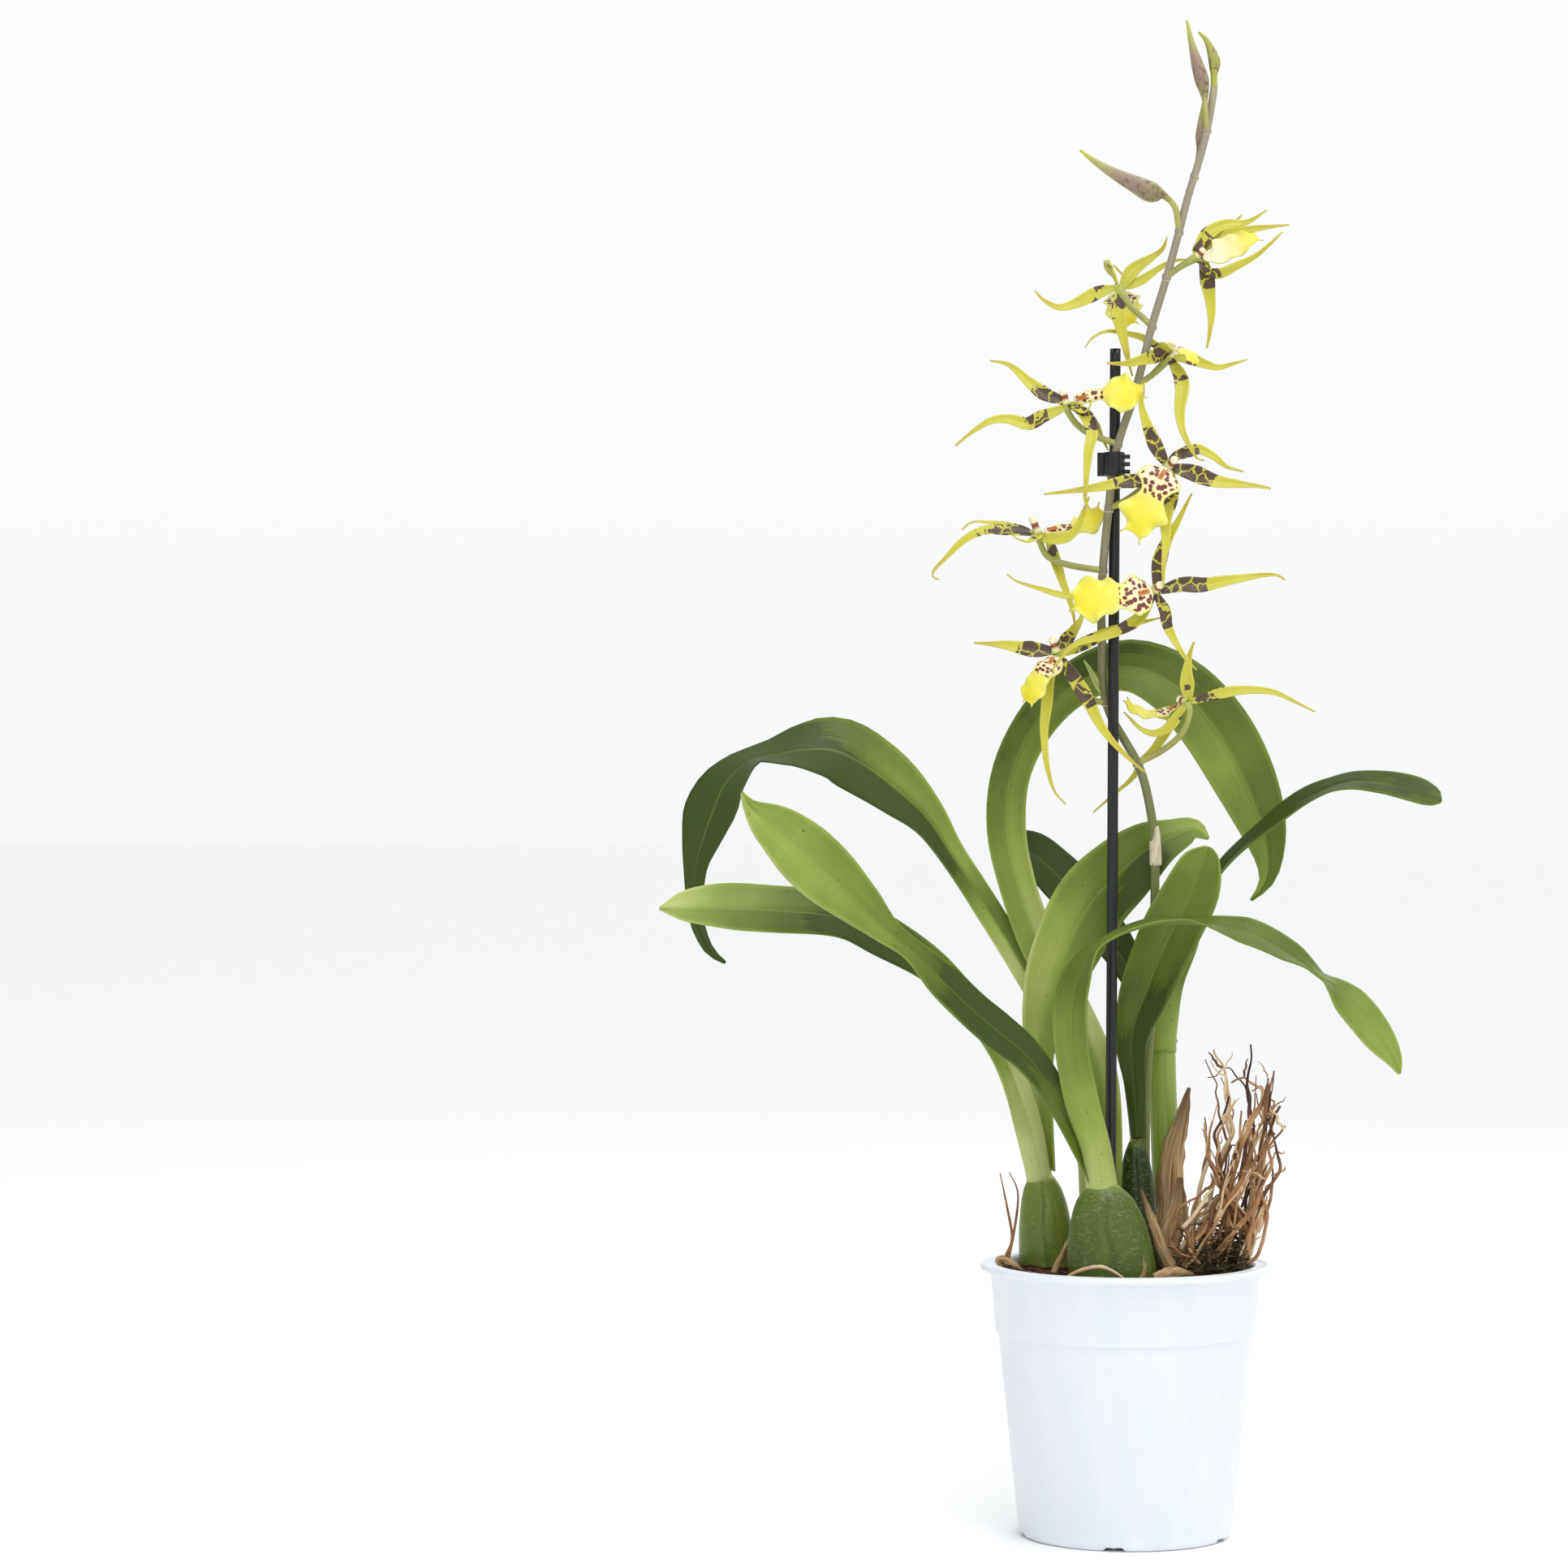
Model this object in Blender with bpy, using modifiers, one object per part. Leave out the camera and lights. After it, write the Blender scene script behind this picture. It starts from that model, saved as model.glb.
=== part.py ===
"""A brassia orchid in its grower's pot: four growths with strap leaves, and one staked spray of spidery blooms.

Run it with blender --background --python part.py. The plant stands on z = 0 with the pot's axis on Z. The spray
leans right (+X) and its blooms look towards -Y. Sizes are in millimetres until they reach a mesh.
"""

import math

import bmesh
import bpy
from mathutils import Vector, noise

MM = 0.001
GAP = 0.3  # clearance between pieces that touch

# ---------------------------------------------------------------------------------------------
# Driving dimensions
# ---------------------------------------------------------------------------------------------

POT_HEIGHT = 112.5
POT_RIM_RADIUS = 60.0
POT_MOUTH_RADIUS = 53.0
POT_STEP_HEIGHT = 84.0  # where the wall steps in
POT_BASE_RADIUS = 43.8
POT_WALL = 1.5
POT_FOOT_HEIGHT = 7.0
POT_SIDES = 40
POT_NOTCHES = 5
POT_DRAIN_RING = 27.0

SOIL_HEIGHT = 107.0
SOIL_LUMP = 1.3

STAKE_TOP = (-4.0, -1.0, 479.6)
STAKE_FOOT = (-6.4, 7.0, 60.0)
STAKE_RADIUS = 2.25

CLIP_SPAN = (438.5, 448.3)
CLIP_CENTRE = (-4.4, -2.6)  # between the stake and the stem
CLIP_BORE = (3.4, 5.3)
CLIP_WALL = 1.1
CLIP_TEETH = 3

STEM_RADIUS_LOW = 2.0
STEM_RADIUS_HIGH = 1.25
PEDICEL_RADIUS = 1.0
RING_HEIGHT = 0.4  # how far a node ring stands out of the stem

LEAF_THICKNESS = 1.1
SHEATH_THICKNESS = 0.7
TEPAL_THICKNESS = 0.75
LIP_THICKNESS = 0.8
ROOT_RADIUS = 1.1

SCENE = bpy.context.scene

# ---------------------------------------------------------------------------------------------
# Scene, materials and mesh helpers
# ---------------------------------------------------------------------------------------------


def clear_scene():
    for old in list(bpy.data.objects):
        bpy.data.objects.remove(old, do_unlink=True)


def new_collection(name):
    made = bpy.data.collections.new(name)
    SCENE.collection.children.link(made)
    return made


def material(name, colour, roughness):
    """A Principled material; colour is an sRGB hex value."""
    made = bpy.data.materials.new(name)
    made.use_nodes = True
    shader = made.node_tree.nodes["Principled BSDF"]
    channels = [int(colour[i : i + 2], 16) / 255 for i in (0, 2, 4)]
    linear = [c / 12.92 if c <= 0.04045 else ((c + 0.055) / 1.055) ** 2.4 for c in channels]
    shader.inputs["Base Color"].default_value = (*linear, 1.0)
    shader.inputs["Roughness"].default_value = roughness
    shader.inputs["Metallic"].default_value = 0.0
    return made


def place(name, mesh, collection, finish=None):
    """An object for a mesh, in a collection, with a material and soft shading."""
    made = bpy.data.objects.new(name, mesh)
    collection.objects.link(made)
    if finish:
        mesh.materials.clear()
        mesh.materials.append(finish)
    mesh.shade_smooth()
    mesh.set_sharp_from_angle(angle=math.radians(50))
    return made


def mesh_of(name, bm):
    """Writes a bmesh in millimetres into a mesh in metres."""
    bmesh.ops.scale(bm, vec=(MM, MM, MM), verts=bm.verts)
    made = bpy.data.meshes.new(name)
    bm.to_mesh(made)
    bm.free()
    return made


def evaluated_mesh(obj):
    """The object's mesh with its modifiers applied, its doubles welded, in world space."""
    bpy.context.view_layer.update()
    graph = bpy.context.evaluated_depsgraph_get()
    made = bpy.data.meshes.new_from_object(obj.evaluated_get(graph), depsgraph=graph)
    bm = bmesh.new()
    bm.from_mesh(made)
    bmesh.ops.transform(bm, matrix=obj.matrix_world, verts=bm.verts)
    bmesh.ops.remove_doubles(bm, verts=bm.verts, dist=0.002 * MM)
    bmesh.ops.dissolve_degenerate(bm, edges=bm.edges, dist=0.001 * MM)
    bm.to_mesh(made)
    bm.free()
    return made


def join(name, pieces, collection, finish, solver="EXACT"):
    """One solid from overlapping pieces: a Boolean union on their collection, applied."""
    first, *others = pieces
    if others:
        group = new_collection(name + "_pieces")
        for piece in others:
            for holder in list(piece.users_collection):
                holder.objects.unlink(piece)
            group.objects.link(piece)
        union = first.modifiers.new("Union", "BOOLEAN")
        union.operation = "UNION"
        union.operand_type = "COLLECTION"
        union.collection = group
        union.solver = solver
    mesh = evaluated_mesh(first)
    mesh.name = name
    for piece in pieces:
        bpy.data.objects.remove(piece, do_unlink=True)
    if others:
        bpy.data.collections.remove(group)
    return place(name, mesh, collection, finish)


def cut(target, cutters, solver="EXACT"):
    """Takes every cutter out of the target with one live Boolean."""
    group = new_collection(target.name + "_cutters")
    for cutter in cutters:
        for holder in list(cutter.users_collection):
            holder.objects.unlink(cutter)
        group.objects.link(cutter)
        cutter.hide_render = True
        cutter.display_type = "WIRE"
    difference = target.modifiers.new("Holes", "BOOLEAN")
    difference.operation = "DIFFERENCE"
    difference.operand_type = "COLLECTION"
    difference.collection = group
    difference.solver = solver


# ---------------------------------------------------------------------------------------------
# Routes, tubes and blades
# ---------------------------------------------------------------------------------------------


def along(knots, count):
    """count points, evenly spaced, on a Catmull-Rom curve through the knots; knots may carry extra numbers."""
    knots = [Vector(knot) for knot in knots]
    ends = [2 * knots[0] - knots[1]] + knots + [2 * knots[-1] - knots[-2]]
    fine = []
    for a, b, c, d in zip(ends, ends[1:], ends[2:], ends[3:]):
        for step in range(16):
            t = step / 16
            fine.append(
                0.5 * ((2 * b) + (c - a) * t + (2 * a - 5 * b + 4 * c - d) * t**2 + (3 * b - a - 3 * c + d) * t**3)
            )
    fine.append(knots[-1])
    lengths = [0.0]
    for a, b in zip(fine, fine[1:]):
        lengths.append(lengths[-1] + (Vector(b[:3]) - Vector(a[:3])).length)
    points = []
    place_at = 0
    for index in range(count):
        goal = lengths[-1] * index / (count - 1)
        while place_at < len(fine) - 2 and lengths[place_at + 1] < goal:
            place_at += 1
        span = lengths[place_at + 1] - lengths[place_at]
        points.append(fine[place_at].lerp(fine[place_at + 1], (goal - lengths[place_at]) / span))
    return points


def tube(name, knots, count, sides=6):
    """A round rod through knots of (x, y, z, radius): a bevelled curve with filled caps, made a mesh."""
    curve = bpy.data.curves.new(name, "CURVE")
    curve.dimensions = "3D"
    curve.bevel_depth = MM
    curve.bevel_resolution = sides // 2 - 2
    curve.use_fill_caps = True
    spline = curve.splines.new("POLY")
    stations = along(knots, count)
    spline.points.add(count - 1)
    for point, station in zip(spline.points, stations):
        point.co = (*(Vector(station[:3]) * MM), 1.0)
        point.radius = station[3]
    wire = bpy.data.objects.new(name + "_curve", curve)
    SCENE.collection.objects.link(wire)
    mesh = evaluated_mesh(wire)
    bpy.data.objects.remove(wire, do_unlink=True)
    made = bpy.data.objects.new(name, mesh)
    SCENE.collection.objects.link(made)
    return made


def look_at_share(looks, share):
    """The facing direction at a share of the length, between the stated ones."""
    for (low, before), (high, after) in zip(looks, looks[1:]):
        if share <= high:
            return Vector(before).lerp(Vector(after), (share - low) / (high - low))
    return Vector(looks[-1][1])


def blade(name, knots, count, across, looks, keel, thickness, shape=None):
    """A thin leaf-like shell: a loft of knots (x, y, z, half width), split into triangles, then Solidify.

    looks lists the way its broad side faces at shares of its length, keel is how far its edges stand out of the
    middle as a share of the half width, and shape, where given, is the half width at a share of the length.
    """
    stations = along(knots, count)
    bm = bmesh.new()
    rows = []
    for index, station in enumerate(stations):
        here = Vector(station[:3])
        ahead = Vector(stations[min(index + 1, count - 1)][:3])
        behind = Vector(stations[max(index - 1, 0)][:3])
        tangent = (ahead - behind).normalized()
        side = tangent.cross(look_at_share(looks, index / (count - 1))).normalized()
        normal = side.cross(tangent)
        half = max(shape(index / (count - 1)) if shape else station[3], 0.45)
        row = []
        for step in range(across + 1):
            u = 2 * step / across - 1
            row.append(bm.verts.new(here + side * (u * half) + normal * (keel * half * abs(u) ** 1.5)))
        rows.append(row)
    for low, high in zip(rows, rows[1:]):
        for left in range(across):
            bm.faces.new((low[left], low[left + 1], high[left + 1], high[left]))
    bmesh.ops.triangulate(bm, faces=bm.faces, quad_method="FIXED")
    made = bpy.data.objects.new(name, mesh_of(name, bm))
    SCENE.collection.objects.link(made)
    wall = made.modifiers.new("Wall", "SOLIDIFY")
    wall.thickness = thickness * MM
    wall.offset = 0.0
    return made


def ball(name, centre, radii, segments=6, rings=4):
    bm = bmesh.new()
    bmesh.ops.create_uvsphere(bm, u_segments=segments, v_segments=rings, radius=1.0)
    bmesh.ops.scale(bm, vec=radii, verts=bm.verts)
    bmesh.ops.translate(bm, vec=centre, verts=bm.verts)
    made = bpy.data.objects.new(name, mesh_of(name, bm))
    SCENE.collection.objects.link(made)
    return made


def post(name, foot, top, radii, sides=16):
    """An upright elliptical post from z = foot to z = top; its centre and radii are (x, y)."""
    centre, (rx, ry) = radii
    bm = bmesh.new()
    bmesh.ops.create_cone(
        bm, cap_ends=True, segments=sides, radius1=1.0, radius2=1.0, depth=top - foot
    )
    bmesh.ops.scale(bm, vec=(rx, ry, 1.0), verts=bm.verts)
    bmesh.ops.translate(bm, vec=(*centre, (top + foot) / 2), verts=bm.verts)
    made = bpy.data.objects.new(name, mesh_of(name, bm))
    SCENE.collection.objects.link(made)
    return made


def box(name, low, high):
    bm = bmesh.new()
    bmesh.ops.create_cube(bm, size=1.0)
    size = Vector(high) - Vector(low)
    bmesh.ops.scale(bm, vec=size, verts=bm.verts)
    bmesh.ops.translate(bm, vec=Vector(low) + size / 2, verts=bm.verts)
    made = bpy.data.objects.new(name, mesh_of(name, bm))
    SCENE.collection.objects.link(made)
    return made


def turned(name, profile, steps):
    """A profile of (radius, height) turned about Z with a Screw modifier, from the outside top downwards."""
    bm = bmesh.new()
    verts = [bm.verts.new((radius, 0.0, height)) for radius, height in profile]
    for a, b in zip(verts, verts[1:]):
        bm.edges.new((a, b))
    made = bpy.data.objects.new(name, mesh_of(name, bm))
    SCENE.collection.objects.link(made)
    screw = made.modifiers.new("Turn", "SCREW")
    screw.steps = steps
    screw.render_steps = steps
    screw.use_merge_vertices = True
    screw.merge_threshold = 0.00001
    return made


def settle(obj, collection, finish):
    """Moves a finished piece into the object's collection and gives it its material."""
    for holder in list(obj.users_collection):
        holder.objects.unlink(obj)
    collection.objects.link(obj)
    obj.data.materials.clear()
    obj.data.materials.append(finish)
    obj.data.shade_smooth()
    obj.data.set_sharp_from_angle(angle=math.radians(50))
    return obj


# ---------------------------------------------------------------------------------------------
# Pot and substrate
# ---------------------------------------------------------------------------------------------


def pot_wall_radius(height):
    """Outer radius of the wall below the step."""
    share = height / POT_STEP_HEIGHT
    return POT_BASE_RADIUS + (POT_RIM_RADIUS - 7.5 - POT_BASE_RADIUS) * share


def make_pot(collection, finish):
    floor = 3.4
    inside_foot = POT_BASE_RADIUS - POT_WALL
    profile = [
        (0.0, floor),
        (inside_foot - 2.0, floor),
        (inside_foot, floor + 2.0),
        (pot_wall_radius(POT_STEP_HEIGHT) - POT_WALL, POT_STEP_HEIGHT),
        (POT_MOUTH_RADIUS, POT_HEIGHT - 2.0),
        (POT_MOUTH_RADIUS + 1.0, POT_HEIGHT),
        (POT_RIM_RADIUS - 1.5, POT_HEIGHT),
        (POT_RIM_RADIUS, POT_HEIGHT - 1.2),
        (POT_RIM_RADIUS, POT_HEIGHT - 3.0),
        (POT_RIM_RADIUS - 1.2, POT_HEIGHT - 4.0),
        (POT_RIM_RADIUS - 4.0, POT_HEIGHT - 4.6),
        (POT_RIM_RADIUS - 6.4, POT_STEP_HEIGHT + 1.0),
        (pot_wall_radius(POT_STEP_HEIGHT), POT_STEP_HEIGHT),
        (pot_wall_radius(POT_FOOT_HEIGHT), POT_FOOT_HEIGHT),
        (POT_BASE_RADIUS, POT_FOOT_HEIGHT - 1.0),
        (POT_BASE_RADIUS - 0.4, 1.6),
        (POT_BASE_RADIUS - 2.0, 0.0),
        (0.0, 0.0),
    ]
    pot = settle(turned("pot", profile, POT_SIDES), collection, finish)
    cutters = []
    for index in range(POT_NOTCHES):
        angle = 2 * math.pi * index / POT_NOTCHES - math.pi / 2 - 0.1
        notch = box(f"notch_{index}", (POT_BASE_RADIUS - 2.6, -4.5, -1.0), (POT_BASE_RADIUS + 4, 4.5, 2.8))
        notch.rotation_euler.z = angle
        hole = post(f"drain_{index}", -1.0, floor + 1.0, ((0.0, 0.0), (3.5, 3.5)), sides=8)
        hole.location = Vector((math.cos(angle), math.sin(angle), 0.0)) * POT_DRAIN_RING * MM
        cutters += [notch, hole]
    cut(pot, cutters)
    return pot


def make_substrate(collection, finish):
    """Bark and coir that fills the pot, its top raised in lumps by a seeded noise."""
    top = SOIL_HEIGHT
    wall = POT_MOUTH_RADIUS - 2 * GAP
    step_wall = pot_wall_radius(POT_STEP_HEIGHT) - POT_WALL - GAP
    foot_wall = POT_BASE_RADIUS - POT_WALL - GAP
    profile = [(0.0, top)] + [(ring * wall / 5, top) for ring in range(1, 6)]
    profile += [
        (step_wall, POT_STEP_HEIGHT),
        (foot_wall, 5.6),
        (foot_wall - 2.0, 3.7),
        (0.0, 3.7),
    ]
    blank = turned("substrate_blank", profile, 20)
    mesh = evaluated_mesh(blank)
    bpy.data.objects.remove(blank, do_unlink=True)
    for vert in mesh.vertices:
        radius = vert.co.xy.length / MM
        if vert.co.z > (top - 1.0) * MM and radius < wall - 1.0:
            vert.co.z += SOIL_LUMP * MM * noise.noise(Vector(vert.co) * 110 + Vector((3.0, 1.0, 7.0)))
    bm = bmesh.new()
    bm.from_mesh(mesh)
    bmesh.ops.triangulate(bm, faces=bm.faces)
    bm.to_mesh(mesh)
    bm.free()
    return place("substrate", mesh, collection, finish)


# ---------------------------------------------------------------------------------------------
# Growths: pseudobulbs, the young stalk, their leaves and dry sheaths
# ---------------------------------------------------------------------------------------------

# Each pseudobulb: foot centre (x, y), neck centre (x, y), half widths (x, y), top height.
BULBS = {
    "bulb_front": ((-5.0, -14.0), (-8.5, -11.5), (18.0, 11.0), 146.3),
    "bulb_left": ((-32.0, 24.0), (-35.0, 24.0), (12.0, 10.0), 147.8),
    "bulb_mid": ((6.0, 20.5), (4.5, 20.5), (8.8, 6.5), 161.5),
}
BULB_FOOT = SOIL_HEIGHT - 9.0
# Share of the height above the soil, and share of the half widths there.
BULB_FORM = [(1.0, 0.33), (0.95, 0.4), (0.83, 0.66), (0.64, 0.86), (0.45, 0.96), (0.25, 1.0), (0.0, 0.95)]

STALK = [(17.0, 40.5, 98.0, 5.0), (17.5, 40.5, 140.0, 6.0), (16.0, 40.0, 180.0, 5.8), (15.5, 40.0, 207.5, 5.6)]

# Each leaf's knots run from its base to its tip as (x, y, z, half width); its looks give the way its upper
# side faces at shares of its length.
LEAVES = {
    "leaf_a": {
        "knots": [
            (-14, 20, 99, 3.2), (-14.3, 20.4, 112, 4), (-15, 22, 160, 5.5), (-24, 29, 198, 5.5), (-39, 33, 227, 6),
            (-72, 38, 276, 8), (-89, 39, 301, 11), (-106, 38, 317, 14.5), (-126, 36, 326, 16.5),
            (-144, 32, 325.5, 14),
            (-161, 26, 319.5, 13), (-172.5, 20, 309, 13.5), (-178, 15, 293, 12), (-181, 12, 280, 8),
            (-181, 10, 268, 4.5),
            (-177.5, 8, 251, 4), (-168, 6, 235, 0.6),
        ],
        "looks": [
            (0.0, (0.2, -0.9, 0.3)), (0.5, (0.1, -0.9, 0.4)), (0.7, (-0.1, -0.8, 0.55)), (0.85, (-0.4, -0.9, 0.2)),
            (1.0, (-0.5, -0.85, 0.0)),
        ],
    },
    "leaf_b": {
        "knots": [
            (-12, -8.8, 148.5, 4), (-17, -10, 158, 4.5), (-25, -13, 170, 5), (-33.5, -16, 183, 6),
            (-45.5, -20, 197, 7),
            (-67.5, -28, 216.5, 7.5), (-85, -35, 237, 6.5), (-93, -38, 247, 7.5), (-107, -44, 262, 12.5),
            (-123.5, -51, 279.5, 14), (-139.5, -57, 294.5, 11.5), (-150.5, -60, 303, 6), (-155, -61, 307, 0.6),
        ],
        "looks": [
            (0.0, (0.3, -0.8, 0.5)), (0.5, (0.5, -0.8, 0.4)), (0.7, (-0.2, -0.9, 0.5)), (1.0, (-0.3, -0.8, 0.6)),
        ],
    },
    "leaf_c": {
        "knots": [
            (-35.5, 20, 148.3, 5), (-40, 17, 168, 6.3), (-50, 12, 199, 6.5), (-62, 6, 221, 8), (-79, -2, 241, 11),
            (-101, -10, 252, 11), (-118, -16, 257, 10.5), (-144, -24, 259, 11.5), (-163, -29, 260, 11.8),
            (-180, -34, 260, 8), (-190, -37, 260, 0.6),
        ],
        "looks": [(0.0, (0.2, -0.95, 0.2)), (0.6, (0.1, -0.85, 0.5)), (1.0, (0.0, -0.75, 0.66))],
    },
    "leaf_d": {
        "knots": [
            (-10, 12.3, 99, 3.2), (-9.7, 12.3, 112, 4), (-8.5, 12, 135, 6.5), (-8.5, 13.5, 165, 7.5),
            (-11, 18, 192, 7.5), (-23, 25, 219, 7.5), (-36, 30, 243, 8), (-45, 34, 268, 8), (-50, 38, 292, 8.5),
            (-48, 41, 316, 8.5), (-37, 44, 338, 9),
            (-20, 46, 354, 10), (1, 47, 361, 12), (21, 46, 353, 14), (38, 44, 336, 14), (50, 41, 315, 12.5),
            (59, 38, 293, 9.5), (61, 36, 279, 5.5), (59, 34, 269, 2.4), (53, 33, 262, 0.6),
        ],
        "looks": [
            (0.0, (-0.1, -1.0, 0.0)), (0.4, (-0.3, -0.9, 0.2)), (0.65, (0.0, -0.85, 0.5)), (1.0, (0.4, -0.85, 0.3)),
        ],
    },
    "leaf_e": {
        "knots": [
            (14.5, 43.2, 209.0, 3.5), (6, 46, 225, 6), (-5, 49, 243, 9), (-19, 53, 261, 11.5), (-33, 57, 276, 11),
            (-45, 60, 284, 9), (-56, 61, 285, 0.6),
        ],
        "looks": [(0.0, (0.3, -0.8, 0.5)), (1.0, (0.0, -0.7, 0.7))],
    },
    "leaf_f": {
        "knots": [
            (-35, 28, 148.0, 5), (-36, 27, 171, 5.5), (-36, 24.5, 198, 6.5), (-33, 20, 218, 10), (-27, 17, 236, 13.5),
            (-15, 15.5, 260, 15.5), (-2, 16, 274, 14.5), (10, 18, 284, 11.5), (20, 20.5, 289, 8), (29, 22.5, 292, 5),
            (35, 23, 288, 0.6),
        ],
        "looks": [(0.0, (0.1, -1.0, 0.1)), (0.8, (0.05, -1.0, 0.2)), (1.0, (0.0, -0.8, 0.6))],
    },
    "leaf_g": {
        "knots": [
            (-9.5, -14, 147.3, 5.2), (-12, -15, 162, 6), (-18, -17, 182, 7), (-22, -18.5, 206, 7), (-20, -20, 228, 9),
            (-12, -21, 243, 11), (4, -22, 251, 12), (24, -22, 253.5, 12), (44, -24, 252, 12), (63, -27, 243, 11),
            (76, -30, 233, 10), (84, -32, 225, 9.5), (95, -35, 211, 8.5), (105, -38, 198, 6.5), (111, -40, 187, 0.6),
        ],
        "looks": [
            (0.0, (0.1, -1.0, 0.0)), (0.22, (0.0, -1.0, 0.1)), (0.34, (-0.7, -0.5, 0.5)), (0.45, (-0.1, -0.2, 0.95)),
            (0.65, (0.1, -0.3, 0.95)), (0.8, (0.4, -0.25, 0.85)), (0.88, (0.5, -0.8, 0.3)), (1.0, (0.5, -0.8, 0.3)),
        ],
    },
    "leaf_h": {
        "knots": [
            (5, 20.5, 162.2, 3), (4, 18.5, 186, 4), (3, 16.5, 206, 6.5), (9, 13, 225, 10), (17, 6, 246, 12),
            (26, 0, 265, 11.5), (31, -3, 276, 9), (34, -5, 284, 2.5),
        ],
        "looks": [(0.0, (-0.2, -1.0, 0.0)), (0.6, (-0.25, -0.95, 0.1)), (1.0, (0.1, -0.9, 0.4))],
    },
    "leaf_i": {
        "knots": [
            (16, 37.5, 208.6, 6), (18, 36, 226, 7), (24, 34, 243, 7), (30, 31, 260, 7), (38, 28, 277, 7),
            (49, 25, 290, 7), (65, 20, 301, 7.5), (76, 16, 307, 8), (90, 12, 312, 8.5), (104, 9, 313, 8.5),
            (118, 6, 311, 7), (129, 4, 304, 0.6),
        ],
        "looks": [
            (0.0, (0.1, -1.0, 0.1)), (0.45, (-0.1, -0.8, 0.6)), (0.7, (-0.1, -0.6, 0.8)), (1.0, (0.1, -0.6, 0.8)),
        ],
    },
}
LEAF_STATIONS = {"leaf_d": 21, "leaf_a": 18, "leaf_g": 18}

SHEATH_LOOKS = [(0.0, (0.1, -1.0, 0.0)), (1.0, (0.1, -1.0, 0.0))]
# Each dry sheath's knots, as (x, y, z, half width).
SHEATHS = {
    "dry_sheath_tall": [
        (18, 32.5, 99, 2.5), (18.5, 32, 112, 3.2), (19, 32, 132, 5.5), (20, 32, 152, 5), (24, 31.5, 170, 3),
        (27, 31, 183, 0.6),
    ],
    "dry_sheath_torn": [
        (18, 12, 99, 2.2), (18.5, 12, 111, 3), (19, 12, 123, 5.2), (22, 12, 132, 4.5), (23, 12.5, 147, 0.8),
    ],
    "dry_sheath_strip": [(3, 34.5, 99, 2), (4, 35, 150, 2.5), (6, 35, 175, 2), (9, 35, 205, 0.6)],
}


def make_bulb(name, collection, finish):
    foot, neck, widths, top = BULBS[name]
    rise = top - SOIL_HEIGHT
    profile = [(0.0, top + 0.0)] + [(share, SOIL_HEIGHT + rise * height) for height, share in BULB_FORM]
    profile += [(BULB_FORM[-1][1], BULB_FOOT), (0.0, BULB_FOOT)]
    blank = turned(name + "_blank", [(radius * 10, height) for radius, height in profile], 14)
    mesh = evaluated_mesh(blank)
    bpy.data.objects.remove(blank, do_unlink=True)
    for vert in mesh.vertices:
        share = max(0.0, min(1.0, (vert.co.z / MM - SOIL_HEIGHT) / rise))
        centre = Vector(foot).lerp(Vector(neck), share) * MM
        vert.co.x = vert.co.x * widths[0] / 10 + centre.x
        vert.co.y = vert.co.y * widths[1] / 10 + centre.y
    bm = bmesh.new()
    bm.from_mesh(mesh)
    bmesh.ops.recalc_face_normals(bm, faces=bm.faces)
    bm.to_mesh(mesh)
    bm.free()
    return place(name, mesh, collection, finish)


def make_leaf(name, collection, finish):
    leaf = LEAVES[name]
    stations = LEAF_STATIONS.get(name, 14)
    made = blade(name, leaf["knots"], stations, 4, leaf["looks"], 0.14, LEAF_THICKNESS)
    return settle(made, collection, finish)


# ---------------------------------------------------------------------------------------------
# Route of the flower stem
# ---------------------------------------------------------------------------------------------

# The flower stem's axis from the soil to the last bud.
STEM = [
    (8.5, 31.5, 99), (8.5, 31.5, 142), (8.5, 30, 163), (9, 27, 184), (11, 21, 215), (12, 15, 242), (12.5, 10, 269),
    (12, 7, 290), (9, 6, 308), (5.5, 6.3, 319), (0, 6.8, 329), (-5, 6.4, 337.5), (-8, 5.2, 346), (-9.3, 2.8, 357),
    (-9.5, 0, 370), (-9.8, -1, 387), (-8.5, -3, 407), (-6.5, -4.8, 427), (-4.7, -5, 444), (-1, -4.5, 457.5),
    (3, -3, 469), (7.5, -1, 486), (11.5, 0, 502), (17, 0, 520), (22, 0, 538.5), (26, 0, 554), (30, 0, 567),
    (33.5, 0, 580), (36, 0, 593.5), (36.8, 0, 599.5),
]
# The dry papery bract clasps the stem; the small green one stands off it below a pedicel.
BRACT_BAND = [(12.5, 8.1, 279.5, 2.35), (12.3, 7.3, 287.5, 2.0)]
BRACT = [(-8.6, 4.2, 348.5, 1.6), (-12.2, 3.4, 352.5, 2.2), (-15.5, 2.8, 358.5, 0.5)]


def stem_radius(height):
    top = STEM[-1][2]
    share = max(0.0, (height - STEM[0][2]) / (top - STEM[0][2]))
    return STEM_RADIUS_LOW + (STEM_RADIUS_HIGH - STEM_RADIUS_LOW) * share**0.7


def stem_knots():
    return [(*knot, stem_radius(knot[2])) for knot in STEM]


# ---------------------------------------------------------------------------------------------
# Blooms and buds
# ---------------------------------------------------------------------------------------------


def tepal(*knots, half=3.0, face=(0.0, -1.0, 0.3), tip_face=None):
    """One sepal or petal: knots as offsets from the heart, its greatest half width and the way it looks."""
    return {"knots": knots, "half": half, "looks": [(0.0, face), (1.0, tip_face or face)]}


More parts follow.
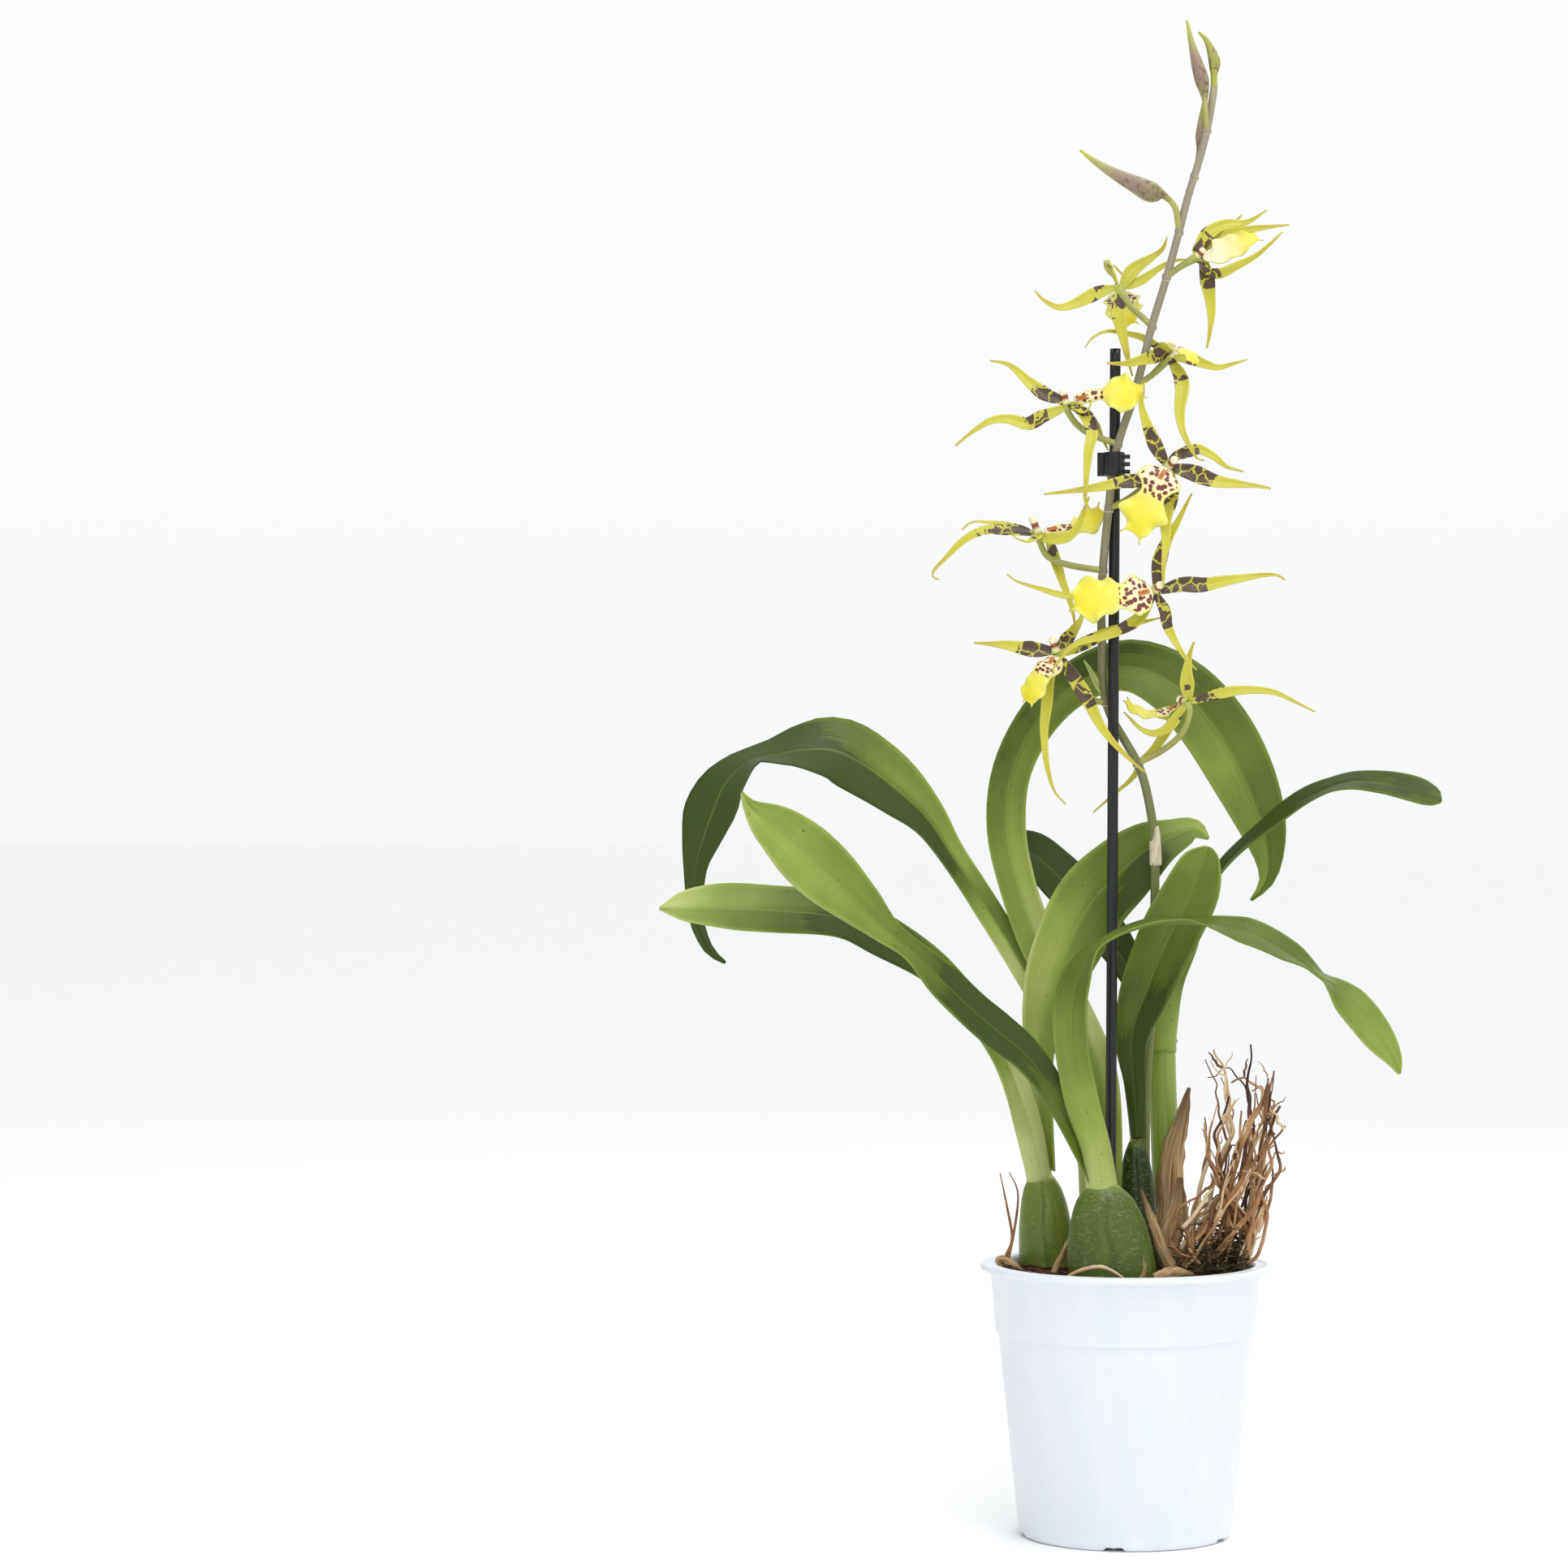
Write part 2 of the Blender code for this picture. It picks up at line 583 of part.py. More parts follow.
# Each bloom: the heart where its parts meet, the point on the stem's axis that its pedicel leaves, and offsets
# from the heart for everything else. A lip's knots carry their half width.
BLOOMS = [
    {
        "heart": (29.6, -1, 529),
        "join": (17.2, 0, 521),
        "pedicel": [(-7, 0, -4)],
        "column": (3.5, -1, 3.5),
        "tepals": [
            tepal((4, 2, 9), (12, 4, 14), (21, 5, 15), (29, 6, 20)),
            tepal((1, 3, 4), (9, 8, 10), (15, 11, 15), (19, 12, 19)),
            tepal((5, 3, 6), (14, 2.5, 10), (27, 0.5, 12), (38, -1, 13)),
            tepal((2, -4, -4), (8, -7.5, -7), (16, -9, -4.5), (26, -9, 1), (35, -9, 9), face=(0.2, -0.6, -0.7)),
            tepal((3, -1, -3), (5, -2, -14), (6, -3, -24), (5, -4, -34), (4, -4, -38)),
        ],
        "lip": [
            (2.9, -3.1, -0.1, 1.4), (7, -5.6, 0.7, 5), (12, -5, 2.5, 6), (18, -5, 5, 5), (22, -5, 7, 3),
            (25, -4, 8, 0.6),
        ],
        "lip_face": (0.3, -0.8, 0.5),
    },
    {
        "heart": (-2.4, 7, 517.3),
        "join": (11.3, 0, 500.5),
        "pedicel": [(5, -3, -8), (10, -6, -13)],
        "column": (-1, 4, 1.5),
        "tepals": [
            tepal((-3, 3, 6), (-6, 9, 10), (-3, 17, 12), (5, 22, 4), face=(1, 0.3, 0.5)),
            tepal((2, 1, 2), (6, 3, 8), (13, 5, 13), (18, 6, 17), (20, 6, 22)),
            tepal((-2, 0, 0), (-9, -1, -2), (-17, -2, -6), (-25, -3, -8), (-31, -3, -5), (-35, -3, -1)),
            tepal((0, -1, -3), (0, -3, -12), (2, -4, -22), (4, -5, -31), (5.5, -5, -37)),
            tepal((4, 1, 1), (10, 3, 4), (17, 4, 9), (24, 4, 12), (31, 4, 12), half=2.0),
        ],
        "lip": [(0.3, 2.9, -1.2, 1.6), (1, 7, -4, 7), (2, 11, -8, 7.5), (3, 14, -11, 6), (5, 15, -14, 0.6)],
        "lip_face": (0.0, -0.75, -0.6),
    },
    {
        "heart": (18.5, 0, 487.7),
        "join": (4.9, -2.2, 476),
        "pedicel": [(-7, -1, -7)],
        "column": (1.5, -1, 7),
        "tepals": [
            tepal((-4, -4, 1), (-10, -7, -1), (-18, -8, -3), (-26, -8, -3), face=(0.1, -0.9, -0.3)),
            tepal((-4, 3, 4), (-11, 7, 9), (-18, 9, 11), (-26, 8, 12), (-32, 6, 9), (-35, 5, 5), half=1.6),
            tepal((4, 2, 0), (10, 3, -1), (19, 2, -4), (25, 1, -3), (32, 0, -1), half=2.4),
            tepal(
                (1, -1.5, -2), (4.5, -6, -9), (5, -9, -15), (4, -12, -23), (5, -14, -31), (8, -16, -38),
                (11, -17, -43),
                (14, -17, -44),
            ),
            tepal((-2, -5, 3), (-2, -14, 4), (-1, -24, 3), (1, -31, 0), face=(0, 0.3, 1)),
        ],
        "lip": [(3, -2.4, 2, 2), (5, -5, 3.2, 4.5), (7.5, -8, 2, 5), (9.5, -10, -1, 3.5), (10.5, -11, -4, 0.6)],
        "lip_face": (0.3, -0.3, 0.9),
    },
    {
        "heart": (-23.9, -4, 468),
        "join": (-2.9, -4.7, 451.6),
        "pedicel": [(0.5, -0.5, -3), (4, -1, -8), (10, -1, -12.4)],
        "column": (-2, -0.5, 7),
        "tepals": [
            tepal((-3, 0, 2), (-10, 1, 5), (-16, 2, 10), (-24, 3, 17), (-32, 3, 19)),
            tepal((-3, -1, -2), (-10, -2, -5), (-16, -2, -8), (-24, -3, -6), (-32, -4, -7), (-40, -5, -12),
                (-46, -5, -17)),
            tepal((5, 1, -2), (11, 5, -7), (14, 9, -12), (17, 12, -18), half=2.4),
            tepal(
                (4, -4, -1), (9, -10, -7), (10.5, -14, -13), (9, -18, -21), (8, -20, -34), (8, -19, -42),
                (12, -18, -46),
                half=2.8,
            ),
            tepal((3, -4, -1), (6, -9, -4), (9, -12, -3), (10.5, -13, 1), half=1.8, face=(0, -0.3, 1)),
        ],
        "lip": [
            (2.9, -0.8, 1.8, 1.6), (8, -3, 3, 2.4), (14.5, -5, 4, 3), (19, -7, 4.5, 7.5), (25, -8, 4.5, 7.5),
            (29, -8, 5, 4),
            (31.5, -8, 5, 0.6),
        ],
        "lip_face": (0.0, -0.95, 0.3),
    },
    {
        "heart": (17.8, -13, 441.6),
        "join": (-6.6, -4.7, 425),
        "pedicel": [(-3, 4, -3), (-10, 7, -8), (-17, 8.3, -13)],
        "column": (3.3, -5, 3.3),
        "tepals": [
            tepal((-1.5, 0, 2), (-5, -1, 8), (-8, -2, 15), (-11, -2, 25), (-10, -2, 31), (-10, -2, 34)),
            tepal((3, 0, 4), (8, 2, 6), (13, 3, 7), (19, 3, 4), (24, 3, 0), (31, 3, -2), half=2.6),
            tepal((3, 0, -1), (9, 0, -2.5), (17, 1, -5.5), (25, 1, -7), (36, 2, -8), (42, 3, -9), half=3.7),
            tepal((-3, 1, -2), (-11, 2, -5.5), (-20, 1, -6.5), (-29, 0, -8.5), (-41, 0, -10), (-51, 1, -11)),
            tepal((1, 0.5, -3), (1.5, 0.5, -11), (-1, -1, -21), (-1, -3, -31), (-2, -6, -41), (-2, -8, -50)),
        ],
        "lip": [
            (-0.7, -2.4, -0.7, 2), (-3, -5, -4.5, 8), (-5, -5.5, -9, 6.5), (-7.5, -5.5, -14, 7),
            (-10.5, -5, -20, 9.5),
            (-13, -4, -25, 6), (-15, -3, -28, 1),
        ],
        "lip_face": (0.0, -1.0, 0.15),
    },
    {
        "heart": (-35.7, -3, 414.7),
        "join": (-9.1, -2, 399.5),
        "pedicel": [(0.5, 0, -3), (4, 0, -9.5), (13, 0, -13)],
        "column": (-3, -0.5, 7.5),
        "tepals": [
            tepal((-3, 1, 0.5), (-10, 3, 3), (-20, 4, 5), (-28, 4, 5), (-32, 4, 2), half=2.0, face=(0, -0.5, 0.9)),
            tepal(
                (-3, -1, 0), (-13, -2, 1), (-22, -3, 1), (-31, -4, -3), (-38, -5, -10), (-43, -6, -15),
                (-43.5, -6, -18),
                (-41, -6, -19), face=(0, -0.7, 0.7),
            ),
            tepal((-0.5, -5, -2), (-4, -10, -4), (-8, -14, -3), (-11, -16, -1), half=2.2, face=(0, -0.2, 1)),
            tepal((4, 2, -2), (7, 3, -11), (10, 2, -20), (13, 1, -28), (15, -1, -37), (15, -2, -43), half=2.2),
            tepal((3, -3, -2), (11, -5, -2), (16, -5, 2), (19, -5, 10), (21, -5, 15), half=2.6),
        ],
        "lip": [
            (2.6, 1.2, 0.9, 1.4), (8, 3, 2.5, 2), (14, 4.5, 3.2, 3), (19, 6, 5, 6.5), (23, 7, 8, 5.5),
            (26, 7, 11, 0.6),
        ],
        "lip_face": (0.0, -0.7, 0.7),
    },
    {
        "heart": (12.5, -14, 390.8),
        "join": (-9.8, -0.8, 385),
        "pedicel": [(-5, 3, -1), (-14, 7, -3), (-19, 10, -4.5)],
        "column": (2.5, -4, 2.5),
        "tepals": [
            tepal((0.5, 1, 3), (2, 3, 13), (5, 5, 21), (9, 6, 28), (15, 6, 40)),
            tepal((3, 0, 0), (11, 1, 2), (20, 1, 2), (31, 1, 4), (44, 2, 6), (50, 2, 6), (53, 2, 4), half=3.4),
            tepal((1, 0.5, -3), (4, 0, -9), (5, -1, -15), (9, -3, -23), (13, -4, -29), (17, -4, -33), half=2.4),
            tepal((-3, 1.5, 0), (-14, 3, 0), (-28, 3, -1), (-37, 3, -2), (-48, 3, 1), (-57, 4, 4), (-61, 4, 7),
                half=2.6),
            tepal(
                (-1.5, 0.5, -3), (-7, 0, -12), (-18, -1, -18), (-29, -2, -21), (-35, -3, -24), (-41, -5, -31),
                (-42, -6, -34), half=2.6,
            ),
        ],
        "lip": [
            (-1.3, -2.2, -0.3, 2), (-6, -5, -1.5, 7.5), (-10, -6, -2.2, 6.5), (-14, -6, -2.6, 6.5), (-20, -6, -3, 8),
            (-26, -5, -3.5, 9.5), (-31, -5, -4.5, 6), (-34, -4, -5, 1),
        ],
        "lip_face": (0.0, -1.0, 0.15),
    },
    {
        "heart": (-28.3, -6, 365.6),
        "join": (-7.7, 5.3, 345),
        "pedicel": [(2, 3, -4), (9, 8, -14), (15, 10, -19.5)],
        "column": (-2, -2, 6.5),
        "tepals": [
            tepal((-3, 0, 0.5), (-10, 0, 1), (-22, 1, 3), (-34, 2, 4), half=3.4),
            tepal((2.5, 2, 3), (7, 6, 9), (10, 9, 14), (12, 11, 20), half=2.8),
            tepal((4, 0, 0), (11, -1, 3), (19, -2, 7), (28, -3, 10.5), (35, -3, 12), (43, -3, 14), half=2.8),
            tepal((2, 0, -3), (8, -1, -12), (13, -2, -20), (18, -3, -30), (24, -3, -38), (31, -2, -45),
                (37, -1, -50)),
            tepal((0, 1, -3), (-3, 1, -12), (-4, 0, -22), (-5, 0, -33), (-4, 0, -46), (-1, 0, -57), (4, 0, -63),
                half=2.4),
        ],
        "lip": [
            (-0.8, -2.6, -1.9, 2), (-2.5, -5.5, -5, 5.5), (-6, -7, -9, 5), (-9, -7, -14, 5.5), (-11, -6, -18, 5),
            (-12, -5, -21, 1),
        ],
        "lip_face": (-0.3, -0.8, 0.5),
    },
    {
        "heart": (25.6, 4, 345),
        "join": (5.3, 6.3, 319.6),
        "pedicel": [(1, 0, -5), (-2, 0, -13), (-10, 0.5, -20)],
        "column": (-4, 3, 1.5),
        "tepals": [
            tepal((0.5, 0, 2), (0, -1, 11), (1, -1, 19), (3, -1, 25)),
            tepal((3, 0, 0.5), (14, 0, 3.5), (25, 1, 5), (36, 1, 4), (45, 1, 0), (53, 1, -4), half=2.3),
            tepal(
                (-2, 2, -2), (-7, 6, -10), (-13, 8.5, -19), (-19, 9.5, -25), (-22, 10, -31), (-31, 10, -39),
                (-39, 10, -46),
                half=2.0,
            ),
            tepal((-2, -1, -3), (-7, -1, -10), (-13, 0, -13), (-19, 1, -11), (-24, 2, -6), (-26, 2, -4), half=2.2),
            tepal((0, 4, -2), (-3, 8, -5), (-7, 13, -7), (-12, 16, -6), half=2.4, face=(0, -0.3, 1)),
        ],
        "lip": [
            (-3.0, 4.1, -1.2, 1.4), (-7, 6.4, -3, 3.6), (-12, 6, -4.2, 3.4), (-17, 7, -4.2, 4), (-22, 7, -2, 3.4),
            (-25, 7, 1, 0.8),
        ],
        "lip_face": (0.1, -0.45, 0.9),
    },
]

# Each bud: its knots from tip to the end of its pedicel, as (x, y, z, radius), then the point on the stem's
# axis that it leaves. The last bud stands on the stem's tip.
BUDS = [
    ([(25.6, 0, 627.4, 0.5), (28, 0, 617, 1.6), (31.6, 0, 604.2, 3.0), (32.9, 0, 597, 1.2), (33.2, -3.2, 590, 0.8)],
     (33.9, 0, 581.5)),
    ([(30.5, 0.5, 622.5, 0.5), (34.5, 0.5, 617, 1.3), (37, 0.3, 609.8, 2.4), (36.8, 0, 604.5, 1.3)], None),
    ([(32.6, 4.5, 594, 0.6), (32.6, 4.5, 588, 2.1), (31.8, 4.5, 580, 2.7), (31, 4, 574, 1.2), (29.8, 3, 568, 0.8)],
     (28.7, 0, 562.5)),
    ([(-18.5, -4, 573.5, 0.5), (-12, -4, 568.5, 1.4), (-4, -4, 563.5, 2.6), (8, -4, 557.5, 4.3),
    (14.5, -4, 554.6, 2.2),
      (17.5, -3.5, 553.5, 0.9), (21, -2.5, 549, 0.8)],
     (22.4, 0, 539.8)),
]


def tepal_width(half):
    """Half width along a sepal or petal: a narrow claw, widest a quarter of the way out, then a long point."""

    def width(share):
        if share < 0.25:
            return half * (0.5 + 0.5 * math.sin(math.pi / 2 * share / 0.25))
        return half * (0.12 + 0.88 * (1 - (share - 0.25) / 0.75) ** 1.15)

    return width


def pedicel_end(before, join, radius):
    """The pedicel stops a gap short of the stem's ring, on the way to the stem's axis."""
    inward = (Vector(before) - Vector(join)).normalized()
    below = max((knot for knot in STEM if knot[2] <= join[2]), key=lambda knot: knot[2])
    above = min((knot for knot in STEM if knot[2] > join[2]), key=lambda knot: knot[2])
    axis = (Vector(above) - Vector(below)).normalized()
    lean = abs(axis.dot(inward))
    across = math.sqrt(1 - lean**2)
    ring = RING_HEIGHT if lean < 0.6 else 0.0
    return Vector(join) + inward * (radius + ring + GAP + 0.8 * PEDICEL_RADIUS * lean) / across


def make_bloom(number, bloom, collection, tepal_finish, lip_finish):
    heart = Vector(bloom["heart"])
    pieces = [ball(f"core_{number}", heart, (2.3, 2.3, 2.3))]
    bends = [heart + Vector(offset) for offset in bloom["pedicel"]]
    end = pedicel_end(bends[-1], bloom["join"], stem_radius(bloom["join"][2]))
    knots = [(*heart, 1.5)] + [(*bend, PEDICEL_RADIUS) for bend in bends] + [(*end, PEDICEL_RADIUS)]
    pieces.append(tube(f"pedicel_{number}", knots, 6, sides=6))
    tip = heart + Vector(bloom["column"])
    knots = [(*heart, 1.6), (*heart.lerp(tip, 0.7), 1.5), (*tip, 1.7)]
    pieces.append(tube(f"column_{number}", knots, 3, sides=6))
    for index, part in enumerate(bloom["tepals"]):
        first = Vector(part["knots"][0]).normalized() * 0.8
        knots = [heart + first] + [heart + Vector(knot) for knot in part["knots"]]
        width = tepal_width(part["half"])
        pieces.append(blade(f"tepal_{number}_{index}", knots, 7, 2, part["looks"], 0.35, TEPAL_THICKNESS, width))
    join(f"bloom_{number}", pieces, collection, tepal_finish)
    knots = [(*(heart + Vector(knot[:3])), knot[3]) for knot in bloom["lip"]]
    looks = [(0.0, bloom["lip_face"]), (1.0, bloom["lip_face"])]
    lip = blade(f"lip_{number}", knots, 7, 4, looks, -0.15, LIP_THICKNESS)
    settle(lip, collection, lip_finish)


def make_bud(number, knots, joint, collection, finish):
    knots = list(knots)
    if joint:
        end = pedicel_end(knots[-1][:3], joint, stem_radius(joint[2]))
        knots.append((*end, knots[-1][3]))
    else:
        x, y, z = STEM[-1]
        knots.append((x, y, z + GAP + 0.1, 1.0))
    settle(tube(f"bud_{number}", knots, 13, sides=6), collection, finish)


# ---------------------------------------------------------------------------------------------
# Making the stem and the clip; roots and the holes in the substrate
# ---------------------------------------------------------------------------------------------


def make_stem(collection, finish):
    stem = tube("stem_rod", stem_knots(), 34, sides=6)
    pieces = [stem]
    joints = [bloom["join"] for bloom in BLOOMS] + [joint for _, joint in BUDS if joint]
    for index, joint in enumerate(joints):
        here = Vector(joint)
        radius = stem_radius(joint[2]) + RING_HEIGHT - 0.05
        half = Vector((0.0, 0.0, 1.0))
        pieces.append(tube(f"ring_{index}", [(*(here - half), radius), (*(here + half), radius)], 2, 6))
    pieces.append(tube("bract_band", BRACT_BAND, 3, 8))
    pieces.append(blade("bract", BRACT, 4, 2, [(0.0, (0.0, -1.0, 0.2)), (1.0, (0.0, -1.0, 0.2))], 0.2, LIP_THICKNESS))
    return join("flower_stem", pieces, collection, finish)


def make_clip(collection, finish):
    """A sleeve round stake and stem with a grip on its left and a comb of teeth on its right."""
    low, high = CLIP_SPAN
    x, y = CLIP_CENTRE
    outer = [radius + CLIP_WALL for radius in CLIP_BORE]
    pieces = [
        post("clip_sleeve", low, high, (CLIP_CENTRE, outer), sides=20),
        box("clip_grip", (x - 7.0, y - 0.8, low), (x - CLIP_BORE[0] - 0.3, y + 0.8, high)),
    ]
    for index in range(CLIP_TEETH):
        foot = low + 0.8 + index * 3.1
        pieces.append(box(f"clip_tooth_{index}", (x + CLIP_BORE[0] + 0.3, -6.0, foot), (x + 6.6, -3.6, foot + 1.7)))
    clip = join("clip", pieces, collection, finish)
    bore = post("clip_bore", low - 1, high + 1, (CLIP_CENTRE, CLIP_BORE), sides=20)
    cut(clip, [bore])
    return clip


ROOTS_LEFT = [
    [(-50, 8, 99, 0.7), (-50, 8, 112, 0.7), (-47, 9, 121, 0.6), (-49, 9, 134, 0.6), (-52, 9, 148.5, 0.5)],
    [(-50, 8, 106, 0.7), (-46, 7, 125, 0.6), (-44.5, 7, 140, 0.5), (-48, 8, 149, 0.5)],
]
ROOT_FRONT = [
    (-24, -31, 108.3, 0.8), (-18, -33, 110.3, 0.9), (-10, -34, 112.0, 0.9), (-4, -34, 110.4, 0.9),
    (0, -34, 108.4, 0.8),
]
ROOT_CLUMP = {"centre": (37.0, 2.0, 106.0), "radii": (13.5, 15.0, 9.0)}
ROOTS_RIGHT = [
    [(34, 0, 108), (33, 2, 128), (38, 3, 150), (44, 2, 166), (43, 1, 180), (41, 0, 192), (36.5, 0, 201)],
    [(40, 2, 108), (43, 6, 130), (49, 6, 152), (52, 5, 170), (51, 4, 186), (52, 4, 203)],
    [(45, 0, 108), (52, -2, 126), (56, -3, 148), (58, -3, 160), (62, -4, 165), (66, -4, 170)],
    [(38, -4, 108), (42, -6, 130), (45, -7, 150), (50, -8, 168), (57, -7, 180), (60, -6, 186), (58, -5, 165)],
    [(44, 6, 108), (50, 9, 130), (55, 9, 150), (58, 8, 168), (57, 7, 183), (50, 6, 189), (44, 5, 187)],
    [(30, 4, 108), (28, 6, 124), (31, 8, 140), (35, 8, 156), (33, 8, 170)],
    [(36, -8, 108), (33, -10, 122), (37, -12, 138), (43, -12, 152), (47, -11, 163)],
    [(46, -6, 108), (50, -9, 120), (53, -9, 134), (52, -8, 148), (55, -8, 158)],
    [(32, -6, 108), (28, -8, 116), (25, -9, 128), (30, -9, 140), (36, -8, 146)],
    [(42, 10, 108), (45, 14, 126), (44, 16, 144), (47, 17, 160), (52, 16, 172)],
    [(48, 3, 110), (54, 3, 124), (57, 3, 138), (56, 3, 152)],
    [(28, 0, 109), (24, -1, 118), (29, -2, 132), (40, -3, 140), (46, -3, 155), (48, -3, 176)],
]


def make_roots(collection, finish):
    knots = [[(*knot, ROOT_RADIUS) for knot in root] for root in ROOTS_RIGHT]
    pieces = [ball("root_clump", ROOT_CLUMP["centre"], ROOT_CLUMP["radii"], 12, 8)]
    pieces += [tube(f"root_{index}", root, 8, 4) for index, root in enumerate(knots)]
    join("roots_right", pieces, collection, finish)
    pieces = [tube(f"left_root_{index}", root, 8, 6) for index, root in enumerate(ROOTS_LEFT)]
    join("roots_left", pieces, collection, finish)
    settle(tube("root_front", ROOT_FRONT, 8, 6), collection, finish)


def soil_holes():
    """Plain holes for everything that stands in the substrate."""
    top = SOIL_HEIGHT + 4.0
    cutters = []
    for name, (foot, _, widths, _) in BULBS.items():
        radii = [width * BULB_FORM[-1][1] + GAP + 0.35 for width in widths]
        cutters.append(post(name + "_hole", BULB_FOOT - GAP, top, (foot, radii), 20))
    stands = {name: LEAVES[name]["knots"][0] for name in ("leaf_a", "leaf_d")}
    stands["growth_stalk"] = STALK[0]
    stands.update({name: knots[0] for name, knots in SHEATHS.items()})
    for name, (x, y, z, half) in stands.items():
        depth = half + 0.7 if name == "growth_stalk" else 3.0
        cutters.append(post(name + "_hole", z - GAP, top, ((x, y), (half + 2.2, depth)), 12))
    cutters.append(tube("stem_hole", [(*STEM[0][:2], STEM[0][2] - GAP, 2.5), (*STEM[0][:2], top, 2.5)], 2, 10))
    away = (Vector(STAKE_TOP) - Vector(STAKE_FOOT)).normalized()
    low, high = Vector(STAKE_FOOT) - away * GAP, Vector(STAKE_FOOT) + away * 60
    cutters.append(tube("stake_hole", [(*low, 2.65), (*high, 2.65)], 2, 12))
    cutters.append(post("roots_left_hole", 98.7, top, ((-50, 8), (1.2, 1.2)), 10))
    cx, cy, cz = ROOT_CLUMP["centre"]
    rx, ry, rz = ROOT_CLUMP["radii"]
    cutters.append(ball("roots_right_hollow", (cx, cy, cz), (rx + 0.5, ry + 0.5, rz + 0.5), 12, 8))
    return cutters


# ---------------------------------------------------------------------------------------------
# The whole plant
# ---------------------------------------------------------------------------------------------

clear_scene()
plant = new_collection("brassia_orchid")

plastic = material("pot_plastic", "EDF2FA", 0.35)
bark = material("bark_and_coir", "3A2016", 0.9)
green = material("leaf_green", "5B7D3A", 0.42)
bulb_green = material("pseudobulb_green", "4C7A2B", 0.45)
stem_skin = material("stem_skin", "6E6A4A", 0.5)
tepal_skin = material("tepal_skin", "B9B52F", 0.5)
lip_skin = material("lip_skin", "F0E25A", 0.5)
bud_skin = material("bud_skin", "8D7A80", 0.5)
dry_skin = material("dry_sheath_skin", "8A6238", 0.8)
root_skin = material("root_skin", "B58A5A", 0.8)
black = material("black_stake_plastic", "202226", 0.4)

make_pot(plant, plastic)
substrate = make_substrate(plant, bark)
cut(substrate, soil_holes())

for bulb_name in BULBS:
    make_bulb(bulb_name, plant, bulb_green)
settle(tube("growth_stalk", STALK, 8, sides=12), plant, bulb_green)
for leaf_name in LEAVES:
    make_leaf(leaf_name, plant, green)
for sheath_name, sheath_knots in SHEATHS.items():
    sheath = blade(sheath_name, sheath_knots, 7, 2, SHEATH_LOOKS, 0.3, SHEATH_THICKNESS)
    settle(sheath, plant, dry_skin)

settle(tube("stake", [(*STAKE_FOOT, STAKE_RADIUS), (*STAKE_TOP, STAKE_RADIUS)], 2, sides=12), plant, black)
make_clip(plant, black)
make_stem(plant, stem_skin)
for bloom_number, bloom_data in enumerate(BLOOMS, 1):
    make_bloom(bloom_number, bloom_data, plant, tepal_skin, lip_skin)
for bud_number, (bud_knots, bud_joint) in enumerate(BUDS, 1):
    make_bud(bud_number, bud_knots, bud_joint, plant, bud_skin)
make_roots(plant, root_skin)
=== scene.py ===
"""Looks of a brassia orchid in its grower's pot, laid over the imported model.

The plant stands on z = 0 with the pot's axis on Z and its blooms looking towards -Y. Lengths are in
millimetres until a mesh is finished, when MM turns them to metres.
"""

import math
import random

import bmesh
import bpy
from mathutils import Matrix, Vector, noise


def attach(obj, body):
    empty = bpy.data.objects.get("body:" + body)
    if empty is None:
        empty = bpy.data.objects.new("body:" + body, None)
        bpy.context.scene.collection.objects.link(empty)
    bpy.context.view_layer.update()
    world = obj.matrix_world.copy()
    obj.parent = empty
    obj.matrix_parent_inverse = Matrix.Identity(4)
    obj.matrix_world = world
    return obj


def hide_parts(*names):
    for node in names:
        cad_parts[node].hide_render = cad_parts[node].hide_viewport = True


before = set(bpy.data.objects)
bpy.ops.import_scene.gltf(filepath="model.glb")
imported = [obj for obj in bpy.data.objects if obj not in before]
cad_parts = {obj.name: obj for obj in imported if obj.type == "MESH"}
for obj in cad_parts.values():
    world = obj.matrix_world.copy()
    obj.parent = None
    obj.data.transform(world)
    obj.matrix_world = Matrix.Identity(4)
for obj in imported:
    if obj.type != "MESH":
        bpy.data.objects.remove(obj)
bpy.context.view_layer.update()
MM = 0.001

# ---------------------------------------------------------------------------------------------
# Camera, floor and light
# The camera stands level with the leaves, 1.78 m in front of the pot's axis, and is turned a little to the
# left of it. The floor is a wide pale board under a white studio sky, with large soft lamps overhead, at the
# left and behind.
# ---------------------------------------------------------------------------------------------

IMAGE_SIDE = 1932  # pixels
FOCAL_LENGTH_PIXELS = 5283.5
AXIS_OFFSET_PIXELS = 420  # how far right of the picture's middle the pot's axis stands
CAMERA_DISTANCE = 1784.0
CAMERA_HEIGHT = 311.0
FLOOR_SIZE = 40000.0
SENSOR_WIDTH = 36.0

camera_data = bpy.data.cameras.new("camera")
camera_data.sensor_width = SENSOR_WIDTH
camera_data.lens = FOCAL_LENGTH_PIXELS / IMAGE_SIDE * SENSOR_WIDTH
camera = bpy.data.objects.new("camera", camera_data)
camera.location = (0.0, -CAMERA_DISTANCE * MM, CAMERA_HEIGHT * MM)
camera.rotation_euler = (math.pi / 2, 0.0, math.atan(AXIS_OFFSET_PIXELS / FOCAL_LENGTH_PIXELS))
bpy.context.scene.collection.objects.link(camera)
bpy.context.scene.camera = camera
bpy.context.scene.view_settings.view_transform = "Standard"


def linear(colour):
    """An sRGB hex colour as a linear colour with alpha."""
    channels = [int(colour[i : i + 2], 16) / 255 for i in (0, 2, 4)]
    return (*[c / 12.92 if c <= 0.04045 else ((c + 0.055) / 1.055) ** 2.4 for c in channels], 1.0)


def output_of(source):
    """A node given in place of one of its outputs stands for the first of them."""
    return source.outputs[0] if isinstance(source, bpy.types.Node) else source


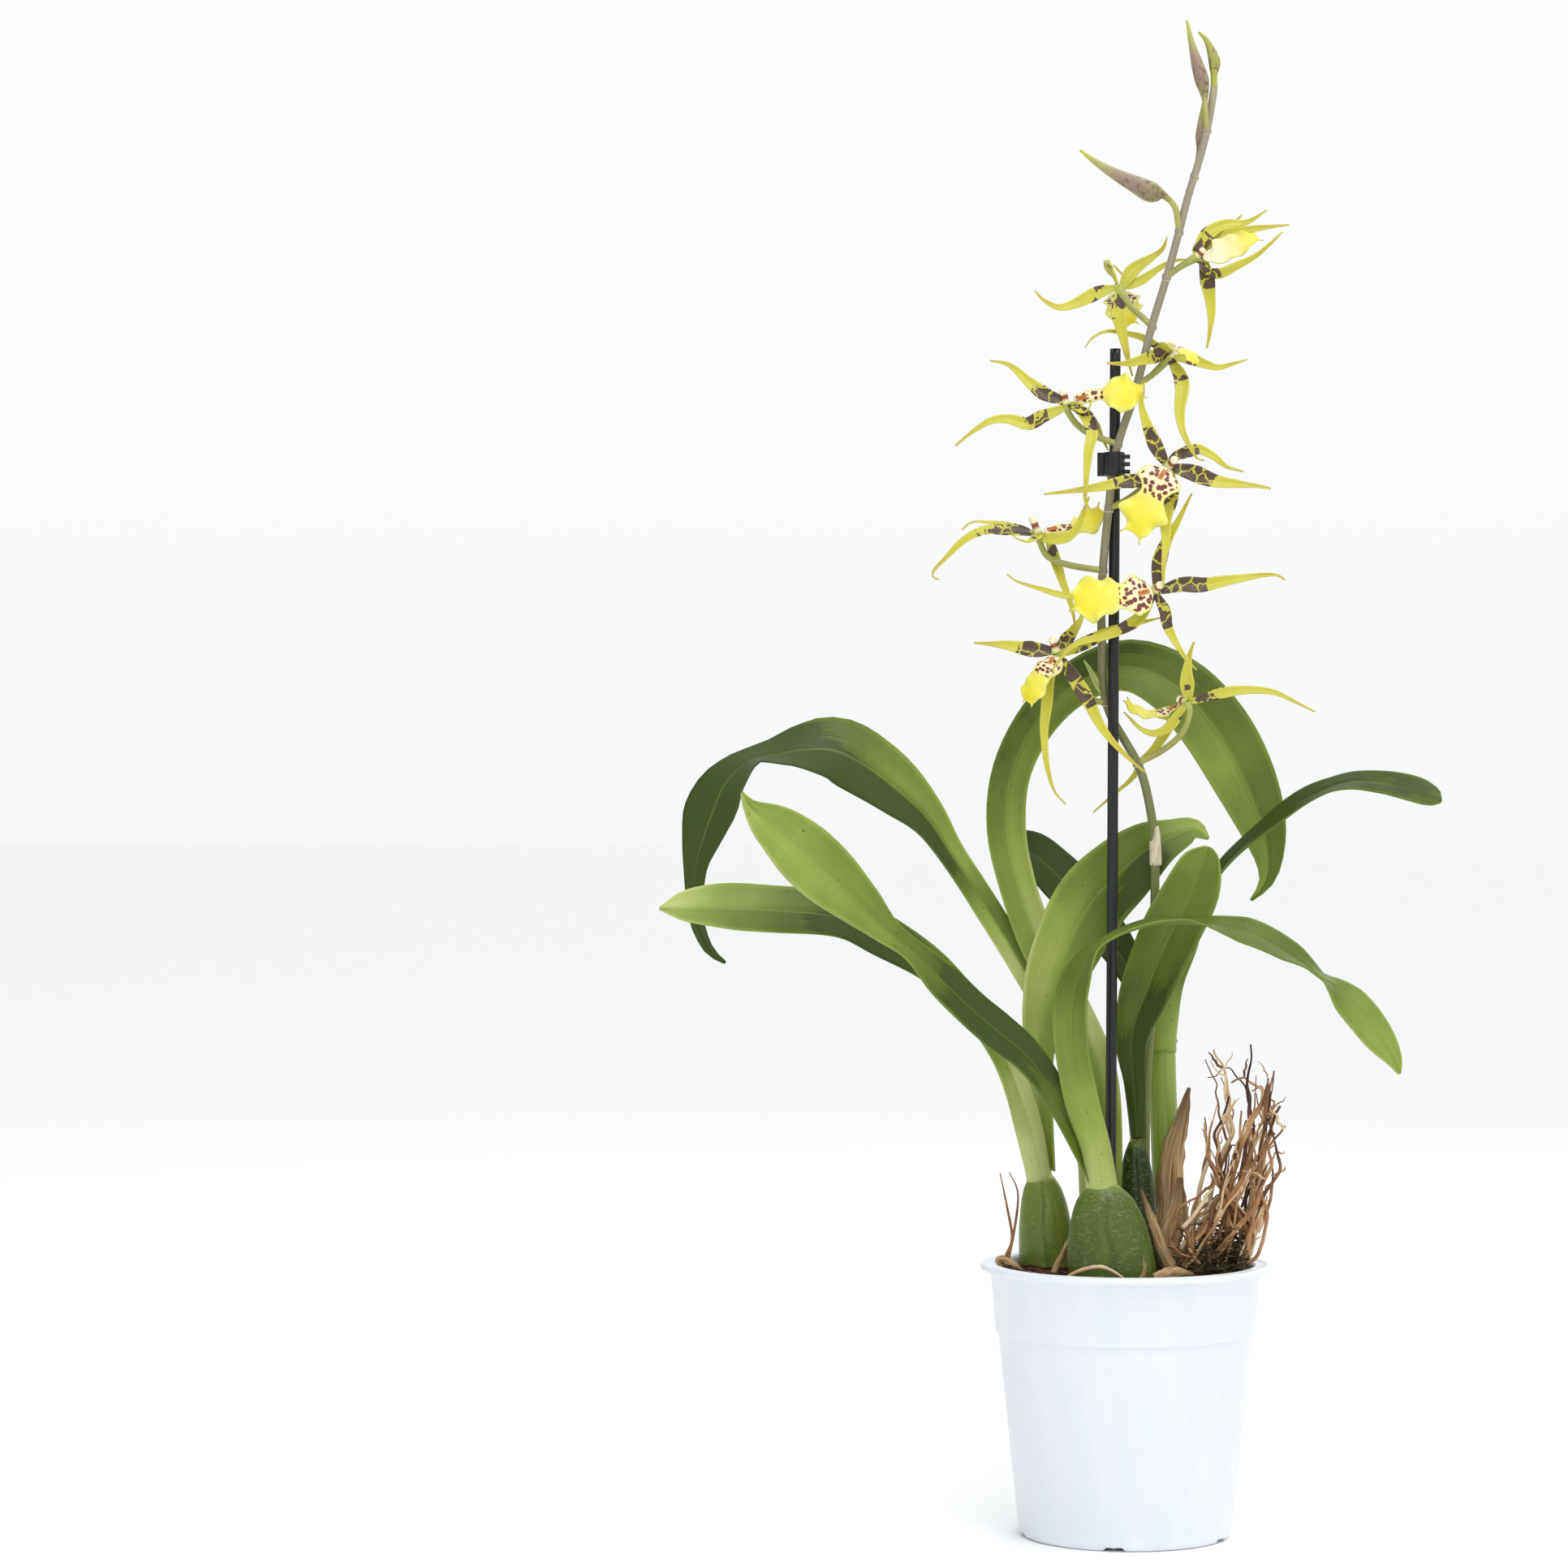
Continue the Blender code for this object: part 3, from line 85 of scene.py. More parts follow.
def add_node(tree, kind, settings=None, links=None):
    """Adds a shader node. Settings set its sockets or properties; links join its sockets to other nodes."""
    node = tree.nodes.new("ShaderNode" + kind)
    for key, value in (settings or {}).items():
        if key == "ramp":
            elements = node.color_ramp.elements
            while len(elements) < len(value):
                elements.new(1.0)
            for element, (position, colour) in zip(elements, value):
                element.position = position
                element.color = linear(colour) if isinstance(colour, str) else (colour, colour, colour, 1.0)
        elif isinstance(key, int) or key in node.inputs:
            node.inputs[key].default_value = linear(value) if isinstance(value, str) else value
        else:
            setattr(node, key, value)
    for key, source in (links or {}).items():
        tree.links.new(output_of(source), node.inputs[key])
    return node


def new_material(name, roughness, settings=None):
    """A Principled material with its constant values set; returns it with its node tree."""
    made = bpy.data.materials.new(name)
    made.use_nodes = True
    shader = made.node_tree.nodes["Principled BSDF"]
    shader.inputs["Roughness"].default_value = roughness
    for key, value in (settings or {}).items():
        shader.inputs[key].default_value = linear(value) if isinstance(value, str) else value
    return made, made.node_tree


def cover(tree, colour=None, relief=None):
    """Leads a colour, a relief or both into a material's shader."""
    shader = tree.nodes["Principled BSDF"]
    if colour:
        tree.links.new(output_of(colour), shader.inputs["Base Color"])
    if relief:
        tree.links.new(output_of(relief), shader.inputs["Normal"])


def to_piece(name, bm, *finishes):
    """Turns a bmesh drawn in millimetres into an object in metres that sits at the origin."""
    bmesh.ops.scale(bm, vec=(MM, MM, MM), verts=bm.verts)
    mesh = bpy.data.meshes.new(name)
    bm.to_mesh(mesh)
    bm.free()
    for finish in finishes:
        mesh.materials.append(finish)
    mesh.shade_smooth()
    piece = bpy.data.objects.new(name, mesh)
    bpy.context.scene.collection.objects.link(piece)
    return piece


# Matt painted board: pale, with no pattern to see.
board, _ = new_material("painted_studio_board", 0.7, {"Base Color": "FCFCFB", "Specular IOR Level": 0.2})
floor_mesh = bmesh.new()
bmesh.ops.create_grid(floor_mesh, x_segments=1, y_segments=1, size=FLOOR_SIZE / 2)
floor = to_piece("studio_floor", floor_mesh, board)

# The sky is a white room, brighter overhead and grey at the far left, so that round things turn softly away
# there.
world = bpy.data.worlds.new("studio_sky")
world.use_nodes = True
sky = world.node_tree
heading = add_node(sky, "SeparateXYZ", {}, {"Vector": add_node(sky, "TexCoord").outputs["Generated"]})
leftward = add_node(sky, "Math", {"operation": "MULTIPLY_ADD", 1: 0.5, 2: 0.5}, {0: heading.outputs["X"]})
fall = add_node(
    sky, "ValToRGB",
    {"ramp": [(0.0, "7C8187"), (0.27, "B4B7BB"), (0.365, "F8F9FA"), (0.6, "F8F9F9"), (1.0, "DCDDDE")]},
    {"Fac": leftward},
)
sky.links.new(output_of(fall), sky.nodes["Background"].inputs["Color"])
overhead = add_node(sky, "Math", {"operation": "MULTIPLY_ADD", 1: 0.36, 2: 0.99}, {0: heading.outputs["Z"]})
sky.links.new(output_of(overhead), sky.nodes["Background"].inputs["Strength"])
bpy.context.scene.world = world

LAMP_AIM_HEIGHT = 300.0
# Each lamp: where it stands, how wide it is, and its power in watts.
LAMPS = {
    "key_softbox": ((300.0, -1000.0, 1900.0), 900.0, 12.0),
    "fill_softbox": ((-1300.0, -900.0, 700.0), 1100.0, 2.0),
    "back_softbox": ((500.0, 1300.0, 1200.0), 900.0, 4.0),
}
for lamp_name, (stand, width, power) in LAMPS.items():
    lamp_data = bpy.data.lights.new(lamp_name, "AREA")
    lamp_data.size = width * MM
    lamp_data.energy = power
    lamp = bpy.data.objects.new(lamp_name, lamp_data)
    lamp.location = Vector(stand) * MM
    aim = Vector((0.0, 0.0, LAMP_AIM_HEIGHT * MM)) - lamp.location
    lamp.rotation_euler = aim.to_track_quat("-Z", "Y").to_euler()
    bpy.context.scene.collection.objects.link(lamp)

# ---------------------------------------------------------------------------------------------
# Pot
# A thin-walled grower's pot of white polypropylene, injection moulded in one piece: a flared mouth with a
# flat rim, a step a quarter of the way down, and a foot ring with notches that let water out.
# ---------------------------------------------------------------------------------------------

POT_HEIGHT = 112.5
POT_RIM_RADIUS = 60.0
POT_MOUTH_RADIUS = 53.0
POT_STEP_HEIGHT = 84.0
POT_STEP_RADIUS = 52.5
POT_BASE_RADIUS = 43.8
POT_FOOT_HEIGHT = 7.0
POT_FLOOR = 3.4
POT_WALL = 1.5
POT_NOTCHES = 5
POT_NOTCH_HEIGHT = 2.4
POT_NOTCH_HALF_WIDTH = 4.5
POT_SPIN_STEPS = 240
POT_PROFILE = [
    (0.0, POT_FLOOR),
    (POT_BASE_RADIUS - POT_WALL - 2.0, POT_FLOOR),
    (POT_BASE_RADIUS - POT_WALL, POT_FLOOR + 2.0),
    (POT_STEP_RADIUS - POT_WALL, POT_STEP_HEIGHT),
    (POT_MOUTH_RADIUS, POT_HEIGHT - 2.0),
    (POT_MOUTH_RADIUS + 0.3, POT_HEIGHT - 0.6),
    (POT_MOUTH_RADIUS + 1.0, POT_HEIGHT - 0.1),
    (POT_MOUTH_RADIUS + 2.0, POT_HEIGHT - 0.5),
    (POT_RIM_RADIUS - 2.2, POT_HEIGHT - 0.5),
    (POT_RIM_RADIUS - 1.5, POT_HEIGHT),
    (POT_RIM_RADIUS - 0.5, POT_HEIGHT - 0.3),
    (POT_RIM_RADIUS, POT_HEIGHT - 1.1),
    (POT_RIM_RADIUS, POT_HEIGHT - 2.0),
    (POT_RIM_RADIUS - 0.4, POT_HEIGHT - 2.5),
    (POT_RIM_RADIUS - 1.2, POT_HEIGHT - 2.7),
    (POT_RIM_RADIUS - 3.6, POT_HEIGHT - 2.9),
    (POT_RIM_RADIUS - 4.3, POT_HEIGHT - 3.6),
    (POT_STEP_RADIUS + 1.25, POT_STEP_HEIGHT + 0.7),
    (POT_STEP_RADIUS + 1.1, POT_STEP_HEIGHT + 0.25),
    (POT_STEP_RADIUS + 0.7, POT_STEP_HEIGHT),
    (POT_STEP_RADIUS + 0.1, POT_STEP_HEIGHT - 0.1),
    (POT_STEP_RADIUS, POT_STEP_HEIGHT - 0.5),
    (POT_BASE_RADIUS + 0.72, POT_FOOT_HEIGHT),
    (POT_BASE_RADIUS + 0.35, POT_FOOT_HEIGHT - 0.7),
    (POT_BASE_RADIUS + 0.1, POT_NOTCH_HEIGHT + 1.0),
    (POT_BASE_RADIUS - 0.2, 1.8),
    (POT_BASE_RADIUS - 0.9, 0.5),
    (POT_BASE_RADIUS - 2.0, 0.0),
    (POT_BASE_RADIUS - 3.4, 0.0),
    (POT_BASE_RADIUS - 3.8, 1.0),
    (0.0, 1.0),
]


def spin_round(bm, line, edges, steps):
    """Spins a profile drawn in the XZ plane all the way round Z."""
    bmesh.ops.spin(
        bm, geom=line + edges, axis=(0, 0, 1), cent=(0, 0, 0), steps=steps, angle=2 * math.pi, use_merge=True
    )


def notch_lift(angle, radius):
    """How high the foot ring is cut away: an arch in each notch, with one small tooth left in its middle."""
    nearest = round((angle + math.pi / 2 + 0.1) / (2 * math.pi) * POT_NOTCHES) * 2 * math.pi / POT_NOTCHES
    across = abs(angle + math.pi / 2 + 0.1 - nearest) * radius
    if across > POT_NOTCH_HALF_WIDTH:
        return 0.0
    arch = min(1.0, (POT_NOTCH_HALF_WIDTH - across) / 1.6)
    tooth = max(0.0, 1.0 - across / 1.5)
    return POT_NOTCH_HEIGHT * (arch - 0.55 * tooth)


pot_mesh = bmesh.new()
rim_line = [pot_mesh.verts.new((radius, 0.0, height)) for radius, height in POT_PROFILE]
rim_edges = [pot_mesh.edges.new(pair) for pair in zip(rim_line, rim_line[1:])]
spin_round(pot_mesh, rim_line, rim_edges, POT_SPIN_STEPS)
bmesh.ops.remove_doubles(pot_mesh, verts=pot_mesh.verts, dist=0.001)
bmesh.ops.recalc_face_normals(pot_mesh, faces=pot_mesh.faces)
for vert in pot_mesh.verts:
    radius = vert.co.xy.length
    if radius > POT_BASE_RADIUS - 3.6 and vert.co.z < POT_NOTCH_HEIGHT:
        lift = notch_lift(math.atan2(vert.co.y, vert.co.x), radius)
        vert.co.z = max(vert.co.z, lift * min(1.0, 1.0 - vert.co.z / 6.0))

# Polypropylene, injection moulded: an even, faintly bluish white that lets a little light in, glossy from the
# polished mould, with flow marks too slight to see except in its highlights.
polypropylene, tree = new_material(
    "white_polypropylene", 0.34,
    {
        "IOR": 1.49, "Subsurface Weight": 0.12, "Subsurface Radius": (0.004, 0.004, 0.005),
        "Subsurface Scale": 0.6,
    },
)
place = add_node(tree, "TexCoord").outputs["Object"]
flow = add_node(tree, "Mapping", {"Scale": (1.0, 1.0, 0.25)}, {"Vector": place})
marks = add_node(tree, "TexNoise", {"Scale": 90.0, "Detail": 3.0}, {"Vector": flow})
tint = add_node(tree, "ValToRGB", {"ramp": [(0.3, "E3E8EF"), (0.7, "E9EDF3")]}, {"Fac": marks.outputs["Fac"]})
ripple = add_node(tree, "Bump", {"Strength": 0.03, "Distance": 0.0003}, {"Height": marks.outputs["Fac"]})
cover(tree, tint, ripple)

pot = to_piece("growers_pot", pot_mesh, polypropylene)
pot.data.set_sharp_from_angle(angle=math.radians(50))
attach(pot, "root")
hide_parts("pot")

# ---------------------------------------------------------------------------------------------
# Substrate
# Pine bark chips and coconut coir, damp and nearly black, filling the pot to a few millimetres below its rim.
# A lumpy bed, banked up under the roots at the right, carries the loose chips and the fibres.
# ---------------------------------------------------------------------------------------------

SOIL_HEIGHT = 107.0
SOIL_RADIUS = 52.2
SOIL_FOOT = 60.0  # the bed goes this deep, behind the pot's wall
BED_SEGMENTS = 72
BED_CUTS = 14
CHIP_COUNT = 430
CHIP_SIZES = (2.2, 5.2)
FIBRE_COUNT = 520
FIBRE_LENGTHS = (6.0, 20.0)
FIBRE_RADIUS = 0.22


def soil_level(x, y):
    """Height of the bed: lumps of bark under coir, banked up to the wall and round the roots at the right."""
    lumps = noise.noise(Vector((x, y, 0.0)) * 0.11 + Vector((3.0, 1.0, 7.0)))
    crumbs = noise.noise(Vector((x, y, 5.0)) * 0.45)
    bank = 1.6 * max(0.0, 1.0 - Vector((x - 34.0, y - 2.0)).length / 24.0)
    edge = max(0.0, (math.hypot(x, y) - 40.0) / 12.0)
    return SOIL_HEIGHT + 0.6 + 1.3 * lumps + 0.5 * crumbs + bank + 1.8 * edge


random.seed(41)
bed_mesh = bmesh.new()
bmesh.ops.create_circle(bed_mesh, cap_ends=True, cap_tris=True, segments=BED_SEGMENTS, radius=SOIL_RADIUS)
spokes = [edge for edge in bed_mesh.edges if not edge.is_boundary]
bmesh.ops.subdivide_edges(bed_mesh, edges=spokes, cuts=BED_CUTS, use_grid_fill=True)
bmesh.ops.triangulate(bed_mesh, faces=bed_mesh.faces)
rim = [edge for edge in bed_mesh.edges if edge.is_boundary]
for vert in bed_mesh.verts:
    vert.co.z = soil_level(vert.co.x, vert.co.y)
wall = bmesh.ops.extrude_edge_only(bed_mesh, edges=rim)["geom"]
foot = [part for part in wall if isinstance(part, bmesh.types.BMVert)]
for vert in foot:
    vert.co.x *= 0.9
    vert.co.y *= 0.9
    vert.co.z = SOIL_FOOT
bmesh.ops.contextual_create(bed_mesh, geom=[part for part in wall if isinstance(part, bmesh.types.BMEdge)])
bmesh.ops.recalc_face_normals(bed_mesh, faces=bed_mesh.faces)

# Composted bark and coir, damp: dark brown with redder and paler crumbs, rough and quite matt.
bark_bed, tree = new_material("composted_bark", 0.85)
place = add_node(tree, "TexCoord").outputs["Object"]
crumbs = add_node(tree, "TexVoronoi", {"Scale": 420.0}, {"Vector": place})
dapple = add_node(tree, "TexNoise", {"Scale": 260.0, "Detail": 6.0, "Roughness": 0.7}, {"Vector": place})
tint = add_node(
    tree, "ValToRGB",
    {"ramp": [(0.3, "140B07"), (0.5, "2B1710"), (0.68, "4A2A1A"), (0.85, "6E4A30")]},
    {"Fac": dapple},
)
relief = add_node(tree, "Bump", {"Strength": 0.8, "Distance": 0.0012}, {"Height": crumbs})
cover(tree, tint, relief)

bed = to_piece("bark_bed", bed_mesh, bark_bed)
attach(bed, "root")
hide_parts("substrate")

chip_mesh = bmesh.new()
chip_tone = chip_mesh.verts.layers.float.new("tone")
for _ in range(CHIP_COUNT):
    angle = random.uniform(0.0, 2 * math.pi)
    distance = (SOIL_RADIUS - 3.4) * math.sqrt(random.random())
    x, y = distance * math.cos(angle), distance * math.sin(angle)
    size = random.uniform(*CHIP_SIZES)
    made = bmesh.ops.create_icosphere(chip_mesh, subdivisions=1, radius=0.5)["verts"]
    tone = random.random()
    squash = (size, size * random.uniform(0.5, 0.8), size * random.uniform(0.25, 0.45))
    turn = Matrix.Rotation(random.uniform(0, 2 * math.pi), 3, "Z")
    turn = turn @ Matrix.Rotation(random.uniform(-0.5, 0.5), 3, "X")
    for vert in made:
        vert.co *= random.uniform(0.75, 1.2)
        vert[chip_tone] = tone
    bmesh.ops.scale(chip_mesh, vec=squash, verts=made)
    bmesh.ops.rotate(chip_mesh, matrix=turn, verts=made)
    bmesh.ops.translate(chip_mesh, vec=(x, y, soil_level(x, y) + 0.1), verts=made)

# Pine bark: broken flat chips, red-brown to nearly black, each a shade of its own, with a fine grain.
pine_bark, tree = new_material("pine_bark", 0.75)
place = add_node(tree, "TexCoord").outputs["Object"]
shade = add_node(tree, "Attribute", {"attribute_name": "tone"})
grain = add_node(tree, "TexNoise", {"Scale": 700.0, "Detail": 4.0}, {"Vector": place})
mixed = add_node(tree, "Math", {"operation": "MULTIPLY_ADD", 1: 0.5}, {0: grain, 2: shade.outputs["Fac"]})
tint = add_node(
    tree, "ValToRGB",
    {"ramp": [(0.25, "1A0D08"), (0.6, "381E14"), (0.95, "5A3120"), (1.0, "7A4A30")]},
    {"Fac": mixed},
)
relief = add_node(tree, "Bump", {"Strength": 0.5, "Distance": 0.0005}, {"Height": grain})
cover(tree, tint, relief)

chips = to_piece("bark_chips", chip_mesh, pine_bark)
chips.data.shade_flat()
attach(chips, "root")


def along(knots, count):
    """count evenly spaced points on a smooth curve through the knots, which may carry more than x, y, z."""
    knots = [Vector(knot) for knot in knots]
    ends = [2 * knots[0] - knots[1]] + knots + [2 * knots[-1] - knots[-2]]
    fine = []
    for a, b, c, d in zip(ends, ends[1:], ends[2:], ends[3:]):
        for step in range(12):
            t = step / 12
            bend = (2 * a - 5 * b + 4 * c - d) * t**2
            twist = (3 * b - a - 3 * c + d) * t**3
            fine.append(0.5 * ((2 * b) + (c - a) * t + bend + twist))
    fine.append(knots[-1])
    lengths = [0.0]
    for a, b in zip(fine, fine[1:]):
        lengths.append(lengths[-1] + (b.xyz - a.xyz).length)
    points = []
    at = 0
    for index in range(count):
        goal = lengths[-1] * index / (count - 1)
        while at < len(fine) - 2 and lengths[at + 1] < goal:
            at += 1
        points.append(fine[at].lerp(fine[at + 1], (goal - lengths[at]) / (lengths[at + 1] - lengths[at])))
    return points


def wrap_rod(bm, knots, stations, sides, width=None, tone=None):
    """Wraps a grid round a route of (x, y, z, radius), closed at both ends.

    width, where given, scales the radius by a function of the share of the length and the angle. tone, where
    given, is a float layer and what it holds there, as a function of the share.
    """
    route = along(knots, stations + 1)
    frames = []
    side = Vector((0.31, 0.95, 0.07))
    for index, point in enumerate(route):
        tangent = (route[min(index + 1, stations)].xyz - route[max(index - 1, 0)].xyz).normalized()
        side = (side - tangent * side.dot(tangent)).normalized()
        frames.append((point, side, tangent.cross(side)))
    made = bmesh.ops.create_grid(
        bm, x_segments=stations + 2, y_segments=sides, size=0.5, calc_uvs=True,
    )["verts"]
    for vert in made:
        column = round((vert.co.x + 0.5) * (stations + 2))
        index = min(max(column - 1, 0), stations)
        point, side, up = frames[index]
        angle = 2 * math.pi * (vert.co.y + 0.5)
        share = index / stations
        radius = 0.0 if column in (0, stations + 2) else point[3]
        if width:
            radius *= width(share, angle)
        vert.co = point.xyz + (side * math.cos(angle) + up * math.sin(angle)) * radius
        if tone:
            vert[tone[0]] = tone[1](share)
    bmesh.ops.remove_doubles(bm, verts=made, dist=0.0005)


def unwrapped_mesh():
    """An empty bmesh with a UV map, which create_grid fills in."""
    bm = bmesh.new()
    bm.loops.layers.uv.new("UVMap")
    return bm


fibre_mesh = unwrapped_mesh()
for _ in range(FIBRE_COUNT):
    angle = random.uniform(0.0, 2 * math.pi)
    distance = (SOIL_RADIUS - 6.0) * math.sqrt(random.random())
    heading = random.uniform(0.0, 2 * math.pi)
    length = random.uniform(*FIBRE_LENGTHS)
    knots = []
    for step in range(4):
        heading += random.uniform(-0.5, 0.5)
        x = distance * math.cos(angle) + math.cos(heading) * length * (step / 3 - 0.5)
        y = distance * math.sin(angle) + math.sin(heading) * length * (step / 3 - 0.5)
        reach = min(1.0, (SOIL_RADIUS - 1.0) / math.hypot(x, y))
        height = soil_level(x * reach, y * reach) + random.uniform(0.2, 1.5)
        knots.append(
            (x * reach, y * reach, min(height, POT_HEIGHT - 1.6), FIBRE_RADIUS * random.uniform(0.6, 1.3))
        )
    wrap_rod(fibre_mesh, knots, 7, 4)


def dull_strands(name, roughness, scale, ramp):
    """Fine dead strands, dappled in a few shades, whose surface is too small to see."""
    made, tree = new_material(name, roughness)
    place = add_node(tree, "TexCoord").outputs["Object"]
    dapple = add_node(tree, "TexNoise", {"Scale": scale, "Detail": 2.0}, {"Vector": place})
    tint = add_node(tree, "ValToRGB", {"ramp": ramp}, {"Fac": dapple})
    cover(tree, tint)
    return made


# Coconut coir: fine wiry fibres from the husk, ginger brown and dry where they stick out of the damp bark.
coir = dull_strands("coconut_coir", 0.8, 160.0, [(0.35, "2A160E"), (0.55, "5C3822"), (0.75, "8E6440")])

fibres = to_piece("coir_fibres", fibre_mesh, coir)
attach(fibres, "root")

# ---------------------------------------------------------------------------------------------
# Pseudobulbs and young stalk
# Three pseudobulbs, the swollen stems in which the plant keeps its water, stand in the bark: flattened eggs
# with a crease down the middle and fine wrinkles. Behind them a young growth is still a smooth round stalk.
# ---------------------------------------------------------------------------------------------

# Each: foot centre (x, y), neck centre (x, y), half widths (x, y), top height, how dark it is (0 to 1).
BULBS = {
    "bulb_front": ((-5.0, -14.0), (-8.5, -11.5), (18.0, 11.0), 146.3, 0.45),
    "bulb_left": ((-32.0, 24.0), (-35.0, 24.0), (12.0, 10.0), 147.8, 0.15),
    "bulb_mid": ((6.0, 20.5), (4.5, 20.5), (8.8, 6.5), 161.5, 0.95),
}
BULB_DEPTH = 0.22  # how far a bulb goes on below the soil, as a share of its height above it
# Share of the height above the soil, and share of the half widths there.
BULB_FORM = [
    (1.0, 0.0), (1.0, 0.27), (0.985, 0.33), (0.95, 0.42), (0.9, 0.54), (0.83, 0.66), (0.72, 0.77),
    (0.6, 0.85),
    (0.45, 0.92), (0.3, 0.97), (0.15, 1.0), (0.0, 0.99), (-BULB_DEPTH, 0.9), (-BULB_DEPTH, 0.0),
]
BULB_SPIN_STEPS = 96
BULB_RINGS = 60


def bulb_width(share):
    """Half width of a pseudobulb at a share of its height, between the stated ones."""
    for (above, wide), (below, wider) in zip(BULB_FORM[1:], BULB_FORM[2:]):
        if share >= below:
            return wide + (wider - wide) * (above - share) / (above - below)
    return BULB_FORM[-2][1]


# Pseudobulb skin: a waxy rind, mid to dark green, drawn lengthwise into fine wrinkles, with short whitish
# scratches and a yellower collar at the neck where a leaf is joined on. It shines softly.
bulb_rind, tree = new_material("pseudobulb_rind", 0.3, {"Specular IOR Level": 0.38})
texture_place = add_node(tree, "TexCoord")
stretched = add_node(
    tree, "Mapping", {"Scale": (1.0, 1.0, 0.22)}, {"Vector": texture_place.outputs["Object"]},
)
wrinkle = add_node(tree, "TexNoise", {"Scale": 520.0, "Detail": 4.0, "Roughness": 0.6}, {"Vector": stretched})
dapple = add_node(tree, "TexNoise", {"Scale": 75.0, "Detail": 3.0}, {"Vector": stretched})
shade = add_node(tree, "Attribute", {"attribute_name": "tone"})
tone_sum = add_node(
    tree, "Math", {"operation": "MULTIPLY_ADD", 1: 0.45}, {0: dapple, 2: shade.outputs["Fac"]}
)
tint = add_node(
    tree, "ValToRGB",
    {
        "ramp": [
            (0.1, "B8BE56"), (0.22, "86923C"), (0.45, "657828"), (0.7, "4E5F1A"), (0.95, "3A4A14"),
            (1.15, "28350D"),
        ],
    },
    {"Fac": tone_sum},
)
scratch_place = add_node(
    tree, "Mapping", {"Scale": (0.4, 0.4, 1.0), "Rotation": (0.0, 0.35, 0.0)},
    {"Vector": texture_place.outputs["Object"]},
)
scratches = add_node(
    tree, "TexNoise", {"Scale": 1300.0, "Detail": 3.0, "Distortion": 1.2}, {"Vector": scratch_place}
)
scratch_mask = add_node(tree, "ValToRGB", {"ramp": [(0.56, 0.0), (0.67, 0.38)]}, {"Fac": scratches})
scratched = add_node(tree, "Mix", {"data_type": "RGBA", 7: "A6B084"}, {0: scratch_mask, 6: tint})
relief = add_node(tree, "Bump", {"Strength": 0.5, "Distance": 0.0008}, {"Height": wrinkle})
cover(tree, scratched.outputs[2], relief)

for bulb_name, (bulb_stand, neck, widths, top, darkness) in BULBS.items():
    rise = top - SOIL_HEIGHT
    bulb_mesh = bmesh.new()
    tone_layer = bulb_mesh.verts.layers.float.new("tone")
    profile = [(0.0, 1.0)]
    for ring in range(BULB_RINGS + 1):
        share = 1.0 - ring / BULB_RINGS * (1.0 + BULB_DEPTH)
        profile.append((bulb_width(share), share))
    profile.append((0.0, -BULB_DEPTH))
    line = [bulb_mesh.verts.new((radius, 0.0, share)) for radius, share in profile]
    edges = [bulb_mesh.edges.new(pair) for pair in zip(line, line[1:])]
    spin_round(bulb_mesh, line, edges, BULB_SPIN_STEPS)
    bmesh.ops.remove_doubles(bulb_mesh, verts=bulb_mesh.verts, dist=0.0001)
    for vert in bulb_mesh.verts:
        share = max(0.0, vert.co.z)
        angle = math.atan2(vert.co.y, vert.co.x)
        bent = 0.05 * math.sin(share * 11.0 + top)
        crease = math.exp(-(((angle + math.pi / 2 + bent) / 0.07) ** 2))
        crease += math.exp(-(((angle - math.pi / 2) / 0.07) ** 2))
        ribs = noise.noise(Vector((math.cos(angle) * 5.0, math.sin(angle) * 5.0, share * 0.8 + top)))
        fine = noise.noise(Vector((math.cos(angle) * 14.0, math.sin(angle) * 14.0, share * 2.5 + top)))
        grow = 1.0 + 0.02 * ribs + 0.012 * fine - 0.05 * crease * min(1.0, 4.0 * (1.0 - share))
        centre = Vector(bulb_stand).lerp(Vector(neck), share)
        # Painted shade darkens the crease's groove; the tone falls towards the neck for the yellower collar.
        vert[tone_layer] = darkness + 0.16 * crease - 0.5 * max(0.0, (share - 0.9) / 0.1)
        vert.co = (
            centre.x + vert.co.x * widths[0] * grow,
            centre.y + vert.co.y * widths[1] * grow,
            SOIL_HEIGHT + rise * vert.co.z,
        )
    bmesh.ops.recalc_face_normals(bulb_mesh, faces=bulb_mesh.faces)
    bulb = to_piece(bulb_name.replace("bulb", "pseudobulb"), bulb_mesh, bulb_rind)
    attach(bulb, "root")
    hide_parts(bulb_name)

STALK = [
    (17.0, 40.5, 98.0, 5.0), (17.5, 40.5, 140.0, 6.0), (16.0, 40.0, 180.0, 5.8), (15.5, 40.0, 207.5, 5.6),
]
STALK_JOINT = 0.93  # share of its length where the oldest sheath ends in a line round it


def joint_line(share, width):
    """How close a place on the stalk is to that line: 1 on it, and nearly 0 beyond its width."""
    return math.exp(-(((share - STALK_JOINT) / width) ** 2))


# The sheathed stalk's tones: 0 is yellow-green and 1 is dark.
stalk_mesh = unwrapped_mesh()
tone_layer = stalk_mesh.verts.layers.float.new("tone")
wrap_rod(
    stalk_mesh, STALK, 60, 40,
    width=lambda share, angle: 1.0 + 0.015 * math.cos(5 * angle) - 0.03 * joint_line(share, 0.006),
    tone=(tone_layer, lambda share: 0.12 - 0.3 * share + 0.6 * joint_line(share, 0.01)),
)
bmesh.ops.recalc_face_normals(stalk_mesh, faces=stalk_mesh.faces)

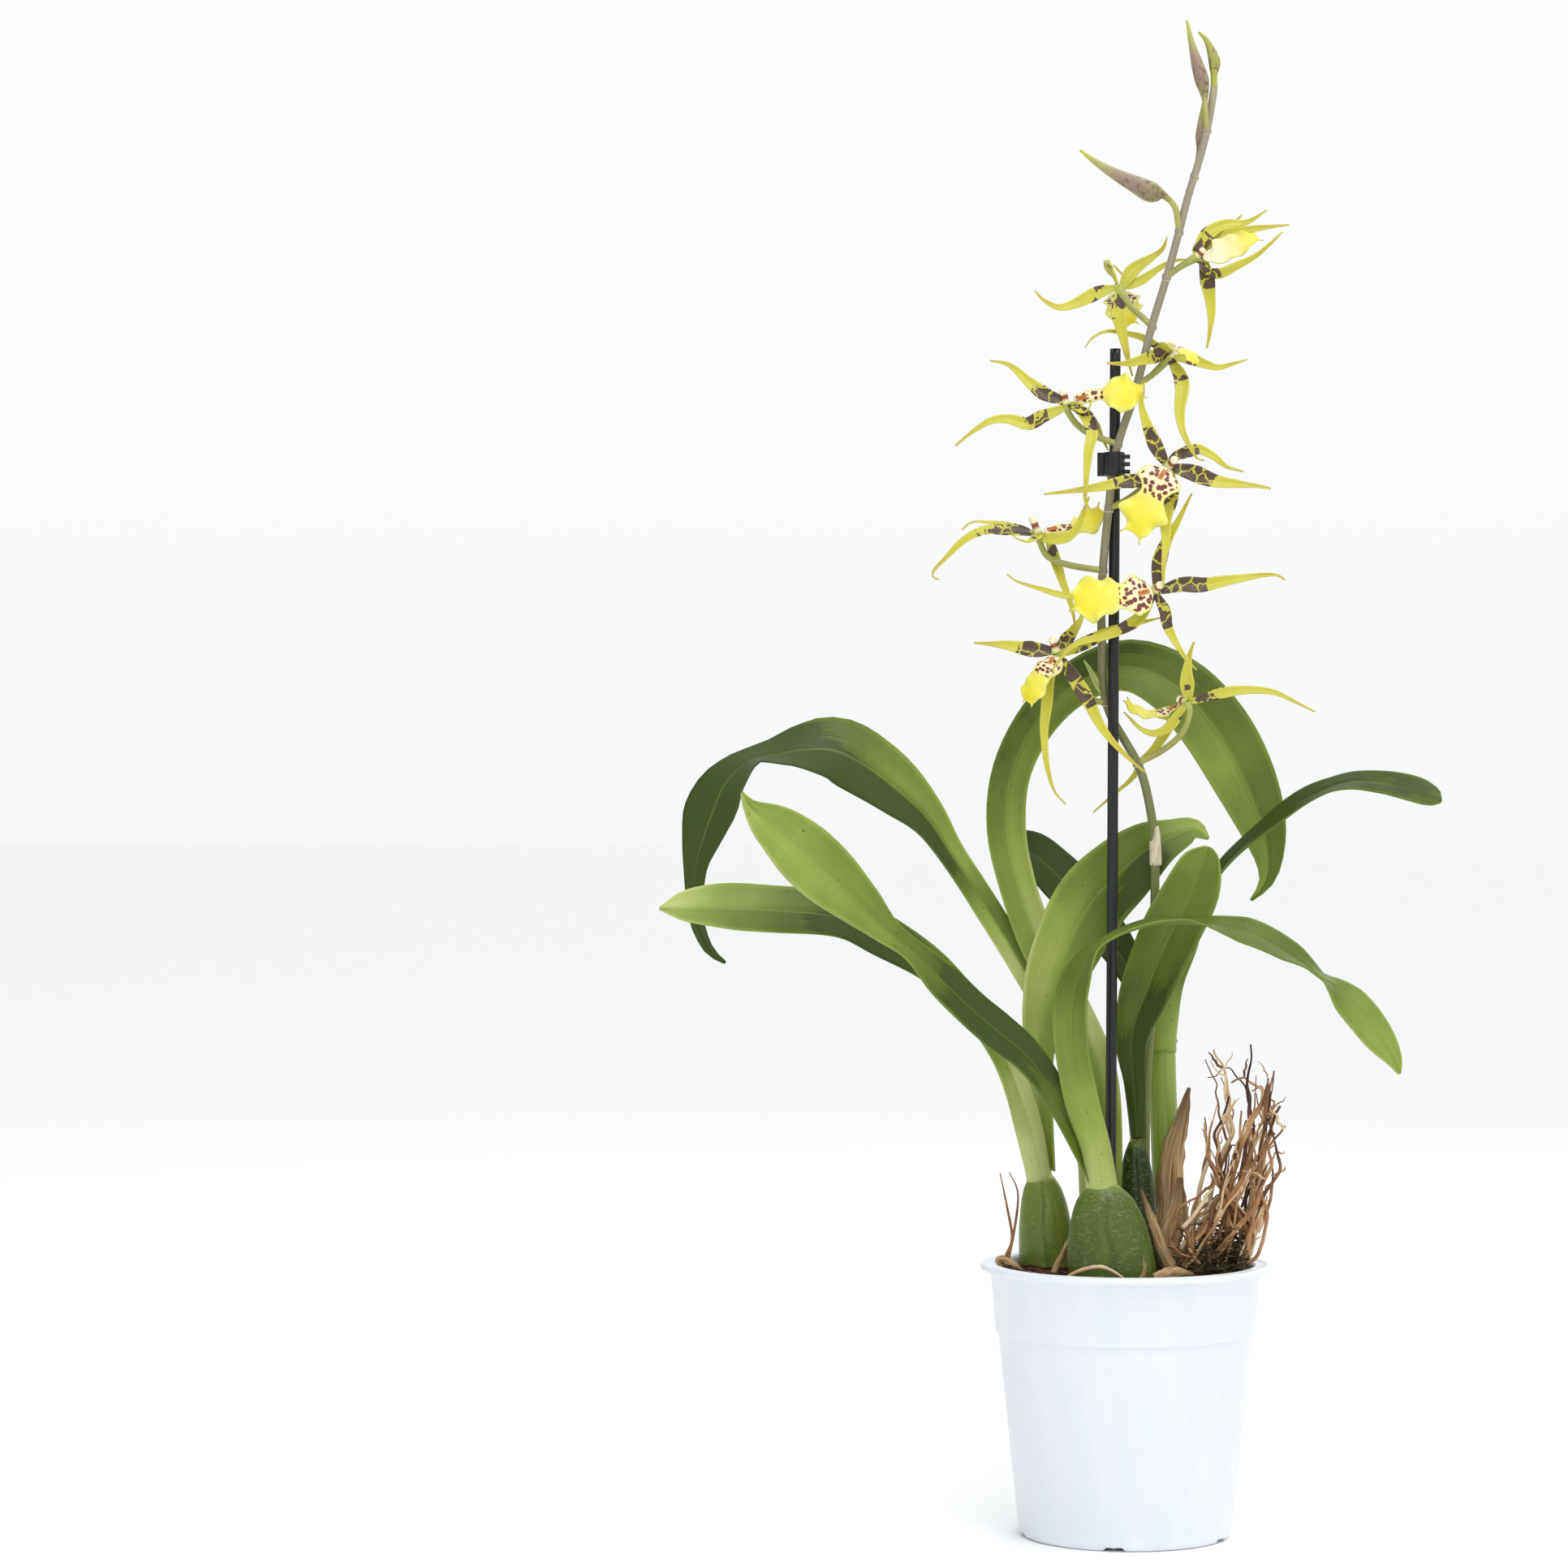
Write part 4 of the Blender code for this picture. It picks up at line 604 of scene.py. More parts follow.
# Living stem sheath: thin and smooth, yellow-green with fine parallel veins, and a soft shine.
stem_sheath, tree = new_material(
    "green_stem_sheath", 0.38, {"Subsurface Weight": 0.08, "Subsurface Scale": 0.01},
)
place = add_node(tree, "TexCoord").outputs["UV"]
veins_place = add_node(tree, "Mapping", {"Scale": (2.0, 40.0, 1.0)}, {"Vector": place})
veins = add_node(tree, "TexNoise", {"Scale": 1.0, "Detail": 3.0}, {"Vector": veins_place})
shade = add_node(tree, "Attribute", {"attribute_name": "tone"})
tone_sum = add_node(tree, "Math", {"operation": "MULTIPLY_ADD", 1: 0.6}, {0: veins, 2: shade.outputs["Fac"]})
tint = add_node(
    tree, "ValToRGB",
    {"ramp": [(0.0, "9CB04A"), (0.35, "76902F"), (0.7, "56721F"), (1.0, "334B14")]},
    {"Fac": tone_sum},
)
relief = add_node(tree, "Bump", {"Strength": 0.15, "Distance": 0.0003}, {"Height": veins})
cover(tree, tint, relief)

stalk = to_piece("young_stalk", stalk_mesh, stem_sheath)
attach(stalk, "root")
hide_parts("growth_stalk")

# ---------------------------------------------------------------------------------------------
# Leaves
# Nine long strap leaves, each narrow at its base and opening into a flat blade with a sharp midrib crease
# that arches over under its own weight. They grow from the bulbs' tops, from beside them and from the stalk.
# ---------------------------------------------------------------------------------------------

LEAF_STATIONS = 84
LEAF_ACROSS = 14
LEAF_THICKNESS = 0.8
MIDRIB_DEPTH = 0.55
EDGE_WAVE = 0.5

# Each leaf's knots run from its base to its tip as (x, y, z, half width); its looks give the way its upper
# side faces at shares of its length, and its tones how dark it is there, from 0, yellow-green, to 1, deep
# green, partly the leaf's own colour and partly painted shade and light, set by where each leaf lies in
# shadow or in light. clasp is how far its base rolls round what bears it, to the back where it is negative,
# and split how much darker one half is there, a painted shade on the half of the keeled blade turned from the
# light.
LEAVES = {
    "leaf_a": {
        "knots": [
            (-14, 20, 99, 3.2), (-14.3, 20.4, 112, 4), (-15, 22, 160, 5.5), (-24, 29, 198, 5.5),
            (-39, 33, 227, 5.8), (-60, 36.5, 261, 5.8), (-74, 38, 282, 6), (-83, 38.5, 295.5, 8.2),
            (-93.5, 38.5, 306, 11.8), (-106, 38, 316, 14.5), (-122, 36, 325, 16), (-136.5, 33, 325.5, 13.5),
            (-148, 30, 323.5, 10), (-159, 26, 321, 8.5), (-168.5, 20, 311, 13), (-173, 16, 300, 15),
            (-177, 13, 288, 11), (-180, 11, 275, 6.2), (-179.6, 9, 257, 4), (-177, 8, 247.5, 3),
            (-173, 7, 240.5, 2), (-167, 6, 236, 0.6),
        ],
        "looks": [
            (0.0, (0.2, -0.9, 0.3)), (0.5, (0.1, -0.9, 0.4)), (0.68, (-0.1, -0.8, 0.55)),
            (0.75, (-0.2, -0.45, 0.85)), (0.8, (-0.6, -0.75, 0.2)), (1.0, (-0.5, -0.85, 0.0)),
        ],
        "tones": [
            (0.0, -0.05), (0.3, 0.05), (0.4, 0.3), (0.48, 0.5), (0.6, 0.62), (0.7, 0.95), (0.78, 1.1),
            (1.0, 1.1),
        ],
        "clasp": 0.6,
        "split": [(0.0, -0.25), (0.41, -0.25), (0.48, 0.26), (0.62, 0.26), (0.74, 0.05), (1.0, 0.05)],
    },
    "leaf_b": {
        "knots": [
            (-12, -8.8, 148.5, 4), (-16.5, -10, 158, 4.5), (-24, -13, 174, 5), (-31, -15, 187, 5.8),
            (-40.5, -18, 199.5, 7), (-52, -22, 209.5, 8), (-63.3, -27, 219.5, 7.8), (-75, -31, 231, 7.8),
            (-87, -35, 243.5, 5.2), (-97, -40, 251.7, 6.2), (-107.5, -44, 262, 9.5), (-119, -49, 272.7, 12.5),
            (-129.5, -53, 282.8, 13), (-138.3, -57, 291, 11), (-145, -59, 296.5, 8), (-150.8, -60, 302, 3.2),
            (-154, -61, 307.5, 0.6),
        ],
        "looks": [
            (0.0, (0.1, -0.9, 0.3)), (0.4, (0.1, -0.9, 0.35)), (0.55, (0.35, -0.8, 0.4)),
            (0.68, (-0.2, -0.9, 0.5)), (1.0, (-0.3, -0.8, 0.6)),
        ],
        "tones": [
            (0.0, 0.4), (0.15, 0.55), (0.3, 0.82), (0.45, 0.75), (0.62, 0.34), (0.85, 0.28), (1.0, 0.05),
        ],
        "clasp": -1.0,
        "split": [(0.0, -0.05), (1.0, -0.05)],
    },
    "leaf_c": {
        "knots": [
            (-34.4, 19.4, 143.8, 5.3), (-35.5, 19.2, 149, 5.1), (-40, 17, 168, 5.8), (-49.5, 12, 195, 5.5),
            (-61, 6, 214, 6), (-79, -2, 234, 7.5), (-101, -10, 248.5, 10), (-118, -16, 256, 10.5),
            (-144, -24, 259, 11.5), (-163, -29, 260, 11.8), (-180, -34, 260, 8), (-190, -37, 260, 0.6),
        ],
        "looks": [(0.0, (0.2, -0.95, 0.2)), (0.6, (0.1, -0.85, 0.5)), (1.0, (0.0, -0.75, 0.66))],
        "tones": [
            (0.0, -0.15), (0.2, -0.05), (0.35, 0.35), (0.6, 0.9), (0.72, 0.65), (0.82, 0.4), (0.95, 0.1),
            (1.0, 0.0),
        ],
        "clasp": 1.0,
        "split": [(0.0, 0.1), (1.0, 0.1)],
    },
    "leaf_d": {
        "knots": [
            (-10, 12.3, 99, 3.2), (-9.7, 12.3, 112, 4), (-8.5, 12, 135, 6.5), (-8.5, 13.5, 165, 7.5),
            (-11, 18, 192, 7.5), (-23, 25, 219, 7.5), (-36, 30, 243, 8), (-45, 34, 268, 8),
            (-50, 38, 292, 8.5), (-48, 41, 316, 8.5), (-37, 44, 338, 9), (-20, 46, 354, 10), (1, 47, 361, 12),
            (21, 46, 353, 14), (37, 44, 336, 15), (49, 41, 315, 14), (57.5, 38, 294, 10.5),
            (60.5, 36, 279, 6), (59, 34, 269, 2.8), (53, 33, 262, 0.6),
        ],
        "looks": [
            (0.0, (-0.1, -1.0, 0.0)), (0.4, (-0.3, -0.9, 0.2)), (0.65, (0.0, -0.9, 0.4)),
            (1.0, (0.15, -0.95, 0.2)),
        ],
        "tones": [
            (0.0, 0.7), (0.18, 0.25), (0.28, -0.05), (0.42, 0.2), (0.55, 0.5), (0.66, 0.6), (0.8, 0.45),
            (1.0, 0.4),
        ],
        "clasp": 0.6,
        "split": [(0.0, 0.12), (1.0, 0.12)],
    },
    "leaf_e": {
        "knots": [
            (15.3, 45.8, 201, 5), (14, 45.4, 210, 4.5), (6, 46, 225, 6), (-5, 49, 243, 9),
            (-19, 53, 261, 11.5), (-33, 57, 276, 11), (-45, 60, 284, 9), (-56, 61, 285, 0.6),
        ],
        "looks": [(0.0, (0.3, -0.8, 0.5)), (1.0, (0.0, -0.7, 0.7))],
        "tones": [(0.0, 1.2), (1.0, 1.2)],
        "clasp": -1.0,
        "split": [(0.0, 0.0), (1.0, 0.0)],
    },
    "leaf_f": {
        "knots": [
            (-35, 28, 148.0, 5), (-36, 27, 171, 5.5), (-36, 24.5, 198, 6.5), (-33, 20, 218, 10),
            (-27, 17, 236, 13.5), (-15, 15.5, 260, 15.5), (-2, 16, 274, 14.5), (10, 18, 284, 11.5),
            (20, 20.5, 289, 8), (29, 22.5, 292, 5), (35, 23, 288, 0.6),
        ],
        "looks": [(0.0, (0.1, -1.0, 0.1)), (0.8, (0.05, -1.0, 0.2)), (1.0, (0.0, -0.8, 0.6))],
        "tones": [(0.0, 0.1), (0.3, 0.12), (0.5, 0.25), (0.65, 0.5), (0.85, 0.65), (0.93, 0.35), (1.0, 0.2)],
        "clasp": -1.0,
        "split": [(0.0, -0.12), (1.0, -0.12)],
    },
    "leaf_g": {
        "knots": [
            (-8.7, -15.9, 141.6, 6.6), (-9.5, -15.6, 148, 6.2), (-12, -15.4, 162, 6), (-18, -17, 182, 7),
            (-22, -18.5, 206, 7), (-20, -20, 228, 9), (-11, -21, 244, 10), (6, -22, 252.5, 9.5),
            (24, -22, 254.5, 8.5), (40, -23, 253, 8.5), (54, -25, 249, 8.5), (68, -28, 241, 7.5),
            (78, -31, 233.5, 6), (86, -33, 227.5, 7), (95, -36, 218, 7.8), (102.5, -38, 208, 6.8),
            (108, -39.5, 200, 3.8), (110.5, -40, 194, 0.6),
        ],
        "looks": [
            (0.0, (0.1, -1.0, 0.0)), (0.24, (0.0, -1.0, 0.1)), (0.33, (-0.6, -0.75, 0.3)),
            (0.42, (-0.3, -0.1, 0.95)), (0.57, (0.05, -0.02, 1.0)), (0.66, (0.15, -0.6, 0.8)),
            (0.74, (0.3, -0.5, 0.8)), (0.8, (0.6, -0.1, 0.8)), (0.86, (0.4, -0.9, 0.3)),
            (1.0, (0.3, -0.9, 0.3)),
        ],
        "tones": [
            (0.0, -0.1), (0.1, 0.05), (0.2, 0.3), (0.36, 0.5), (0.6, 0.6), (0.78, 0.55), (0.86, 0.3),
            (1.0, 0.2),
        ],
        "clasp": 1.0,
        "split": [(0.0, 0.0), (1.0, 0.0)],
    },
    "leaf_h": {
        "knots": [
            (5, 20.5, 162.2, 3), (4, 18.5, 186, 4.5), (3, 16.5, 206, 7.5), (9, 13, 225, 11),
            (17.5, 6, 246, 12.5), (26.5, 0, 264, 12), (31, -3, 276, 9.5), (33.5, -4.6, 282, 6),
            (34.6, -5, 285, 1.5),
        ],
        "looks": [(0.0, (-0.2, -1.0, 0.0)), (0.6, (-0.25, -0.95, 0.1)), (1.0, (0.1, -0.9, 0.4))],
        "tones": [(0.0, 0.95), (0.4, 0.7), (0.7, 0.5), (1.0, 0.36)],
        "clasp": 1.0,
        "split": [(0.0, -0.05), (1.0, -0.05)],
    },
    "leaf_i": {
        "knots": [
            (15.8, 33.6, 198, 6.2), (16, 34.4, 208, 6.2), (18, 35.5, 226, 6.5), (24, 34, 243, 6.5),
            (30, 31, 260, 6), (39.5, 28, 274, 5.5), (51.5, 25, 287, 5.2), (65, 20, 298.5, 6),
            (79, 16, 307, 6.8), (93, 12, 312, 6.8), (106, 9, 311.5, 7), (118, 6, 308.5, 7.2),
            (125, 5, 306, 6), (129, 4, 304.4, 3.5), (130.4, 4, 303.6, 0.6),
        ],
        "looks": [
            (0.0, (0.1, -1.0, 0.1)), (0.25, (0.0, -1.0, 0.1)), (0.42, (-0.6, -0.3, 0.7)),
            (0.6, (-0.3, -0.55, 0.8)), (0.75, (-0.1, -0.45, 0.9)), (0.9, (0.15, -0.7, 0.7)),
            (1.0, (0.3, -0.8, 0.5)),
        ],
        "tones": [(0.0, 0.15), (0.3, 0.4), (0.45, 0.8), (0.7, 0.8), (1.0, 0.6)],
        "clasp": 1.0,
        "split": [(0.0, 0.0), (1.0, 0.0)],
    },
}


def share_of(steps, share):
    """The value at a share of the length, between those stated as (share, value)."""
    for (low, before), (high, after) in zip(steps, steps[1:]):
        if share <= high:
            part = (share - low) / (high - low)
            if isinstance(before, float):
                return before + (after - before) * part
            return Vector(before).lerp(Vector(after), part)
    return steps[-1][1]


def blade_frames(knots, looks, stations):
    """A blade's middle line as (point, sideways, up) at each station, its upper side turned as looks says."""
    route = along(knots, stations + 1)
    frames = []
    for index, point in enumerate(route):
        tangent = (route[min(index + 1, stations)].xyz - route[max(index - 1, 0)].xyz).normalized()
        side = tangent.cross(Vector(share_of(looks, index / stations))).normalized()
        frames.append((point, side, side.cross(tangent)))
    return frames


def lay_blade(bm, knots, looks, stations, across, form):
    """Lays a grid along a route of (x, y, z, half width), its upper side turned the way that looks says.

    form takes the share of the length, the place across from -1 to 1 and the half width there. It gives the
    share of the half width out from the middle, and the millimetres up from the middle line and on along it.
    Returns the points with their share and place across.
    """
    frames = blade_frames(knots, looks, stations)
    made = bmesh.ops.create_grid(bm, x_segments=stations, y_segments=across, size=0.5, calc_uvs=True)["verts"]
    placed = []
    for vert in made:
        share = vert.co.x + 0.5
        across_at = 2.0 * vert.co.y
        point, side, up = frames[round(share * stations)]
        out, height, forward = form(share, across_at, point[3])
        vert.co = point.xyz - side * out * point[3] + up * height + side.cross(up) * forward
        placed.append((vert, share, across_at))
    return placed


def leaf_form(phase, clasp=0.0, clasp_reach=0.2):
    """The cross-section of one leaf: rolled round what bears it at its base, forward or back by clasp's sign,
    then open, with its midrib sunk and its edges waving."""

    def form(share, across_at, half):
        wrap = max(0.0, 1.0 - share / clasp_reach) ** 0.7
        turn = 0.05 + 1.6 * wrap * abs(clasp)
        out = math.sin(across_at * turn) / math.sin(turn) if turn < 1.5 else math.sin(across_at * turn)
        rolled = -math.copysign(half * (1.0 - math.cos(across_at * turn)), clasp)
        fold = 0.12 * (1.0 - wrap)
        wave = EDGE_WAVE * math.sin(share * 26.0 + phase + (0.8 if across_at > 0 else 0.0)) * across_at**2
        crease = MIDRIB_DEPTH * math.exp(-((across_at / 0.09) ** 2)) * (1.0 - wrap)
        sway = wave * min(1.0, half / 6.0) * (1.0 - wrap)
        height = rolled + fold * half * abs(across_at) ** 1.5 + sway - crease
        return out, height, 0.0
    return form


def leaf_finish(name, ramp, roughness):
    """Leaf skin: waxy cuticle over parallel veins that run the whole length, with a paler midrib, cloudy
    patches of yellower green, patches of brownish specks, and a soft satin shine broken by the veins."""
    made, tree = new_material(name, roughness, {"Specular IOR Level": 0.22})
    texture_place = add_node(tree, "TexCoord")
    lengthwise = add_node(
        tree, "Mapping", {"Scale": (5.0, 46.0, 1.0)}, {"Vector": texture_place.outputs["UV"]},
    )
    veins = add_node(
        tree, "TexNoise", {"Scale": 1.0, "Detail": 3.0, "Roughness": 0.6}, {"Vector": lengthwise}
    )
    clouds = add_node(
        tree, "TexNoise", {"Scale": 34.0, "Detail": 3.0}, {"Vector": texture_place.outputs["Object"]}
    )
    shade = add_node(tree, "Attribute", {"attribute_name": "tone"})
    veined = add_node(
        tree, "Math", {"operation": "MULTIPLY_ADD", 1: 0.24}, {0: veins, 2: shade.outputs["Fac"]}
    )
    clouded = add_node(tree, "Math", {"operation": "MULTIPLY_ADD", 1: 0.44}, {0: clouds, 2: veined})
    tint = add_node(tree, "ValToRGB", {"ramp": ramp}, {"Fac": clouded})
    across_place = add_node(tree, "SeparateXYZ", {}, {"Vector": texture_place.outputs["UV"]})
    midrib = add_node(
        tree, "ValToRGB", {"ramp": [(0.482, 0.0), (0.496, 0.3), (0.504, 0.3), (0.518, 0.0)]},
        {"Fac": across_place.outputs["Y"]},
    )
    ribbed = add_node(tree, "Mix", {"data_type": "RGBA", 7: "94AA4C"}, {0: midrib, 6: tint})
    specks = add_node(tree, "TexVoronoi", {"Scale": 190.0}, {"Vector": texture_place.outputs["Object"]})
    speck_mask = add_node(
        tree, "ValToRGB", {"ramp": [(0.0, 0.75), (0.06, 0.7), (0.16, 0.0)]}, {"Fac": specks}
    )
    patchy = add_node(
        tree, "TexNoise", {"Scale": 22.0, "Detail": 2.0}, {"Vector": texture_place.outputs["Object"]}
    )
    patch_mask = add_node(tree, "ValToRGB", {"ramp": [(0.5, 0.0), (0.62, 1.0)]}, {"Fac": patchy})
    speck_amount = add_node(tree, "Math", {"operation": "MULTIPLY"}, {0: speck_mask, 1: patch_mask})
    specked = add_node(
        tree, "Mix", {"data_type": "RGBA", 7: "4C4B24"}, {0: speck_amount, 6: ribbed.outputs[2]}
    )
    relief = add_node(tree, "Bump", {"Strength": 0.3, "Distance": 0.0003}, {"Height": veins})
    cover(tree, specked.outputs[2], relief)
    return made


def thicken(piece, name, thickness, lined=False):
    """Gives a sheet its thickness, half to each side. A lined one has its second material at the back."""
    shell = piece.modifiers.new(name, "SOLIDIFY")
    shell.thickness = thickness * MM
    shell.offset = 0.0
    shell.material_offset = 1 if lined else 0


leaf_upper = leaf_finish(
    "leaf_upper_cuticle",
    [(0.13, "C0C980"), (0.42, "91A148"), (0.7, "6D7E2E"), (0.97, "51611F"), (1.3, "3D4B1B")], 0.38
)
leaf_under = leaf_finish(
    "leaf_underside",
    [(0.13, "C1CA84"), (0.42, "9AA754"), (0.7, "778736"), (0.97, "5E6C2B"), (1.3, "495421")], 0.5
)

for phase, (leaf_name, leaf) in enumerate(LEAVES.items()):
    leaf_mesh = unwrapped_mesh()
    tone_layer = leaf_mesh.verts.layers.float.new("tone")
    placed = lay_blade(
        leaf_mesh, leaf["knots"], leaf["looks"], LEAF_STATIONS, LEAF_ACROSS, leaf_form(phase, leaf["clasp"]),
    )
    for vert, share, across_at in placed:
        # Painted shade: split darkens one half of the keeled blade, the half turned from the light.
        flank = max(-1.0, min(1.0, 6.0 * across_at))
        painted_half_shade = share_of(leaf["split"], share) * flank * min(1.0, 4.0 * share)
        edge_shade = (0.14 * across_at**4 - 0.34 * across_at**12) * min(1.0, 3.0 * share)
        vert[tone_layer] = share_of(leaf["tones"], share) + painted_half_shade + edge_shade - 0.04
    piece = to_piece(leaf_name.replace("leaf", "strap_leaf"), leaf_mesh, leaf_upper, leaf_under)
    thicken(piece, "Blade thickness", LEAF_THICKNESS, lined=True)
    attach(piece, "root")
    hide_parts(leaf_name)

# ---------------------------------------------------------------------------------------------
# Dry sheaths
# Dead leaf bases that once wrapped the growths: thin, stiff and brown as old paper, with raised lengthwise
# veins, curled in at the sides and torn to ragged points.
# ---------------------------------------------------------------------------------------------

SHEATH_STATIONS = 40
SHEATH_ACROSS = 10
SHEATH_THICKNESS = 0.45
SPLINTER_STATIONS = 18
SPLINTER_ACROSS = 6
SPLINTER_THICKNESS = 0.6
sheath_looks = [(0.0, (0.1, -1.0, 0.0)), (1.0, (0.1, -1.0, 0.0))]
SHEATHS = {
    "dry_sheath_tall": [
        (18, 32.5, 99, 2.5), (18.5, 32, 112, 3.2), (19, 32, 132, 5.5), (20, 32, 152, 5), (24, 31.5, 170, 3),
        (27, 31, 183, 0.6),
    ],
    "dry_sheath_torn": [
        (18, 12, 99, 2.2), (18.5, 12, 111, 3), (19, 12, 123, 5.2), (22, 12, 132, 4.5), (23, 12.5, 147, 0.8),
    ],
    "dry_sheath_strip": [(3, 34.5, 99, 2), (4, 35, 150, 2.5), (6, 35, 175, 2), (9, 35, 205, 0.6)],
}
# Loose splinters of other sheaths that stick up out of the bark.
SPLINTERS = [
    [(22, -3, 107, 2.4), (16, -4, 117, 2.4), (11.5, -5, 130, 1.8), (6.8, -5, 143, 0.5)],
    [(-30, -8, 107, 1.2), (-27, -9, 114, 1.2), (-23, -10, 122, 1.0), (-18.5, -9, 129, 0.4)],
    [(-51, 4, 107, 1.8), (-52, 3, 113, 1.7), (-47, 0, 112, 1.2), (-42, -3, 109, 0.5)],
    [(6, -33, 108, 1.5), (8, -34, 113, 0.7), (7, -34, 119, 0.3)],
    [(12, -28, 109, 2.2), (20, -27, 111.5, 2.4), (28, -26, 110.5, 0.8)],
]


def sheath_form(phase):
    """A torn strip that curls in at its sides, with ragged edges."""

    def form(share, across_at, half):
        ragged = 1.0 + 0.3 * noise.noise(Vector((share * 16.0, phase * 5.0, across_at))) * abs(across_at)
        rib = 0.12 * math.cos(across_at * 14.0)
        height = -0.45 * half * across_at**2 + rib + 0.3 * math.sin(share * 9.0 + phase) * across_at
        return across_at * ragged, height, 0.0
    return form


# Dead sheath: papery and dry, straw brown to chestnut in long streaks between paler veins, darker towards
# its tip, with no shine.
dry_sheath, tree = new_material("dry_papery_sheath", 0.8)
texture_place = add_node(tree, "TexCoord")
lengthwise = add_node(tree, "Mapping", {"Scale": (3.0, 16.0, 1.0)}, {"Vector": texture_place.outputs["UV"]})
streaks = add_node(tree, "TexNoise", {"Scale": 1.0, "Detail": 4.0, "Roughness": 0.65}, {"Vector": lengthwise})
tint = add_node(
    tree, "ValToRGB",
    {"ramp": [(0.3, "5A3620"), (0.41, "9A744C"), (0.51, "C6A679"), (0.68, "E2CBA0")]}, {"Fac": streaks},
)
parts = add_node(tree, "SeparateXYZ", {}, {"Vector": texture_place.outputs["UV"]})
tip_mask = add_node(tree, "ValToRGB", {"ramp": [(0.62, 0.0), (1.0, 0.75)]}, {"Fac": parts.outputs["X"]})
tipped = add_node(tree, "Mix", {"data_type": "RGBA", 7: "4A2A18"}, {0: tip_mask, 6: tint})
relief = add_node(tree, "Bump", {"Strength": 0.7, "Distance": 0.0005}, {"Height": streaks})
cover(tree, tipped.outputs[2], relief)

for phase, (sheath_name, sheath_knots) in enumerate(SHEATHS.items()):
    sheath_mesh = unwrapped_mesh()
    lay_blade(sheath_mesh, sheath_knots, sheath_looks, SHEATH_STATIONS, SHEATH_ACROSS, sheath_form(phase))
    sheath = to_piece(sheath_name.replace("dry_sheath", "papery_sheath"), sheath_mesh, dry_sheath)
    thicken(sheath, "Sheath thickness", SHEATH_THICKNESS)
    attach(sheath, "root")
    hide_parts(sheath_name)

splinter_mesh = unwrapped_mesh()
for phase, splinter in enumerate(SPLINTERS):
    lay_blade(
        splinter_mesh, splinter, sheath_looks, SPLINTER_STATIONS, SPLINTER_ACROSS, sheath_form(phase + 3),
    )
splinters = to_piece("sheath_splinters", splinter_mesh, dry_sheath)
thicken(splinters, "Sheath thickness", SPLINTER_THICKNESS)
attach(splinters, "root")

# ---------------------------------------------------------------------------------------------
# Roots
# Aerial roots that found no room in the pot. At the right a dense shock of old ones, dry and light brown,
# forked and kinked, stands up out of a mossy tangle; there are two thin ones at the left and one in front.
# ---------------------------------------------------------------------------------------------

ROOTS_LEFT = [
    [(-50, 8, 99, 0.7), (-50, 8, 112, 0.7), (-47, 9, 121, 0.6), (-49, 9, 134, 0.6), (-52, 9, 148.5, 0.5)],
    [(-50, 8, 106, 0.7), (-46, 7, 125, 0.6), (-44.5, 7, 140, 0.5), (-48, 8, 149, 0.5)],
]
ROOT_FRONT = [
    (-24, -30, 109.3, 0.8), (-18, -32, 112.6, 0.9), (-10, -34, 114.4, 0.9), (-4, -34, 112.2, 0.9),
    (0, -34, 109.4, 0.8),
]
ROOTS_RIGHT = [
    [(34, 0, 108), (33, 2, 128), (38, 3, 150), (44, 2, 166), (43, 1, 180), (41, 0, 192), (36.5, 0, 201)],
    [(40, 2, 108), (43, 6, 130), (49, 6, 152), (52, 5, 170), (51, 4, 186), (52, 4, 203)],
    [(45, 0, 108), (52, -2, 126), (56, -3, 148), (58, -3, 160), (62, -4, 165), (66, -4, 170)],
    [(38, -4, 108), (42, -6, 130), (45, -7, 150), (50, -8, 168), (57, -7, 180), (60, -6, 186), (58, -5, 165)],
    [(44, 6, 108), (50, 9, 130), (55, 9, 150), (58, 8, 168), (57, 7, 183), (50, 6, 189), (44, 5, 187)],
    [(30, 4, 108), (28, 6, 124), (31, 8, 140), (35, 8, 156), (33, 8, 170)],
    [(36, -8, 108), (33, -10, 122), (37, -12, 138), (43, -12, 152), (47, -11, 163)],
    [(46, -6, 108), (50, -9, 120), (53, -9, 134), (52, -8, 148), (55, -8, 158)],
    [(32, -6, 108), (28, -8, 116), (25, -9, 128), (30, -9, 140), (36, -8, 146)],
    [(42, 10, 108), (45, 14, 126), (44, 16, 144), (47, 17, 160), (52, 16, 172)],
    [(48, 3, 110), (54, 3, 124), (57, 3, 138), (56, 3, 152)],
    [(28, 0, 109), (24, -1, 118), (29, -2, 132), (40, -3, 140), (46, -3, 155), (48, -3, 176)],
    [(22, -4, 108), (29, -8, 122), (40, -10, 138), (51, -8, 152), (60, -6, 168), (64, -5, 178)],
    [(49, 1, 109), (50, -5, 126), (41, -9, 142), (34, -8, 158), (36, -6, 172)],
    [(30, -7, 110), (42, -11, 122), (54, -10, 138), (60, -8, 154), (57, -6, 170)],
    [(48, 3, 110), (53, 0, 124), (47, -2, 136), (40, -5, 150), (37, -5, 166), (43, -4, 182)],
]
ROOT_RADIUS = 1.05
ROOT_COMPANIONS = 3  # thinner roots that follow each main one part of the way
ROOT_REACH = 66.0  # no root stands further right than this
ROOT_REACH_IN_POT = 49.0  # nor than this, as low as the rim
TWIGS = 1  # side roots on each
MOSS_COUNT = 620
MOSS_CENTRE = (40.0, 0.0)
MOSS_RADIUS = 12.5
MOSS_HEIGHT = 21.0
MOSS_KNOTS = 5
MOSS_STEP = 3.4  # from one knot of a strand to the next


def jitter(amount):
    """A random offset, up to the amount each way."""
    return Vector(
        (random.uniform(-amount, amount), random.uniform(-amount, amount), random.uniform(-amount, amount))
    )


